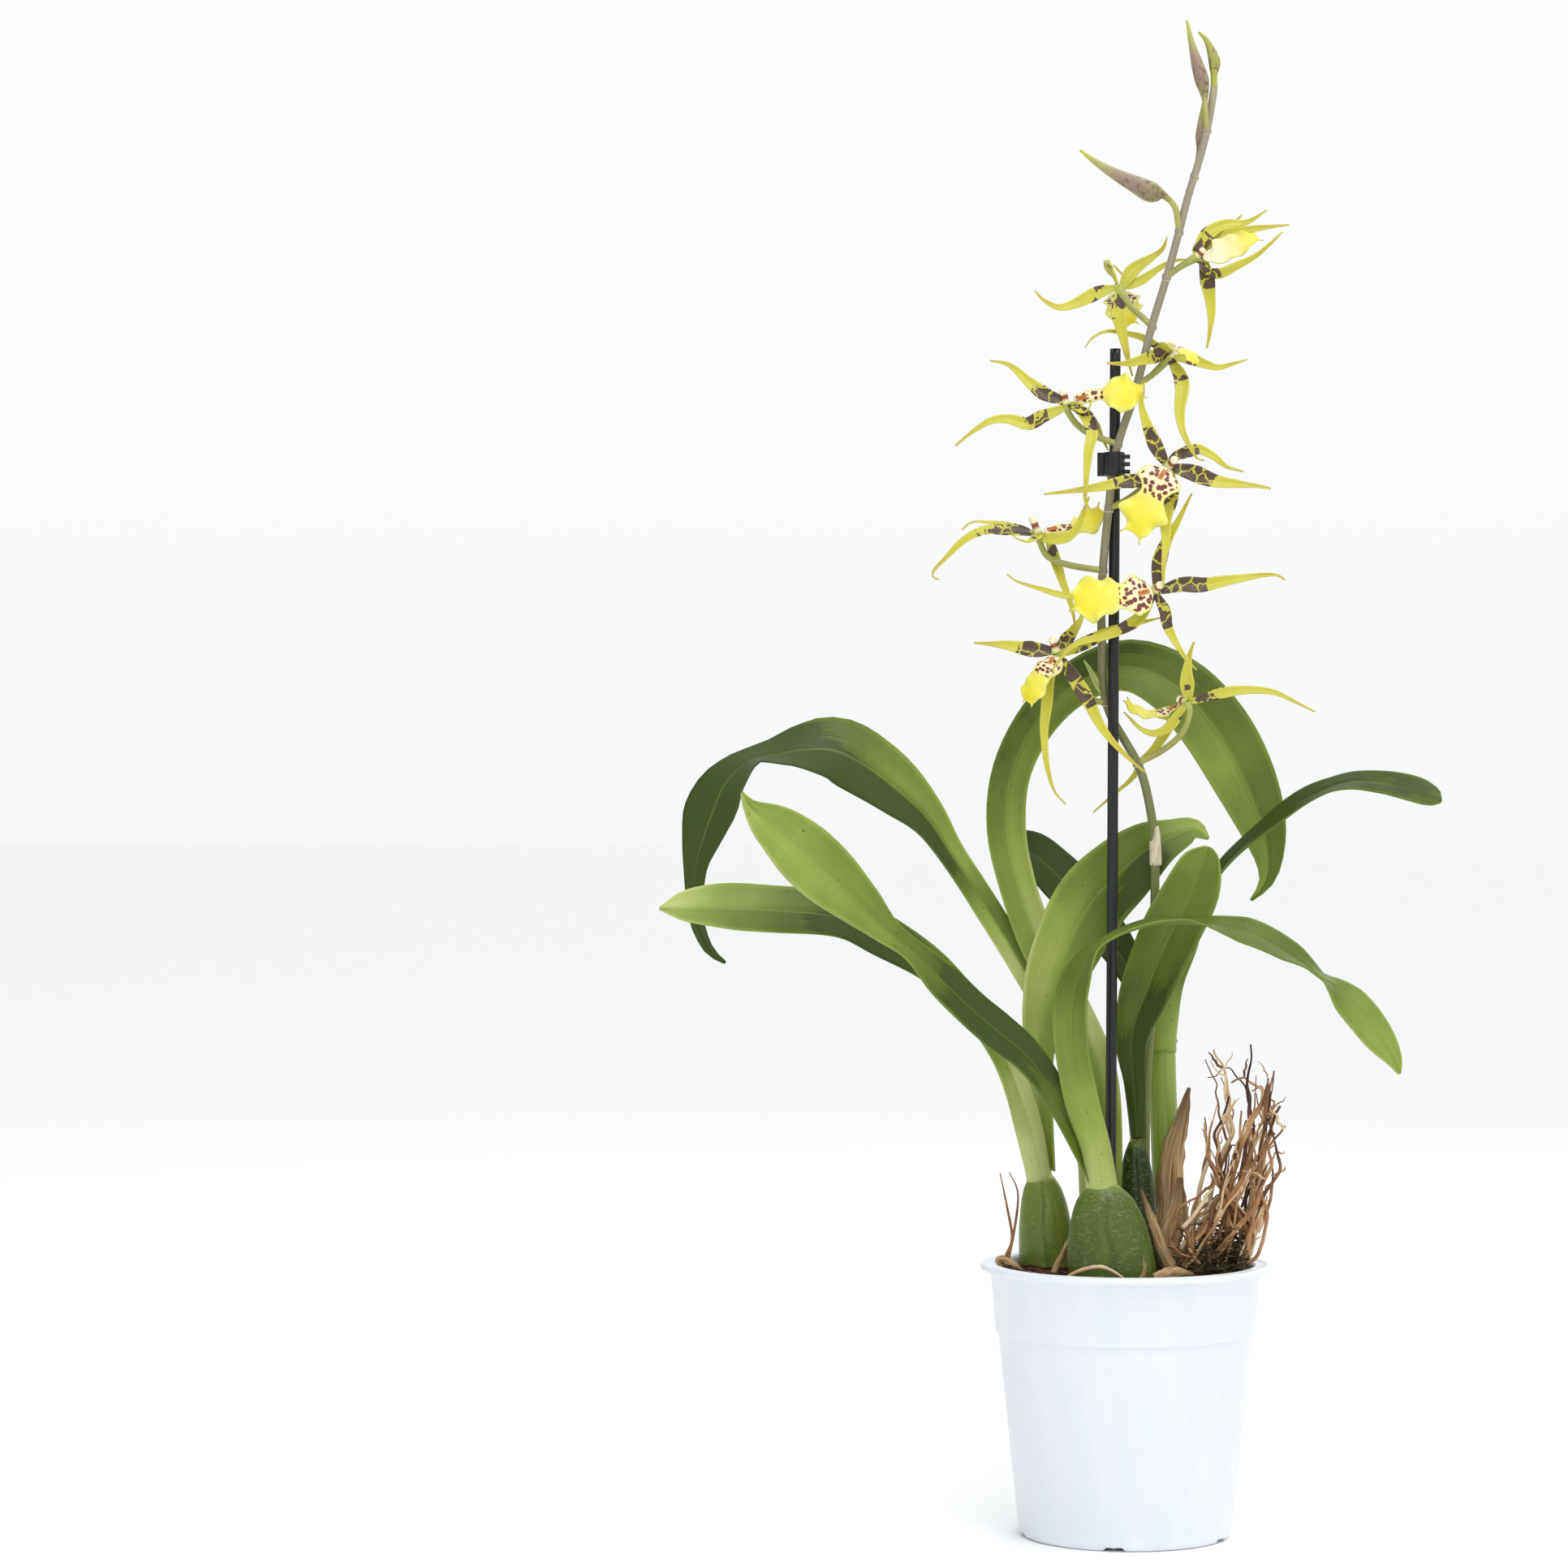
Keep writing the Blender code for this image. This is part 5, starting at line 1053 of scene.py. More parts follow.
def kinked(places, steps, amount):
    """The places with steps more between each two, every one of them knocked a little out of line."""
    bent = []
    for low, high in zip(places, places[1:]):
        bent += [low.lerp(high, step / steps) + jitter(amount) for step in range(steps)]
    return bent + [places[-1]]


def root_width(phase):
    """Roots are knobbly: thicker and thinner by turns, and tapered at the free end."""

    def width(share, angle):
        knobs = 1.0 + 0.16 * noise.noise(Vector((share * 18.0, phase * 3.1, math.cos(angle) * 0.6)))
        return knobs * (1.0 - 0.55 * max(0.0, share - 0.6) / 0.4)
    return width


# Dry aerial root: a corky, papery coat, straw to chestnut by stretches, wrinkled lengthwise, almost black at
# some dead tips, with a dull sheen.
root_coat, tree = new_material("dry_root_coat", 0.6)
texture_place = add_node(tree, "TexCoord")
stretches = add_node(
    tree, "TexNoise", {"Scale": 65.0, "Detail": 4.0, "Roughness": 0.65},
    {"Vector": texture_place.outputs["Object"]}
)
lengthwise = add_node(tree, "Mapping", {"Scale": (9.0, 7.0, 1.0)}, {"Vector": texture_place.outputs["UV"]})
wrinkles = add_node(tree, "TexNoise", {"Scale": 1.0, "Detail": 3.0}, {"Vector": lengthwise})
shade = add_node(tree, "Attribute", {"attribute_name": "tone"})
tone_sum = add_node(
    tree, "Math", {"operation": "MULTIPLY_ADD", 1: 0.8}, {0: stretches, 2: shade.outputs["Fac"]}
)
tint = add_node(
    tree, "ValToRGB",
    {"ramp": [(0.22, "E0CAA2"), (0.38, "C9A478"), (0.58, "A2754A"), (0.82, "654027"), (1.02, "352018")]},
    {"Fac": tone_sum},
)
relief = add_node(tree, "Bump", {"Strength": 0.6, "Distance": 0.0004}, {"Height": wrinkles})
cover(tree, tint, relief)

random.seed(7)
shock_mesh = unwrapped_mesh()
shock_tone = shock_mesh.verts.layers.float.new("tone")


def add_root(places, radius, sides, phase):
    """Adds one root of the shock: straw to chestnut, and sometimes dead black at its tip."""
    knots = []
    for step, place in enumerate(places):
        slim = radius * (1.0 - 0.35 * step / len(places))
        reach = ROOT_REACH_IN_POT if place.z < POT_HEIGHT + 3.0 else ROOT_REACH
        knots.append((min(place.x, reach), place.y, max(place.z, SOIL_HEIGHT - 1.0), slim))
    darkness = random.uniform(-0.28, 0.46)
    tip = random.choice([0.0, 0.2, 0.5])
    wrap_rod(
        shock_mesh, knots, 3 * len(knots), sides, width=root_width(phase),
        tone=(shock_tone, lambda share: darkness + tip * max(0.0, share - 0.7) / 0.3),
    )


for number, root in enumerate(ROOTS_RIGHT):
    for companion in range(ROOT_COMPANIONS + 1):
        drift = Vector((0.0, 0.0, 0.0))
        places = []
        first = 0 if companion < 3 else random.randint(0, len(root) - 3)
        last = len(root) if companion == 0 else random.randint(max(first + 3, len(root) - 2), len(root))
        for knot in root[first:last]:
            if companion:
                drift += jitter(2.8)
            places.append(Vector(knot) + drift)
        places = kinked(places, 3, 0.7)
        radius = ROOT_RADIUS * (1.15 if companion == 0 else random.uniform(0.6, 1.0))
        add_root(places, radius, 8, number * 7 + companion)
        for twig in range(TWIGS):
            start = random.choice(places[2:])
            heading = Vector(
                (random.uniform(-1.0, 0.8), random.uniform(-1.0, 1.0), random.uniform(-0.3, 1.3))
            ).normalized()
            reach = random.uniform(5.0, 14.0)
            side_root = [start + heading * reach * step / 3 + jitter(0.3 * step) for step in range(4)]
            add_root(kinked(side_root, 2, 0.5), radius * random.uniform(0.4, 0.65), 6, number + twig)
bmesh.ops.recalc_face_normals(shock_mesh, faces=shock_mesh.faces)
shock = to_piece("shock_of_roots", shock_mesh, root_coat)
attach(shock, "root")
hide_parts("roots_right")

# The tangle under the shock: fine dead rootlets and strands of moss wound over one another.
moss_mesh = unwrapped_mesh()
for _ in range(MOSS_COUNT):
    heading = random.uniform(0.0, 2 * math.pi)
    turn = random.uniform(-0.9, 0.9)
    spread = MOSS_RADIUS * math.sqrt(random.random())
    start = random.uniform(0.0, 2 * math.pi)
    x, y = MOSS_CENTRE[0] + spread * math.cos(start), MOSS_CENTRE[1] + spread * math.sin(start)
    dome = MOSS_HEIGHT * (1.0 - (spread / (MOSS_RADIUS + 0.5)) ** 2)
    z = soil_level(x, y) + random.uniform(0.0, dome + 1.0)
    knots = []
    for _ in range(MOSS_KNOTS):
        reach = min(1.0, (SOIL_RADIUS - 1.0) / math.hypot(x, y))
        knots.append((x * reach, y * reach, max(z, SOIL_HEIGHT - 0.5), random.uniform(0.16, 0.34)))
        heading += turn
        x, y = x + MOSS_STEP * math.cos(heading), y + MOSS_STEP * math.sin(heading)
        z += random.uniform(-1.6, 1.4)
    wrap_rod(moss_mesh, knots, 9, 4)

# Dead moss and rootlets: wiry and dull, olive where some of it still lives and brown where it doesn't.
moss_strand = dull_strands(
    "dead_moss", 0.9, 110.0, [(0.32, "20160D"), (0.48, "3B2C1A"), (0.6, "5C5533"), (0.74, "94865C")]
)
moss = to_piece("moss_tangle", moss_mesh, moss_strand)
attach(moss, "root")

for root_name, routes in {"roots_left": ROOTS_LEFT, "root_front": [ROOT_FRONT]}.items():
    root_mesh = unwrapped_mesh()
    tone_layer = root_mesh.verts.layers.float.new("tone")
    base_tone = 0.25 if root_name == "roots_left" else -0.15
    for number, route in enumerate(routes):
        wrap_rod(
            root_mesh, route, 40, 8, width=root_width(number + 3), tone=(tone_layer, lambda share: base_tone),
        )
    bmesh.ops.recalc_face_normals(root_mesh, faces=root_mesh.faces)
    piece = to_piece(root_name.replace("root", "aerial_root"), root_mesh, root_coat)
    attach(piece, "root")
    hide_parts(root_name)

# ---------------------------------------------------------------------------------------------
# Stake and clip
# A straight stake of steel in a black plastic skin holds the flower stem up, and a moulded black clip with a
# comb of teeth, closed round both, ties them together. The stake is pushed into the bark.
# ---------------------------------------------------------------------------------------------

STAKE_TOP = (-4.0, -1.0, 479.6)
STAKE_FOOT = (-6.4, 7.0, 60.0)
STAKE_RADIUS = 2.25
CLIP_SPAN = (438.5, 448.3)
CLIP_CENTRE = (-4.4, -2.6)
CLIP_BORE = (3.4, 5.3)
CLIP_WALL = 1.1
CLIP_TEETH = 3
CLIP_TOOTH_PITCH = 3.1
CLIP_TOOTH_HEIGHT = 1.7
CLIP_TOOTH_DEPTHS = (-6.0, -3.6)  # the front and the back of the teeth
CLIP_TEETH_REACH = 6.6  # right of the clip's middle
CLIP_TONGUE_REACH = 7.0  # left of the clip's middle
CLIP_TONGUE_HALF_WIDTH = 0.8
CLIP_BLOCK_START = 0.3  # outside the bore, so that the tongue and the teeth start within the wall
CLIP_SPIN_STEPS = 56
CLIP_ROUNDING = 0.25

# Black plastic, on the stake and in the clip: near black, faintly grained, with a soft shine.
black_plastic, tree = new_material("black_polypropylene", 0.34, {"Base Color": "111113"})
place = add_node(tree, "TexCoord").outputs["Object"]
grain = add_node(tree, "TexNoise", {"Scale": 900.0, "Detail": 2.0}, {"Vector": place})
relief = add_node(tree, "Bump", {"Strength": 0.12, "Distance": 0.0002}, {"Height": grain})
cover(tree, relief=relief)

stake_mesh = unwrapped_mesh()
stake_top, stake_foot = Vector(STAKE_TOP), Vector(STAKE_FOOT)
stake_route = [
    (*stake_foot.lerp(stake_top, share), STAKE_RADIUS * width)
    for share, width in [(0.0, 1.0), (0.5, 1.0), (0.99, 1.0), (0.9975, 0.92), (1.0, 0.7)]
]
wrap_rod(stake_mesh, stake_route, 160, 28)
bmesh.ops.recalc_face_normals(stake_mesh, faces=stake_mesh.faces)
stake_piece = to_piece("plastic_coated_stake", stake_mesh, black_plastic)
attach(stake_piece, "root")
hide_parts("stake")

clip_mesh = bmesh.new()
low, high = CLIP_SPAN
ring = [
    clip_mesh.verts.new(point)
    for point in ((1.0, 0.0, low), (1.0, 0.0, high), (2.0, 0.0, high), (2.0, 0.0, low))
]
ring_edges = [clip_mesh.edges.new(pair) for pair in zip(ring, ring[1:] + ring[:1])]
spin_round(clip_mesh, ring, ring_edges, CLIP_SPIN_STEPS)
for vert in clip_mesh.verts:
    wall = (vert.co.xy.length - 1.0) * CLIP_WALL
    turned = vert.co.xy.normalized()
    vert.co.x = CLIP_CENTRE[0] + turned.x * (CLIP_BORE[0] + wall)
    vert.co.y = CLIP_CENTRE[1] + turned.y * (CLIP_BORE[1] + wall)
x, y = CLIP_CENTRE
tongue_end = (x - CLIP_TONGUE_REACH, y - CLIP_TONGUE_HALF_WIDTH, low)
blocks = [(tongue_end, (x - CLIP_BORE[0] - CLIP_BLOCK_START, y + CLIP_TONGUE_HALF_WIDTH, high))]
for index in range(CLIP_TEETH):
    tooth = low + 0.8 + index * CLIP_TOOTH_PITCH
    tooth_foot = (x + CLIP_BORE[0] + CLIP_BLOCK_START, CLIP_TOOTH_DEPTHS[0], tooth)
    blocks.append((tooth_foot, (x + CLIP_TEETH_REACH, CLIP_TOOTH_DEPTHS[1], tooth + CLIP_TOOTH_HEIGHT)))
for corner, opposite in blocks:
    size = Vector(opposite) - Vector(corner)
    middle = (Vector(opposite) + Vector(corner)) / 2
    bmesh.ops.create_cube(
        clip_mesh, size=1.0, matrix=Matrix.Translation(middle) @ Matrix.Diagonal((*size, 1.0)),
    )
bmesh.ops.recalc_face_normals(clip_mesh, faces=clip_mesh.faces)
sharp = [edge for edge in clip_mesh.edges if edge.calc_face_angle(0.0) > 0.8]
bmesh.ops.bevel(
    clip_mesh, geom=sharp, offset=CLIP_ROUNDING, segments=3, profile=0.5, affect="EDGES", material=-1,
)
clip_piece = to_piece("toothed_plant_clip", clip_mesh, black_plastic)
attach(clip_piece, "root")
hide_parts("clip")

# ---------------------------------------------------------------------------------------------
# Flower stem
# One wiry stem rises from beside the young stalk, winds past the stake and bears the flowers on both sides.
# Each joint has a slightly swollen ring over a thin dry collar. Low down a papery scale clasps the stem, and
# further up a small green bract stands out to its left.
# ---------------------------------------------------------------------------------------------

STEM = [
    (8.5, 31.5, 99), (8.5, 31.5, 142), (8.5, 30, 163), (9, 27, 184), (11, 21, 215), (12, 15, 242),
    (12.5, 10, 269), (12, 7, 290), (9, 6, 308), (5.5, 6.3, 319), (0, 6.8, 329), (-5, 6.4, 337.5),
    (-8, 5.2, 346), (-9.3, 2.8, 357), (-9.5, 0, 370), (-9.8, -1, 387), (-8.5, -3, 407), (-6.5, -4.8, 427),
    (-4.7, -5, 444), (-1, -4.5, 457.5), (3, -3, 469), (7.5, -1, 486), (11.5, 0, 502), (17, 0, 520),
    (22, 0, 538.5), (26, 0, 554), (30, 0, 567), (33.5, 0, 580), (36, 0, 593.5), (36.8, 0, 599.5),
]
STEM_RADIUS_LOW = 2.2
STEM_RADIUS_HIGH = 1.55
RING_HEIGHT = 0.3
RING_REACH = 1.5  # above and below its joint
COLLAR_DROPS = (1.7, 1.3)  # how far below its joint a collar starts and ends
SCALE_THICKNESS = 0.3
BRACT_THICKNESS = 0.5
BRACT_TONE = -0.05
BRACT_SCALE = [
    (12.8, 6.9, 277.0, 2.4), (12.7, 6.1, 282.0, 2.4), (12.6, 5.4, 287.0, 2.2), (13.0, 5.0, 291.0, 1.4),
    (13.5, 4.8, 293.5, 0.4),
]
BRACT = [
    (-8.6, 4.2, 348.5, 1.2), (-11.4, 3.4, 352.5, 1.5), (-14.5, 2.8, 358.5, 0.9), (-17.0, 2.4, 362.5, 0.3),
]
# Where the pedicels leave the stem's axis, from the top bloom down, then the buds'.
STEM_JOINTS = [
    (17.2, 0, 521), (11.3, 0, 500.5), (4.9, -2.2, 476), (-2.9, -4.7, 451.6), (-6.6, -4.7, 425),
    (-9.1, -2, 399.5), (-9.8, -0.8, 385), (-7.7, 5.3, 345), (5.3, 6.3, 319.6), (33.9, 0, 581.5),
    (28.7, 0, 562.5), (22.4, 0, 539.8),
]


def stem_radius(height):
    """The stem tapers from its foot to its tip."""
    share = max(0.0, (height - STEM[0][2]) / (STEM[-1][2] - STEM[0][2]))
    return STEM_RADIUS_LOW + (STEM_RADIUS_HIGH - STEM_RADIUS_LOW) * share**0.7


# Flower stem skin: smooth and waxy, olive green low down and purplish brown higher up, faintly mottled.
stem_skin, tree = new_material("flower_stem_skin", 0.45)
texture_place = add_node(tree, "TexCoord")
height_of = add_node(tree, "SeparateXYZ", {}, {"Vector": texture_place.outputs["Object"]})
drawn_out = add_node(tree, "Mapping", {"Scale": (1.0, 1.0, 0.2)}, {"Vector": texture_place.outputs["Object"]})
dapple = add_node(tree, "TexNoise", {"Scale": 420.0, "Detail": 3.0}, {"Vector": drawn_out})
level = add_node(tree, "Math", {"operation": "MULTIPLY_ADD", 1: 0.22}, {0: dapple, 2: height_of.outputs["Z"]})
tint = add_node(
    tree, "ValToRGB",
    {
        "ramp": [
            (0.2, "7E8B4C"), (0.38, "6C723C"), (0.47, "757350"), (0.58, "8E866F"), (0.68, "9A8D7C"),
            (0.8, "ACA37A"),
        ],
    },
    {"Fac": level},
)
relief = add_node(tree, "Bump", {"Strength": 0.25, "Distance": 0.0003}, {"Height": dapple})
cover(tree, tint, relief)

# Papery bract: thin and dry, cream white with darker lengthwise threads.
bract_paper, tree = new_material("papery_bract", 0.75)
place = add_node(tree, "TexCoord").outputs["UV"]
threads_place = add_node(tree, "Mapping", {"Scale": (2.0, 12.0, 1.0)}, {"Vector": place})
threads = add_node(tree, "TexNoise", {"Scale": 1.0, "Detail": 3.0}, {"Vector": threads_place})
tint = add_node(
    tree, "ValToRGB", {"ramp": [(0.3, "A8977A"), (0.5, "CFC4A8"), (0.7, "E6DFCB")]}, {"Fac": threads}
)
cover(tree, tint)

stem_mesh = unwrapped_mesh()
wrap_rod(stem_mesh, [(*knot, stem_radius(knot[2])) for knot in STEM], 260, 18)
for joint in STEM_JOINTS:
    here = Vector(joint)
    rise = Vector((0.0, 0.0, RING_REACH))
    radius = stem_radius(joint[2])
    foot, swell, top = here - rise, here - rise * 0.3, here + rise
    knots = [(*foot, radius), (*swell, radius + RING_HEIGHT), (*top, radius + 0.1)]
    wrap_rod(stem_mesh, knots, 12, 18)
bmesh.ops.recalc_face_normals(stem_mesh, faces=stem_mesh.faces)
stem_piece = to_piece("winding_flower_stem", stem_mesh, stem_skin)
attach(stem_piece, "root")
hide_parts("flower_stem")

band_mesh = unwrapped_mesh()
for joint in STEM_JOINTS:
    # A dry collar under each joint's ring.
    here = Vector(joint)
    radius = stem_radius(joint[2]) + RING_HEIGHT
    foot, top = [here - Vector((0, 0, drop)) for drop in COLLAR_DROPS]
    wrap_rod(band_mesh, [(*foot, radius - 0.3), (*top, radius)], 4, 14)
bmesh.ops.recalc_face_normals(band_mesh, faces=band_mesh.faces)
band = to_piece("papery_bracts", band_mesh, bract_paper)
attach(band, "root")

scale_mesh = unwrapped_mesh()
upright = [(0.0, (0.0, -1.0, 0.1)), (1.0, (0.0, -1.0, 0.1))]
lay_blade(scale_mesh, BRACT_SCALE, upright, 24, 12, leaf_form(2.0, clasp=0.9, clasp_reach=9.0))
bract_scale = to_piece("papery_stem_scale", scale_mesh, bract_paper)
thicken(bract_scale, "Scale thickness", SCALE_THICKNESS)
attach(bract_scale, "root")

bract_mesh = unwrapped_mesh()
tone_layer = bract_mesh.verts.layers.float.new("tone")
bract_looks = [(0.0, (0.0, -1.0, 0.2)), (1.0, (0.0, -1.0, 0.2))]
for vert, _, _ in lay_blade(bract_mesh, BRACT, bract_looks, 16, 8, leaf_form(0.4)):
    vert[tone_layer] = BRACT_TONE
bract = to_piece("green_bract", bract_mesh, leaf_upper, leaf_under)
thicken(bract, "Blade thickness", BRACT_THICKNESS, lined=True)
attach(bract, "root")

# ---------------------------------------------------------------------------------------------
# Blooms
# Nine spider flowers: three sepals and two petals, long and thin as tails, round a short waxy column and a
# ruffled lip with two orange ridges at its root. Each stands on its own stalk at a joint of the flower stem.
# ---------------------------------------------------------------------------------------------

TEPAL_STATIONS = 32
TEPAL_ACROSS = 8
TEPAL_THICKNESS = 0.6
TEPAL_KEEL = 0.32
LIP_STATIONS = 40
LIP_ACROSS = 18
LIP_THICKNESS = 0.6
LIP_KEEL = -0.15
LIP_FLAT_LENGTH = 32.0  # how long every lip is where its spots are laid out flat
LIP_SPOTTED = (0.05, 0.44)  # the shares of its length between which a lip is spotted
LIP_SPOTTED_ACROSS = 0.8
LIP_PLAIN = (0.26, 0.14)  # how far along and across it stays plain round the ridges
PEDICEL_RADIUS = 1.35
# How thickly each bloom's five tepals are blotched, from 0, plain, to 1.3, nearly covered at the root.
TEPAL_MARKS = [
    (0.5, 0.3, 0.2, 0.9, 0.5), (0.8, 0.3, 0.6, 0.4, 0.2), (0.9, 0.5, 0.3, 0.5, 0.6),
    (1.2, 0.8, 0.5, 0.7, 0.4), (1.3, 1.2, 1.3, 1.2, 1.1), (1.0, 1.1, 0.5, 0.5, 0.3),
    (1.0, 1.3, 0.9, 0.2, 0.7), (1.3, 1.0, 0.8, 0.8, 0.2), (0.2, 0.5, 0.3, 0.3, 0.3),
]


def tepal(*knots, half=3.0, face=(0.0, -1.0, 0.3), tip_face=None):
    """One sepal or petal: knots as offsets from the heart, its greatest half width and the way it looks."""
    return {"knots": knots, "half": half, "looks": [(0.0, face), (1.0, tip_face or face)]}


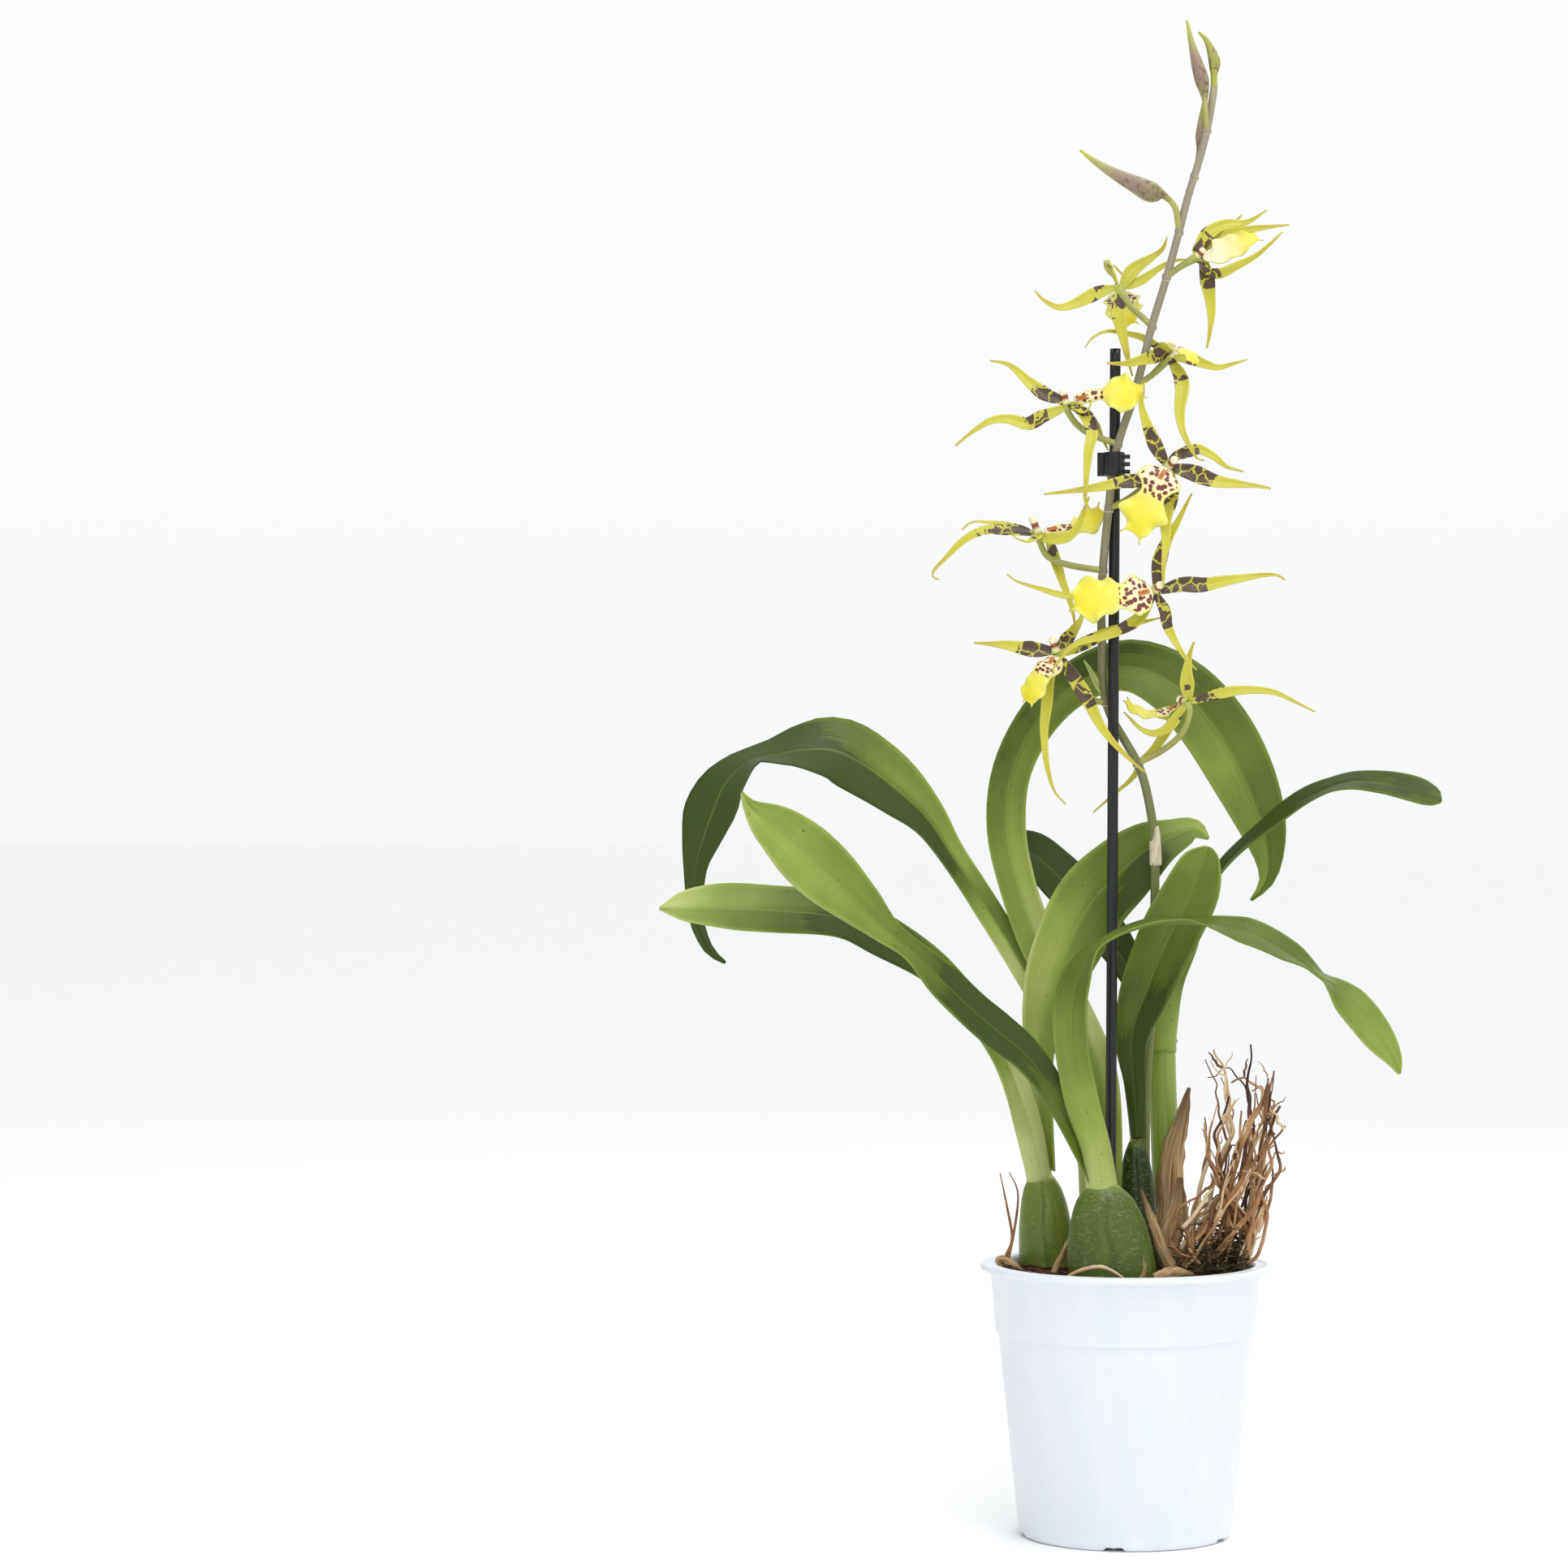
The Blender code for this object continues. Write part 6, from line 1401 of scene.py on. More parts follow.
# Each bloom: the heart where its parts meet, the point on the stem's axis that its pedicel leaves, and
# offsets from the heart for everything else. A lip's knots carry their half width.
BLOOMS = [
    {
        "heart": (29.6, -1, 529),
        "join": (17.2, 0, 521),
        "pedicel": [(-7, 0, -4)],
        "column": (3.5, -1, 3.5),
        "tepals": [
            tepal((4, 2, 9), (12, 4, 14), (21, 5, 15), (29, 6, 20)),
            tepal((1, 3, 4), (9, 8, 10), (15, 11, 15), (19, 12, 19)),
            tepal((5, 3, 6), (14, 2.5, 10), (27, 0.5, 12), (38, -1, 13)),
            tepal(
                (2, -4, -4), (8, -7.5, -7), (16, -9, -4.5), (26, -9, 1), (35, -9, 9), face=(0.2, -0.6, -0.7),
            ),
            tepal((3, -1, -3), (5, -2, -14), (6, -3, -24), (5, -4, -34), (4, -4, -38)),
        ],
        "lip": [
            (2.9, -3.1, -0.1, 1.4), (7, -5.6, 0.7, 5), (12, -5, 2.5, 6), (18, -5, 5, 5), (22, -5, 7, 3),
            (25, -4, 8, 0.6),
        ],
        "lip_face": (-0.3, 0.8, -0.5),
    },
    {
        "heart": (-2.4, 7, 517.3),
        "join": (11.3, 0, 500.5),
        "pedicel": [(5, -3, -8), (10, -6, -13)],
        "column": (-1, 4, 1.5),
        "tepals": [
            tepal((-3, 3, 6), (-6, 9, 10), (-3, 17, 12), (5, 22, 4), face=(1, 0.3, 0.5)),
            tepal((2, 1, 2), (6, 3, 8), (13, 5, 13), (18, 6, 17), (20, 6, 22)),
            tepal((-2, 0, 0), (-9, -1, -2), (-17, -2, -6), (-25, -3, -8), (-31, -3, -5), (-35, -3, -1)),
            tepal((0, -1, -3), (0, -3, -12), (2, -4, -22), (4, -5, -31), (5.5, -5, -37)),
            tepal((4, 1, 1), (10, 3, 4), (17, 4, 9), (24, 4, 12), (31, 4, 12), half=2.0),
        ],
        "lip": [(0.3, 2.9, -1.2, 1.6), (1, 7, -4, 7), (2, 11, -8, 7.5), (3, 14, -11, 6), (5, 15, -14, 0.6)],
        "lip_face": (0.0, -0.75, -0.6),
    },
    {
        "heart": (18.5, 0, 487.7),
        "join": (4.9, -2.2, 476),
        "pedicel": [(-7, -1, -7)],
        "column": (1.5, -1, 7),
        "tepals": [
            tepal((-4, -4, 1), (-10, -7, -1), (-18, -8, -3), (-26, -8, -3), face=(0.1, -0.9, -0.3)),
            tepal((-4, 3, 4), (-11, 7, 9), (-18, 9, 11), (-26, 8, 12), (-32, 6, 9), (-35, 5, 5), half=1.6),
            tepal((4, 2, 0), (10, 3, -1), (19, 2, -4), (25, 1, -3), (32, 0, -1), half=2.4),
            tepal(
                (1, -1.5, -2), (4.5, -6, -9), (5, -9, -15), (4, -12, -23), (5, -14, -31), (8, -16, -38),
                (11, -17, -43), (14, -17, -44),
            ),
            tepal((-2, -5, 3), (-2, -14, 4), (-1, -24, 3), (1, -31, 0), face=(0, 0.3, 1)),
        ],
        "lip": [
            (3, -2.4, 2, 2), (5, -5, 3.2, 4.5), (7.5, -8, 2, 5), (9.5, -10, -1, 3.5), (10.5, -11, -4, 0.6),
        ],
        "lip_face": (0.3, -0.3, 0.9),
    },
    {
        "heart": (-23.9, -4, 468),
        "join": (-2.9, -4.7, 451.6),
        "pedicel": [(0.5, -0.5, -3), (4, -1, -8), (10, -1, -12.4)],
        "column": (-2, -0.5, 7),
        "tepals": [
            tepal((-3, 0, 2), (-10, 1, 5), (-16, 2, 10), (-24, 3, 17), (-32, 3, 19)),
            tepal(
                (-3, -1, -2), (-10, -2, -5), (-16, -2, -8), (-24, -3, -6), (-32, -4, -7), (-40, -5, -12),
                (-46, -5, -17),
            ),
            tepal((5, 1, -2), (11, 5, -7), (14, 9, -12), (17, 12, -18), half=2.4),
            tepal(
                (4, -4, -1), (9, -10, -7), (10.5, -14, -13), (9, -18, -21), (8, -20, -34), (8, -19, -42),
                (12, -18, -46), half=2.8,
            ),
            tepal((3, -4, -1), (6, -9, -4), (9, -12, -3), (10.5, -13, 1), half=1.8, face=(0, -0.3, 1)),
        ],
        "lip": [
            (2.9, -0.8, 1.8, 1.6), (8, -3, 3, 2.4), (14.5, -5, 4, 3), (19, -7, 4.5, 7.5), (25, -8, 4.5, 7.5),
            (29, -8, 5, 4), (31.5, -8, 5, 0.6),
        ],
        "lip_face": (0.0, -0.95, 0.3),
    },
    {
        "heart": (17.8, -13, 441.6),
        "join": (-6.6, -4.7, 425),
        "pedicel": [(-3, 4, -3), (-10, 7, -8), (-17, 8.3, -13)],
        "column": (3.3, -5, 3.3),
        "tepals": [
            tepal((-1.5, 0, 2), (-5, -1, 8), (-8, -2, 15), (-11, -2, 25), (-10, -2, 31), (-10, -2, 34)),
            tepal((3, 0, 4), (8, 2, 6), (13, 3, 7), (19, 3, 4), (24, 3, 0), (31, 3, -2), half=2.6),
            tepal((3, 0, -1), (9, 0, -2.5), (17, 1, -5.5), (25, 1, -7), (36, 2, -8), (42, 3, -9), half=3.7),
            tepal((-3, 1, -2), (-11, 2, -5.5), (-20, 1, -6.5), (-29, 0, -8.5), (-41, 0, -10), (-51, 1, -11)),
            tepal((1, 0.5, -3), (1.5, 0.5, -11), (-1, -1, -21), (-1, -3, -31), (-2, -6, -41), (-2, -8, -50)),
        ],
        "lip": [
            (-0.7, -2.4, -0.7, 2), (-3, -5, -4.5, 8), (-5, -5.5, -9, 6.5), (-7.5, -5.5, -14, 7),
            (-10.5, -5, -20, 9.5), (-13, -4, -25, 6), (-15, -3, -28, 1),
        ],
        "lip_face": (0.0, -1.0, 0.15),
    },
    {
        "heart": (-35.7, -3, 414.7),
        "join": (-9.1, -2, 399.5),
        "pedicel": [(0.5, 0, -3), (4, 0, -9.5), (13, 0, -13)],
        "column": (-3, -0.5, 7.5),
        "tepals": [
            tepal(
                (-3, 1, 0.5), (-10, 3, 3), (-20, 4, 5), (-28, 4, 5), (-32, 4, 2), half=2.0,
                face=(0, -0.5, 0.9),
            ),
            tepal(
                (-3, -1, 0), (-13, -2, 1), (-22, -3, 1), (-31, -4, -3), (-38, -5, -10), (-43, -6, -15),
                (-43.5, -6, -18), (-41, -6, -19), face=(0, -0.7, 0.7),
            ),
            tepal((-0.5, -5, -2), (-4, -10, -4), (-8, -14, -3), (-11, -16, -1), half=2.2, face=(0, -0.2, 1)),
            tepal(
                (4, 2, -2), (7, 3, -11), (10, 2, -20), (13, 1, -28), (15, -1, -37), (15, -2, -43), half=2.2,
            ),
            tepal((3, -3, -2), (11, -5, -2), (16, -5, 2), (19, -5, 10), (21, -5, 15), half=2.6),
        ],
        "lip": [
            (2.6, 1.2, 0.9, 1.4), (8, 3, 2.5, 2), (14, 4.5, 3.2, 3), (19, 6, 5, 6.5), (23, 7, 8, 5.5),
            (26, 7, 11, 0.6),
        ],
        "lip_face": (0.0, -0.7, 0.7),
    },
    {
        "heart": (12.5, -14, 390.8),
        "join": (-9.8, -0.8, 385),
        "pedicel": [(-5, 3, -1), (-14, 7, -3), (-19, 10, -4.5)],
        "column": (2.5, -4, 2.5),
        "tepals": [
            tepal((0.5, 1, 3), (2, 3, 13), (5, 5, 21), (9, 6, 28), (15, 6, 40)),
            tepal(
                (3, 0, 0), (11, 1, 2), (20, 1, 2), (31, 1, 4), (44, 2, 6), (50, 2, 6), (53, 2, 4), half=3.4,
            ),
            tepal(
                (1, 0.5, -3), (4, 0, -9), (5, -1, -15), (9, -3, -23), (13, -4, -29), (17, -4, -33), half=2.4,
            ),
            tepal(
                (-3, 1.5, 0), (-14, 3, 0), (-28, 3, -1), (-37, 3, -2), (-48, 3, 1), (-57, 4, 4), (-61, 4, 7),
                half=2.6,
            ),
            tepal(
                (-1.5, 0.5, -3), (-7, 0, -12), (-18, -1, -18), (-29, -2, -21), (-35, -3, -24), (-41, -5, -31),
                (-42, -6, -34), half=2.6,
            ),
        ],
        "lip": [
            (-1.3, -2.2, -0.3, 2), (-6, -5, -1.5, 7.5), (-10, -6, -2.2, 6.5), (-14, -6, -2.6, 6.5),
            (-20, -6, -3, 8), (-26, -5, -3.5, 9.5), (-31, -5, -4.5, 6), (-34, -4, -5, 1),
        ],
        "lip_face": (0.0, -1.0, 0.15),
    },
    {
        "heart": (-28.3, -6, 365.6),
        "join": (-7.7, 5.3, 345),
        "pedicel": [(2, 3, -4), (9, 8, -14), (15, 10, -19.5)],
        "column": (-2, -2, 6.5),
        "tepals": [
            tepal((-3, 0, 0.5), (-10, 0, 1), (-22, 1, 3), (-34, 2, 4), half=3.4),
            tepal((2.5, 2, 3), (7, 6, 9), (10, 9, 14), (12, 11, 20), half=2.8),
            tepal((4, 0, 0), (11, -1, 3), (19, -2, 7), (28, -3, 10.5), (35, -3, 12), (43, -3, 14), half=2.8),
            tepal(
                (2, 0, -3), (8, -1, -12), (13, -2, -20), (18, -3, -30), (24, -3, -38), (31, -2, -45),
                (37, -1, -50),
            ),
            tepal(
                (0, 1, -3), (-3, 1, -12), (-4, 0, -22), (-5, 0, -33), (-4, 0, -46), (-1, 0, -57), (4, 0, -63),
                half=2.4,
            ),
        ],
        "lip": [
            (-0.8, -2.6, -1.9, 2), (-2.5, -5.5, -5, 5.5), (-6, -7, -9, 5), (-9, -7, -14, 5.5),
            (-11, -6, -18, 5), (-12, -5, -21, 1),
        ],
        "lip_face": (-0.3, -0.8, 0.5),
    },
    {
        "heart": (25.6, 4, 345),
        "join": (5.3, 6.3, 319.6),
        "pedicel": [(1, 0, -5), (-2, 0, -13), (-10, 0.5, -20)],
        "column": (-4, 3, 1.5),
        "tepals": [
            tepal((0.5, 0, 2), (0, -1, 11), (1, -1, 19), (3, -1, 25)),
            tepal((3, 0, 0.5), (14, 0, 3.5), (25, 1, 5), (36, 1, 4), (45, 1, 0), (53, 1, -4), half=2.3),
            tepal(
                (-2, 2, -2), (-7, 6, -10), (-13, 8.5, -19), (-19, 9.5, -25), (-22, 10, -31), (-31, 10, -39),
                (-39, 10, -46), half=2.0,
            ),
            tepal(
                (-2, -1, -3), (-7, -1, -10), (-13, 0, -13), (-19, 1, -11), (-24, 2, -6), (-26, 2, -4),
                half=2.2,
            ),
            tepal((0, 4, -2), (-3, 8, -5), (-7, 13, -7), (-12, 16, -6), half=2.4, face=(0, -0.3, 1)),
        ],
        "lip": [
            (-3.0, 4.1, -1.2, 1.4), (-7, 6.4, -3, 3.6), (-12, 6, -4.2, 3.4), (-17, 7, -4.2, 4),
            (-22, 7, -2, 3.4), (-25, 7, 1, 0.8),
        ],
        "lip_face": (0.1, -0.45, 0.9),
    },
]


def tepal_width(half):
    """Half width along a sepal or petal: a narrow claw, widest a third of the way out, then a long point."""

    def width(share):
        if share < 0.3:
            return half * (0.4 + 0.6 * math.sin(math.pi / 2 * share / 0.3))
        return half * (0.09 + 0.91 * (1 - (share - 0.3) / 0.7) ** 1.2)
    return width


def tepal_form(width, phase):
    """A shallow gutter whose edges wander a little, so that no two are alike."""

    def form(share, across_at, half):
        wander = 0.18 * math.sin(share * 19.0 + phase) * across_at**2 * min(1.0, width(share))
        return across_at * width(share), TEPAL_KEEL * width(share) * abs(across_at) ** 1.5 + wander, 0.0
    return form


def lip_form(phase, widest):
    """A flat lip: rounded ears at its root, a waist, and a blade ruffled along its sides, with a notched end
    and a short point in the notch. The narrower the lip, the less of it."""
    broad = min(1.0, widest / 9.0) ** 1.5

    def form(share, across_at, half):
        ending = max(0.0, (share - 0.84) / 0.16) ** 2
        blade = min(1.0, max(0.0, (share - 0.42) / 0.2))
        hand = 1.3 if across_at > 0 else 0.0
        frill = math.sin(share * 17.0 + phase + hand) + 0.4 * math.sin(share * 29.0 + 2 * phase + 2 * hand)
        waist = 0.45 * math.exp(-(((share - 0.07) / 0.06) ** 2))
        waist += 0.2 * math.exp(-(((share - 0.22) / 0.08) ** 2))
        waist -= 0.2 * math.exp(-(((share - 0.42) / 0.07) ** 2))
        squared = 1.0 + ending * max(0.0, 0.47 * widest / half - 1.0)
        out = across_at * squared * (1.0 + (0.15 * blade * frill + waist) * broad)
        ruffle = (0.35 + 1.3 * blade) * math.cos(share * 24.0 + 1.7 * phase + hand) * abs(across_at) ** 2.5
        height = LIP_KEEL * half * abs(across_at) ** 1.5 + ruffle * broad * (1.0 - 0.5 * ending)
        shoulder = -1.2 * math.exp(-(((share - 0.14) / 0.1) ** 2)) * across_at**2 * broad
        point = 0.9 * math.exp(-((across_at / 0.26) ** 2))
        rounded = widest / 9.0 * (1.4 * abs(across_at) - 3.2 * across_at**4 + point)
        return out, height, shoulder + ending * rounded
    return form


def tepal_finish(name, marking):
    """Tepal flesh: soft and waxy, yellow-green turning golden to the tail, paler at the edges, with maroon
    patches over the inner half parted by thin crooked lines. It has a satin shine."""
    made, tree = new_material(name, 0.42)
    texture_place = add_node(tree, "TexCoord")
    parts = add_node(tree, "SeparateXYZ", {}, {"Vector": texture_place.outputs["UV"]})
    clouds = add_node(
        tree, "TexNoise", {"Scale": 160.0, "Detail": 2.0}, {"Vector": texture_place.outputs["Object"]}
    )
    along_it = add_node(
        tree, "Math", {"operation": "MULTIPLY_ADD", 1: 0.3}, {0: clouds, 2: parts.outputs["X"]}
    )
    flesh = add_node(
        tree, "ValToRGB",
        {"ramp": [(0.12, "AEB03A"), (0.4, "C0BC38"), (0.8, "C8C23C"), (1.12, "BDAE3C")]},
        {"Fac": along_it},
    )
    edge = add_node(
        tree, "ValToRGB", {"ramp": [(0.0, 0.7), (0.14, 0.0), (0.86, 0.0), (1.0, 0.7)]},
        {"Fac": parts.outputs["Y"]},
    )
    edged = add_node(tree, "Mix", {"data_type": "RGBA", 7: "D8D258"}, {0: edge, 6: flesh})
    bend = add_node(
        tree, "TexNoise", {"Scale": 480.0, "Detail": 2.0}, {"Vector": texture_place.outputs["Object"]}
    )
    bent = add_node(
        tree, "Mix", {"data_type": "RGBA", 0: 0.0025},
        {6: texture_place.outputs["Object"], 7: bend.outputs["Color"]},
    )
    borders = add_node(
        tree, "TexVoronoi", {"feature": "DISTANCE_TO_EDGE", "Scale": 165.0}, {"Vector": bent.outputs[2]}
    )
    cells = add_node(tree, "TexVoronoi", {"Scale": 165.0}, {"Vector": bent.outputs[2]})
    cell_pick = add_node(tree, "SeparateColor", {}, {"Color": cells.outputs["Color"]})
    inside = add_node(tree, "ValToRGB", {"ramp": [(0.035, 0.0), (0.055, 1.0)]}, {"Fac": borders})
    marks = add_node(tree, "Attribute", {"attribute_name": "marks"})
    picked = add_node(
        tree, "Math", {"operation": "LESS_THAN"}, {0: cell_pick.outputs["Red"], 1: marks.outputs["Fac"]}
    )
    patch = add_node(tree, "Math", {"operation": "MULTIPLY"}, {0: picked, 1: inside})
    faint = add_node(tree, "Math", {"operation": "MULTIPLY", 1: marking}, {0: patch})
    dapple = add_node(tree, "ValToRGB", {"ramp": [(0.35, "3A2429"), (0.65, "4C2E31")]}, {"Fac": clouds})
    marked = add_node(tree, "Mix", {"data_type": "RGBA"}, {0: faint, 6: edged.outputs[2], 7: dapple})
    veins_place = add_node(
        tree, "Mapping", {"Scale": (3.0, 18.0, 1.0)}, {"Vector": texture_place.outputs["UV"]}
    )
    veins = add_node(tree, "TexNoise", {"Scale": 1.0, "Detail": 2.0}, {"Vector": veins_place})
    relief = add_node(tree, "Bump", {"Strength": 0.25, "Distance": 0.0003}, {"Height": veins})
    cover(tree, marked.outputs[2], relief)
    return made


tepal_face = tepal_finish("tepal_face", 0.95)
tepal_back = tepal_finish("tepal_back", 0.5)

# Lip flesh: thin and waxy, cream at the root and clear yellow at the blade, with pale greenish edges, fine
# lengthwise veins, and maroon spots scattered round the ridges.
lip_flesh, tree = new_material("lip_flesh", 0.4)
texture_place = add_node(tree, "TexCoord")
parts = add_node(tree, "SeparateXYZ", {}, {"Vector": texture_place.outputs["UV"]})
clouds = add_node(
    tree, "TexNoise", {"Scale": 190.0, "Detail": 2.0}, {"Vector": texture_place.outputs["Object"]}
)
along_it = add_node(tree, "Math", {"operation": "MULTIPLY_ADD", 1: 0.25}, {0: clouds, 2: parts.outputs["X"]})
flesh = add_node(
    tree, "ValToRGB",
    {"ramp": [(0.12, "F5EAC8"), (0.46, "F1E8B4"), (0.58, "ECE264"), (0.85, "ECE23C"), (1.15, "E8DA28")]},
    {"Fac": along_it},
)
edge = add_node(
    tree, "ValToRGB", {"ramp": [(0.0, 0.8), (0.2, 0.0), (0.8, 0.0), (1.0, 0.8)]}, {"Fac": parts.outputs["Y"]}
)
edged = add_node(tree, "Mix", {"data_type": "RGBA", 7: "E6E678"}, {0: edge, 6: flesh})
laid_flat = add_node(tree, "Attribute", {"attribute_name": "flat"})
spots = add_node(
    tree, "TexVoronoi", {"voronoi_dimensions": "2D", "Scale": 0.44, "Randomness": 0.8},
    {"Vector": laid_flat.outputs["Vector"]},
)
spot_shape = add_node(tree, "ValToRGB", {"ramp": [(0.37, 1.0), (0.45, 0.0)]}, {"Fac": spots})
spot_pick = add_node(tree, "SeparateColor", {}, {"Color": spots.outputs["Color"]})
marks = add_node(tree, "Attribute", {"attribute_name": "marks"})
picked = add_node(
    tree, "Math", {"operation": "LESS_THAN"}, {0: spot_pick.outputs["Red"], 1: marks.outputs["Fac"]}
)
spotting = add_node(tree, "Math", {"operation": "MULTIPLY"}, {0: picked, 1: spot_shape})
marked = add_node(tree, "Mix", {"data_type": "RGBA", 7: "74362A"}, {0: spotting, 6: edged.outputs[2]})
veins_place = add_node(tree, "Mapping", {"Scale": (2.0, 30.0, 1.0)}, {"Vector": texture_place.outputs["UV"]})
veins = add_node(tree, "TexNoise", {"Scale": 1.0, "Detail": 2.0}, {"Vector": veins_place})
relief = add_node(tree, "Bump", {"Strength": 0.3, "Distance": 0.0004}, {"Height": veins})
cover(tree, marked.outputs[2], relief)

# Callus: two waxy ridges on the lip's root, orange red and rather glossy.
callus_wax, _ = new_material("callus_wax", 0.3, {"Base Color": "CC7A2A"})


def shaded_flesh(name, roughness, ramp, settings=None):
    """Waxy flesh that changes colour along its length alone."""
    made, tree = new_material(name, roughness, settings)
    parts = add_node(tree, "SeparateXYZ", {}, {"Vector": add_node(tree, "TexCoord").outputs["UV"]})
    tint = add_node(tree, "ValToRGB", {"ramp": ramp}, {"Fac": parts.outputs["X"]})
    cover(tree, tint)
    return made


# The lip's back: the same flesh, paler and without spots.
lip_back = shaded_flesh(
    "lip_flesh_back", 0.45, [(0.1, "EDE6C4"), (0.5, "E6DF9A"), (0.8, "E6DC5A"), (1.0, "E8DC3C")]
)

# Column flesh: waxy, greenish at its foot and cream above, with a rusty spot where the anther cap closes it.
column_flesh = shaded_flesh(
    "column_flesh", 0.38,
    [(0.0, "B9C45A"), (0.25, "E9E2B0"), (0.4, "8A4A26"), (0.55, "8A4A26"), (0.62, "F3EBCB"), (1.0, "F1E8C8")],
    {"Subsurface Weight": 0.15, "Subsurface Scale": 0.004},
)

# Pedicel flesh: olive green and smooth, ribbed along the thicker seed chamber, a little paler at both ends.
pedicel_flesh = shaded_flesh(
    "pedicel_flesh", 0.42,
    [(0.0, "AEB458"), (0.3, "989C4E"), (0.72, "969452"), (0.93, "A8A758"), (1.0, "A29C62")],
    {"Subsurface Weight": 0.08, "Subsurface Scale": 0.004},
)


def seed_ribs(share, angle):
    """Three low ribs along the seed chamber, which is the bloom's half of its pedicel."""
    return 1.0 + 0.1 * max(0.0, 0.5 - share) * math.cos(3 * angle)


def round_cap(share, angle):
    """A column closes in a round cap."""
    return math.sqrt(max(0.0, 1.0 - max(0.0, share - 0.7) ** 2 / 0.09))


for number, bloom in enumerate(BLOOMS, 1):
    heart = Vector(bloom["heart"])
    tepal_mesh = unwrapped_mesh()
    marks_layer = tepal_mesh.verts.layers.float.new("marks")
    for index, part in enumerate(bloom["tepals"]):
        first = Vector(part["knots"][0]).normalized() * 0.8
        knots = [(*(heart + first), 1.0)] + [(*(heart + Vector(knot)), 1.0) for knot in part["knots"]]
        form = tepal_form(tepal_width(part["half"]), number * 5 + index)
        density = TEPAL_MARKS[number - 1][index]
        reach = 0.34 + 0.12 * density
        for vert, share, across_at in lay_blade(
            tepal_mesh, knots, part["looks"], TEPAL_STATIONS, TEPAL_ACROSS, form,
        ):
            vert[marks_layer] = density * max(0.0, 1.0 - (share / reach) ** 4)
    tepals = to_piece(f"spider_tepals_{number}", tepal_mesh, tepal_face, tepal_back)
    thicken(tepals, "Tepal thickness", TEPAL_THICKNESS, lined=True)
    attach(tepals, "root")
    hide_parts(f"bloom_{number}")

    core_mesh = unwrapped_mesh()
    bends = [heart + Vector(offset) for offset in bloom["pedicel"]]
    knots = [(*heart, 2.0)] + [(*bend, PEDICEL_RADIUS) for bend in bends] + [(*bloom["join"], PEDICEL_RADIUS)]
    wrap_rod(core_mesh, knots, 48, 18, width=seed_ribs)
    for face in core_mesh.faces:
        face.material_index = 1
    tip = heart + Vector(bloom["column"])
    knots = [(*heart, 2.0), (*heart.lerp(tip, 0.45), 1.45), (*heart.lerp(tip, 0.8), 1.75), (*tip, 1.5)]
    wrap_rod(core_mesh, knots, 30, 20, width=round_cap)
    bmesh.ops.recalc_face_normals(core_mesh, faces=core_mesh.faces)
    core = to_piece(f"waxy_column_{number}", core_mesh, column_flesh, pedicel_flesh)
    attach(core, "root")

    lip_mesh = unwrapped_mesh()
    marks_layer = lip_mesh.verts.layers.float.new("marks")
    flat_layer = lip_mesh.verts.layers.float_vector.new("flat")
    knots = [(*(heart + Vector(knot[:3])), knot[3]) for knot in bloom["lip"]]
    looks = [(0.0, bloom["lip_face"]), (1.0, bloom["lip_face"])]
    ruffled = lip_form(number * 1.7, max(knot[3] for knot in knots))
    lip_halves = [
        (step / LIP_STATIONS, point[3])
        for step, point in enumerate(along(knots, LIP_STATIONS + 1))
    ]
    for vert, share, across_at in lay_blade(lip_mesh, knots, looks, LIP_STATIONS, LIP_ACROSS, ruffled):
        spotted = LIP_SPOTTED[0] < share < LIP_SPOTTED[1] and abs(across_at) < LIP_SPOTTED_ACROSS
        plain = share < LIP_PLAIN[0] and abs(across_at) < LIP_PLAIN[1]
        laid_out = (share * LIP_FLAT_LENGTH, across_at * share_of(lip_halves, share), 0.0)
        vert[flat_layer] = Vector(laid_out) + Vector(bloom["heart"])
        vert[marks_layer] = 0.95 if spotted and not plain else 0.0
    lip_piece = to_piece(f"ruffled_lip_{number}", lip_mesh, lip_flesh, lip_back)
    thicken(lip_piece, "Lip thickness", LIP_THICKNESS, lined=True)
    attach(lip_piece, "root")
    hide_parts(f"lip_{number}")

    callus_mesh = unwrapped_mesh()
    frames = blade_frames(knots, looks, LIP_STATIONS)[2:9]
    for hand in (-1, 1):
        ridge = [
            (*(point.xyz + side * 0.5 * hand + up * 0.6), 0.3 + 0.08 * (step % 3))
            for step, (point, side, up) in enumerate(frames[::2])
        ]
        wrap_rod(callus_mesh, ridge, 20, 14)
    bmesh.ops.recalc_face_normals(callus_mesh, faces=callus_mesh.faces)
    callus = to_piece(f"callus_ridges_{number}", callus_mesh, callus_wax)
    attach(callus, "root")

# ---------------------------------------------------------------------------------------------
# Buds
# Four closed buds at the stem's end, each a long pointed spindle of folded sepals whose seams still show.
# ---------------------------------------------------------------------------------------------

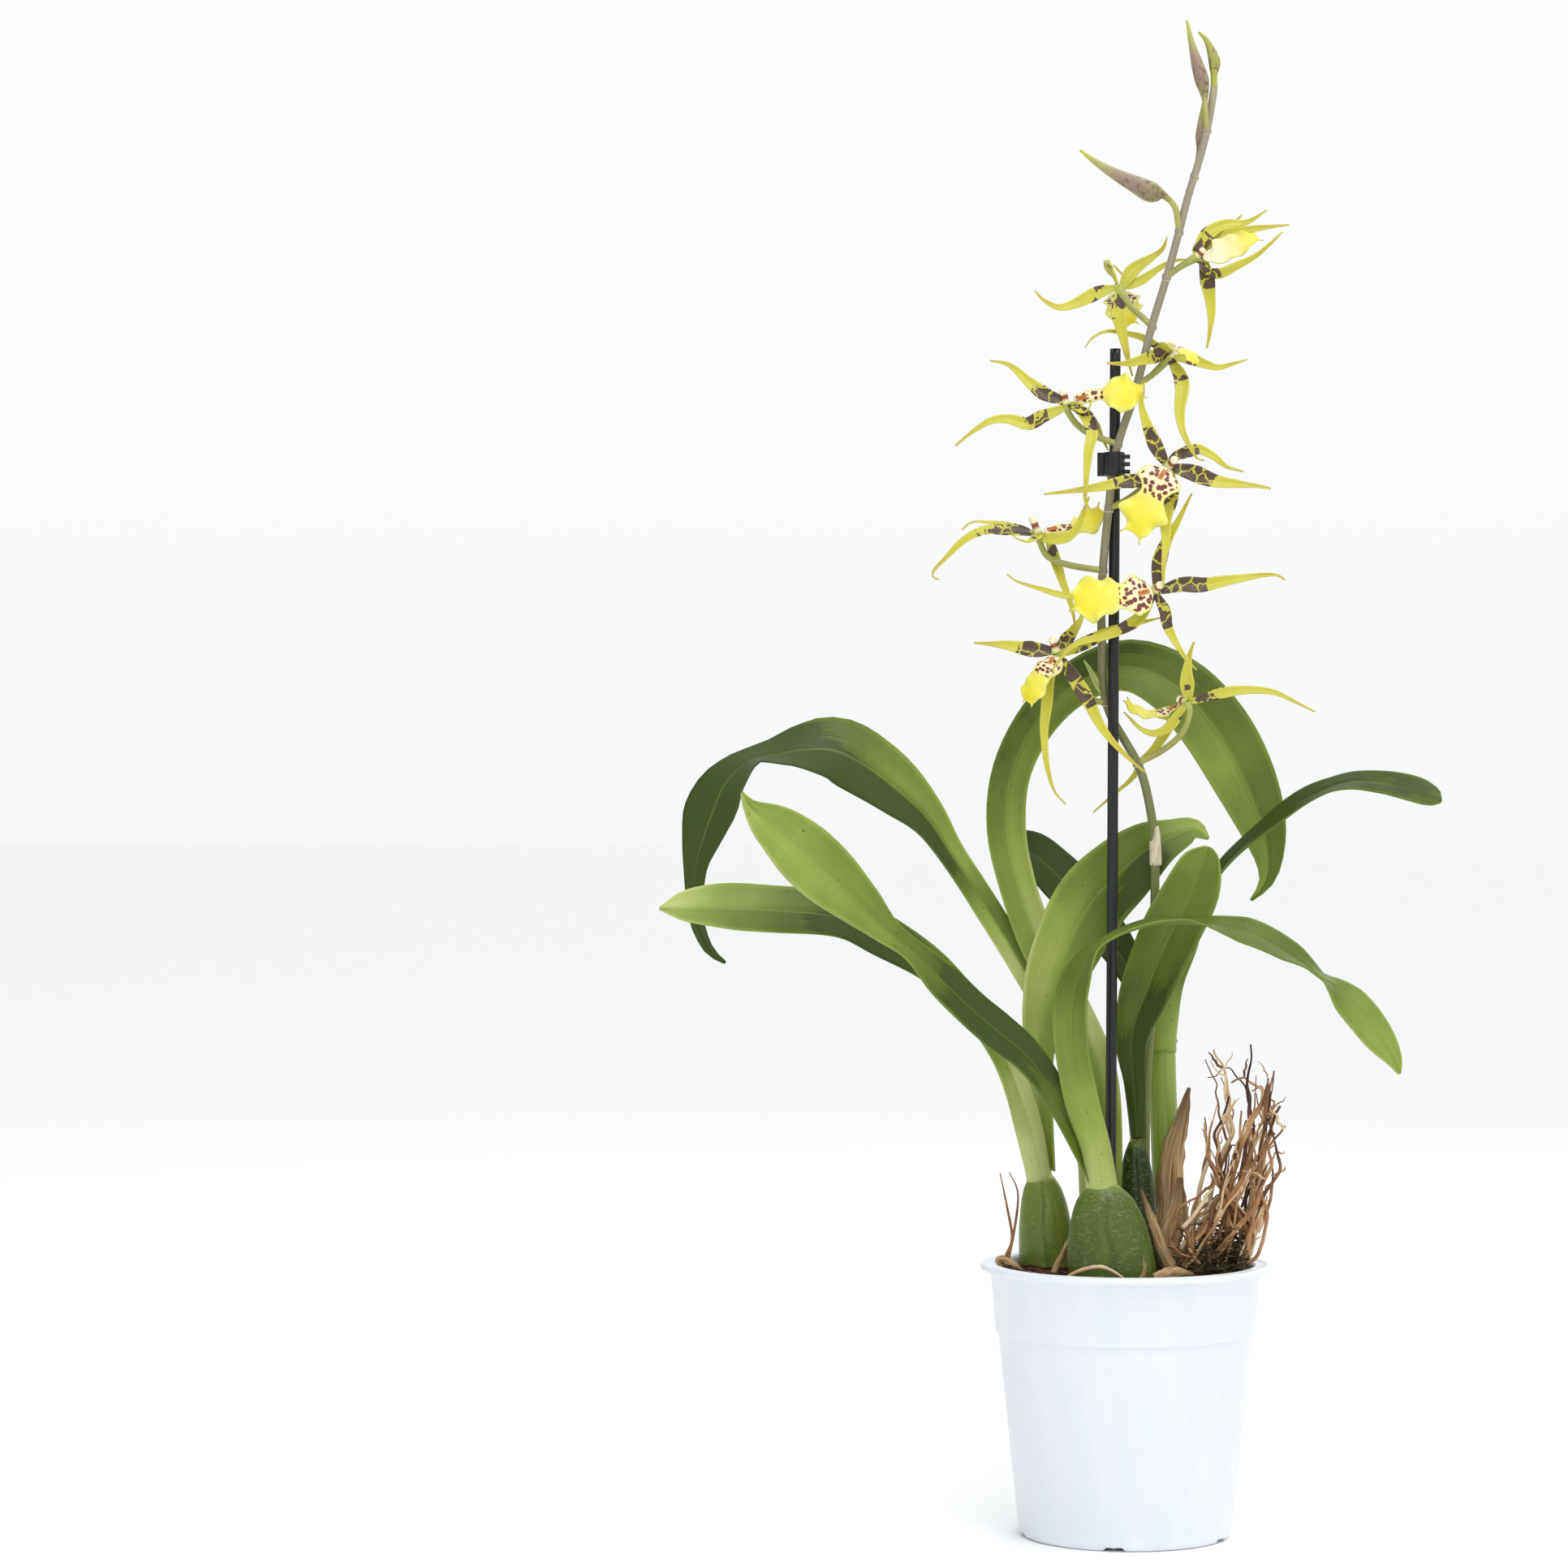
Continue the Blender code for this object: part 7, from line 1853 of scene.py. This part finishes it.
# Each bud: its knots from tip to the end of its pedicel, as (x, y, z, radius), then the point on the stem's
# axis that it leaves, none for the one on the stem's tip, and how green it is all over.
BUDS = [
    (
        [(25.6, 0, 627.4, 0.5), (27.6, 0, 618, 1.4), (30, 0, 609, 2.6), (31.8, 0, 602.5, 3.0),
         (32.7, 0, 597.5, 1.9), (33, -1.6, 594, 1.2), (33.2, -3.2, 590, 1.1)],
        (33.9, 0, 581.5), 0.0,
    ),
    (
        [(30.5, 0.5, 622.5, 0.5), (34, 0.5, 618.5, 1.2), (36.8, 0.3, 611, 2.4), (36.9, 0.2, 607, 2.0),
         (36.8, 0, 604.5, 1.4)],
        None, 0.7,
    ),
    (
        [(32.6, 4.5, 594, 0.6), (32.6, 4.5, 588, 2.1), (31.8, 4.5, 580, 2.7), (31, 4, 574, 1.4),
         (29.8, 3, 568, 1.1)],
        (28.7, 0, 562.5), 0.1,
    ),
    (
        [(-18.5, -4, 573.5, 0.5), (-12, -4, 568.5, 1.4), (-4, -4, 563.5, 2.5), (5, -4, 558.8, 3.8),
         (10.5, -4, 556, 4.4), (14, -4, 555, 3.2), (16, -3.8, 554.4, 1.6), (19, -3, 552, 1.25),
         (21.2, -2.5, 548, 1.3)],
        (22.4, 0, 539.8), 0.0,
    ),
]


def bud_seams(phase):
    """Three shallow seams where the folded sepals meet."""

    def width(share, angle):
        groove = abs(math.cos(1.5 * angle + phase)) ** 14
        return 1.0 - 0.1 * groove * math.sin(math.pi * min(1.0, share / 0.7))
    return width


# Bud skin: smooth and softly bloomed, brownish purple over yellow-green, which shows at the tip, at the foot
# and along the seams, with darker brown dapples lower down.
bud_skin, tree = new_material("bud_skin", 0.5)
texture_place = add_node(tree, "TexCoord")
parts = add_node(tree, "SeparateXYZ", {}, {"Vector": texture_place.outputs["UV"]})
clouds = add_node(
    tree, "TexNoise", {"Scale": 260.0, "Detail": 3.0}, {"Vector": texture_place.outputs["Object"]}
)
along_it = add_node(tree, "Math", {"operation": "MULTIPLY_ADD", 1: 0.22}, {0: clouds, 2: parts.outputs["X"]})
tint = add_node(
    tree, "ValToRGB",
    {
        "ramp": [
            (0.16, "B6BA44"), (0.32, "A8A266"), (0.46, "988272"), (0.62, "8F7A6C"), (0.74, "8C8258"),
            (0.9, "A8A75C"),
        ],
    },
    {"Fac": along_it},
)
seam = add_node(tree, "Math", {"operation": "MULTIPLY", 1: 3.0}, {0: parts.outputs["Y"]})
seam_place = add_node(tree, "Math", {"operation": "FRACT"}, {0: seam})
seam_line = add_node(
    tree, "ValToRGB", {"ramp": [(0.0, 0.65), (0.09, 0.0), (0.91, 0.0), (1.0, 0.65)]}, {"Fac": seam_place}
)
seamed = add_node(tree, "Mix", {"data_type": "RGBA", 7: "BDBE7A"}, {0: seam_line, 6: tint})
green_all_over = add_node(tree, "Attribute", {"attribute_name": "tone"})
greened = add_node(
    tree, "Mix", {"data_type": "RGBA", 7: "A3A83C"}, {0: green_all_over.outputs["Fac"], 6: seamed.outputs[2]}
)
blotches = add_node(
    tree, "TexNoise", {"Scale": 620.0, "Detail": 2.0}, {"Vector": texture_place.outputs["Object"]},
)
blotch_reach = add_node(
    tree, "ValToRGB", {"ramp": [(0.2, 0.05), (0.45, 0.2), (0.7, 0.28), (0.82, 0.0)]},
    {"Fac": parts.outputs["X"]}
)
blotch_sum = add_node(tree, "Math", {"operation": "ADD"}, {0: blotch_reach, 1: blotches})
blotch_mask = add_node(tree, "ValToRGB", {"ramp": [(0.74, 0.0), (0.86, 0.75)]}, {"Fac": blotch_sum})
dark_over = add_node(tree, "Mix", {"data_type": "RGBA", 7: "6A5140"}, {0: blotch_mask, 6: greened.outputs[2]})
cover(tree, dark_over.outputs[2])

for number, (knots, joint, greenness) in enumerate(BUDS, 1):
    knots = knots + [(*(joint or STEM[-1]), knots[-1][3])]
    bud_mesh = unwrapped_mesh()
    tone_layer = bud_mesh.verts.layers.float.new("tone")
    wrap_rod(bud_mesh, knots, 72, 36, width=bud_seams(number), tone=(tone_layer, lambda share: greenness))
    bmesh.ops.recalc_face_normals(bud_mesh, faces=bud_mesh.faces)
    bud = to_piece(f"closed_bud_{number}", bud_mesh, bud_skin)
    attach(bud, "root")
    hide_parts(f"bud_{number}")
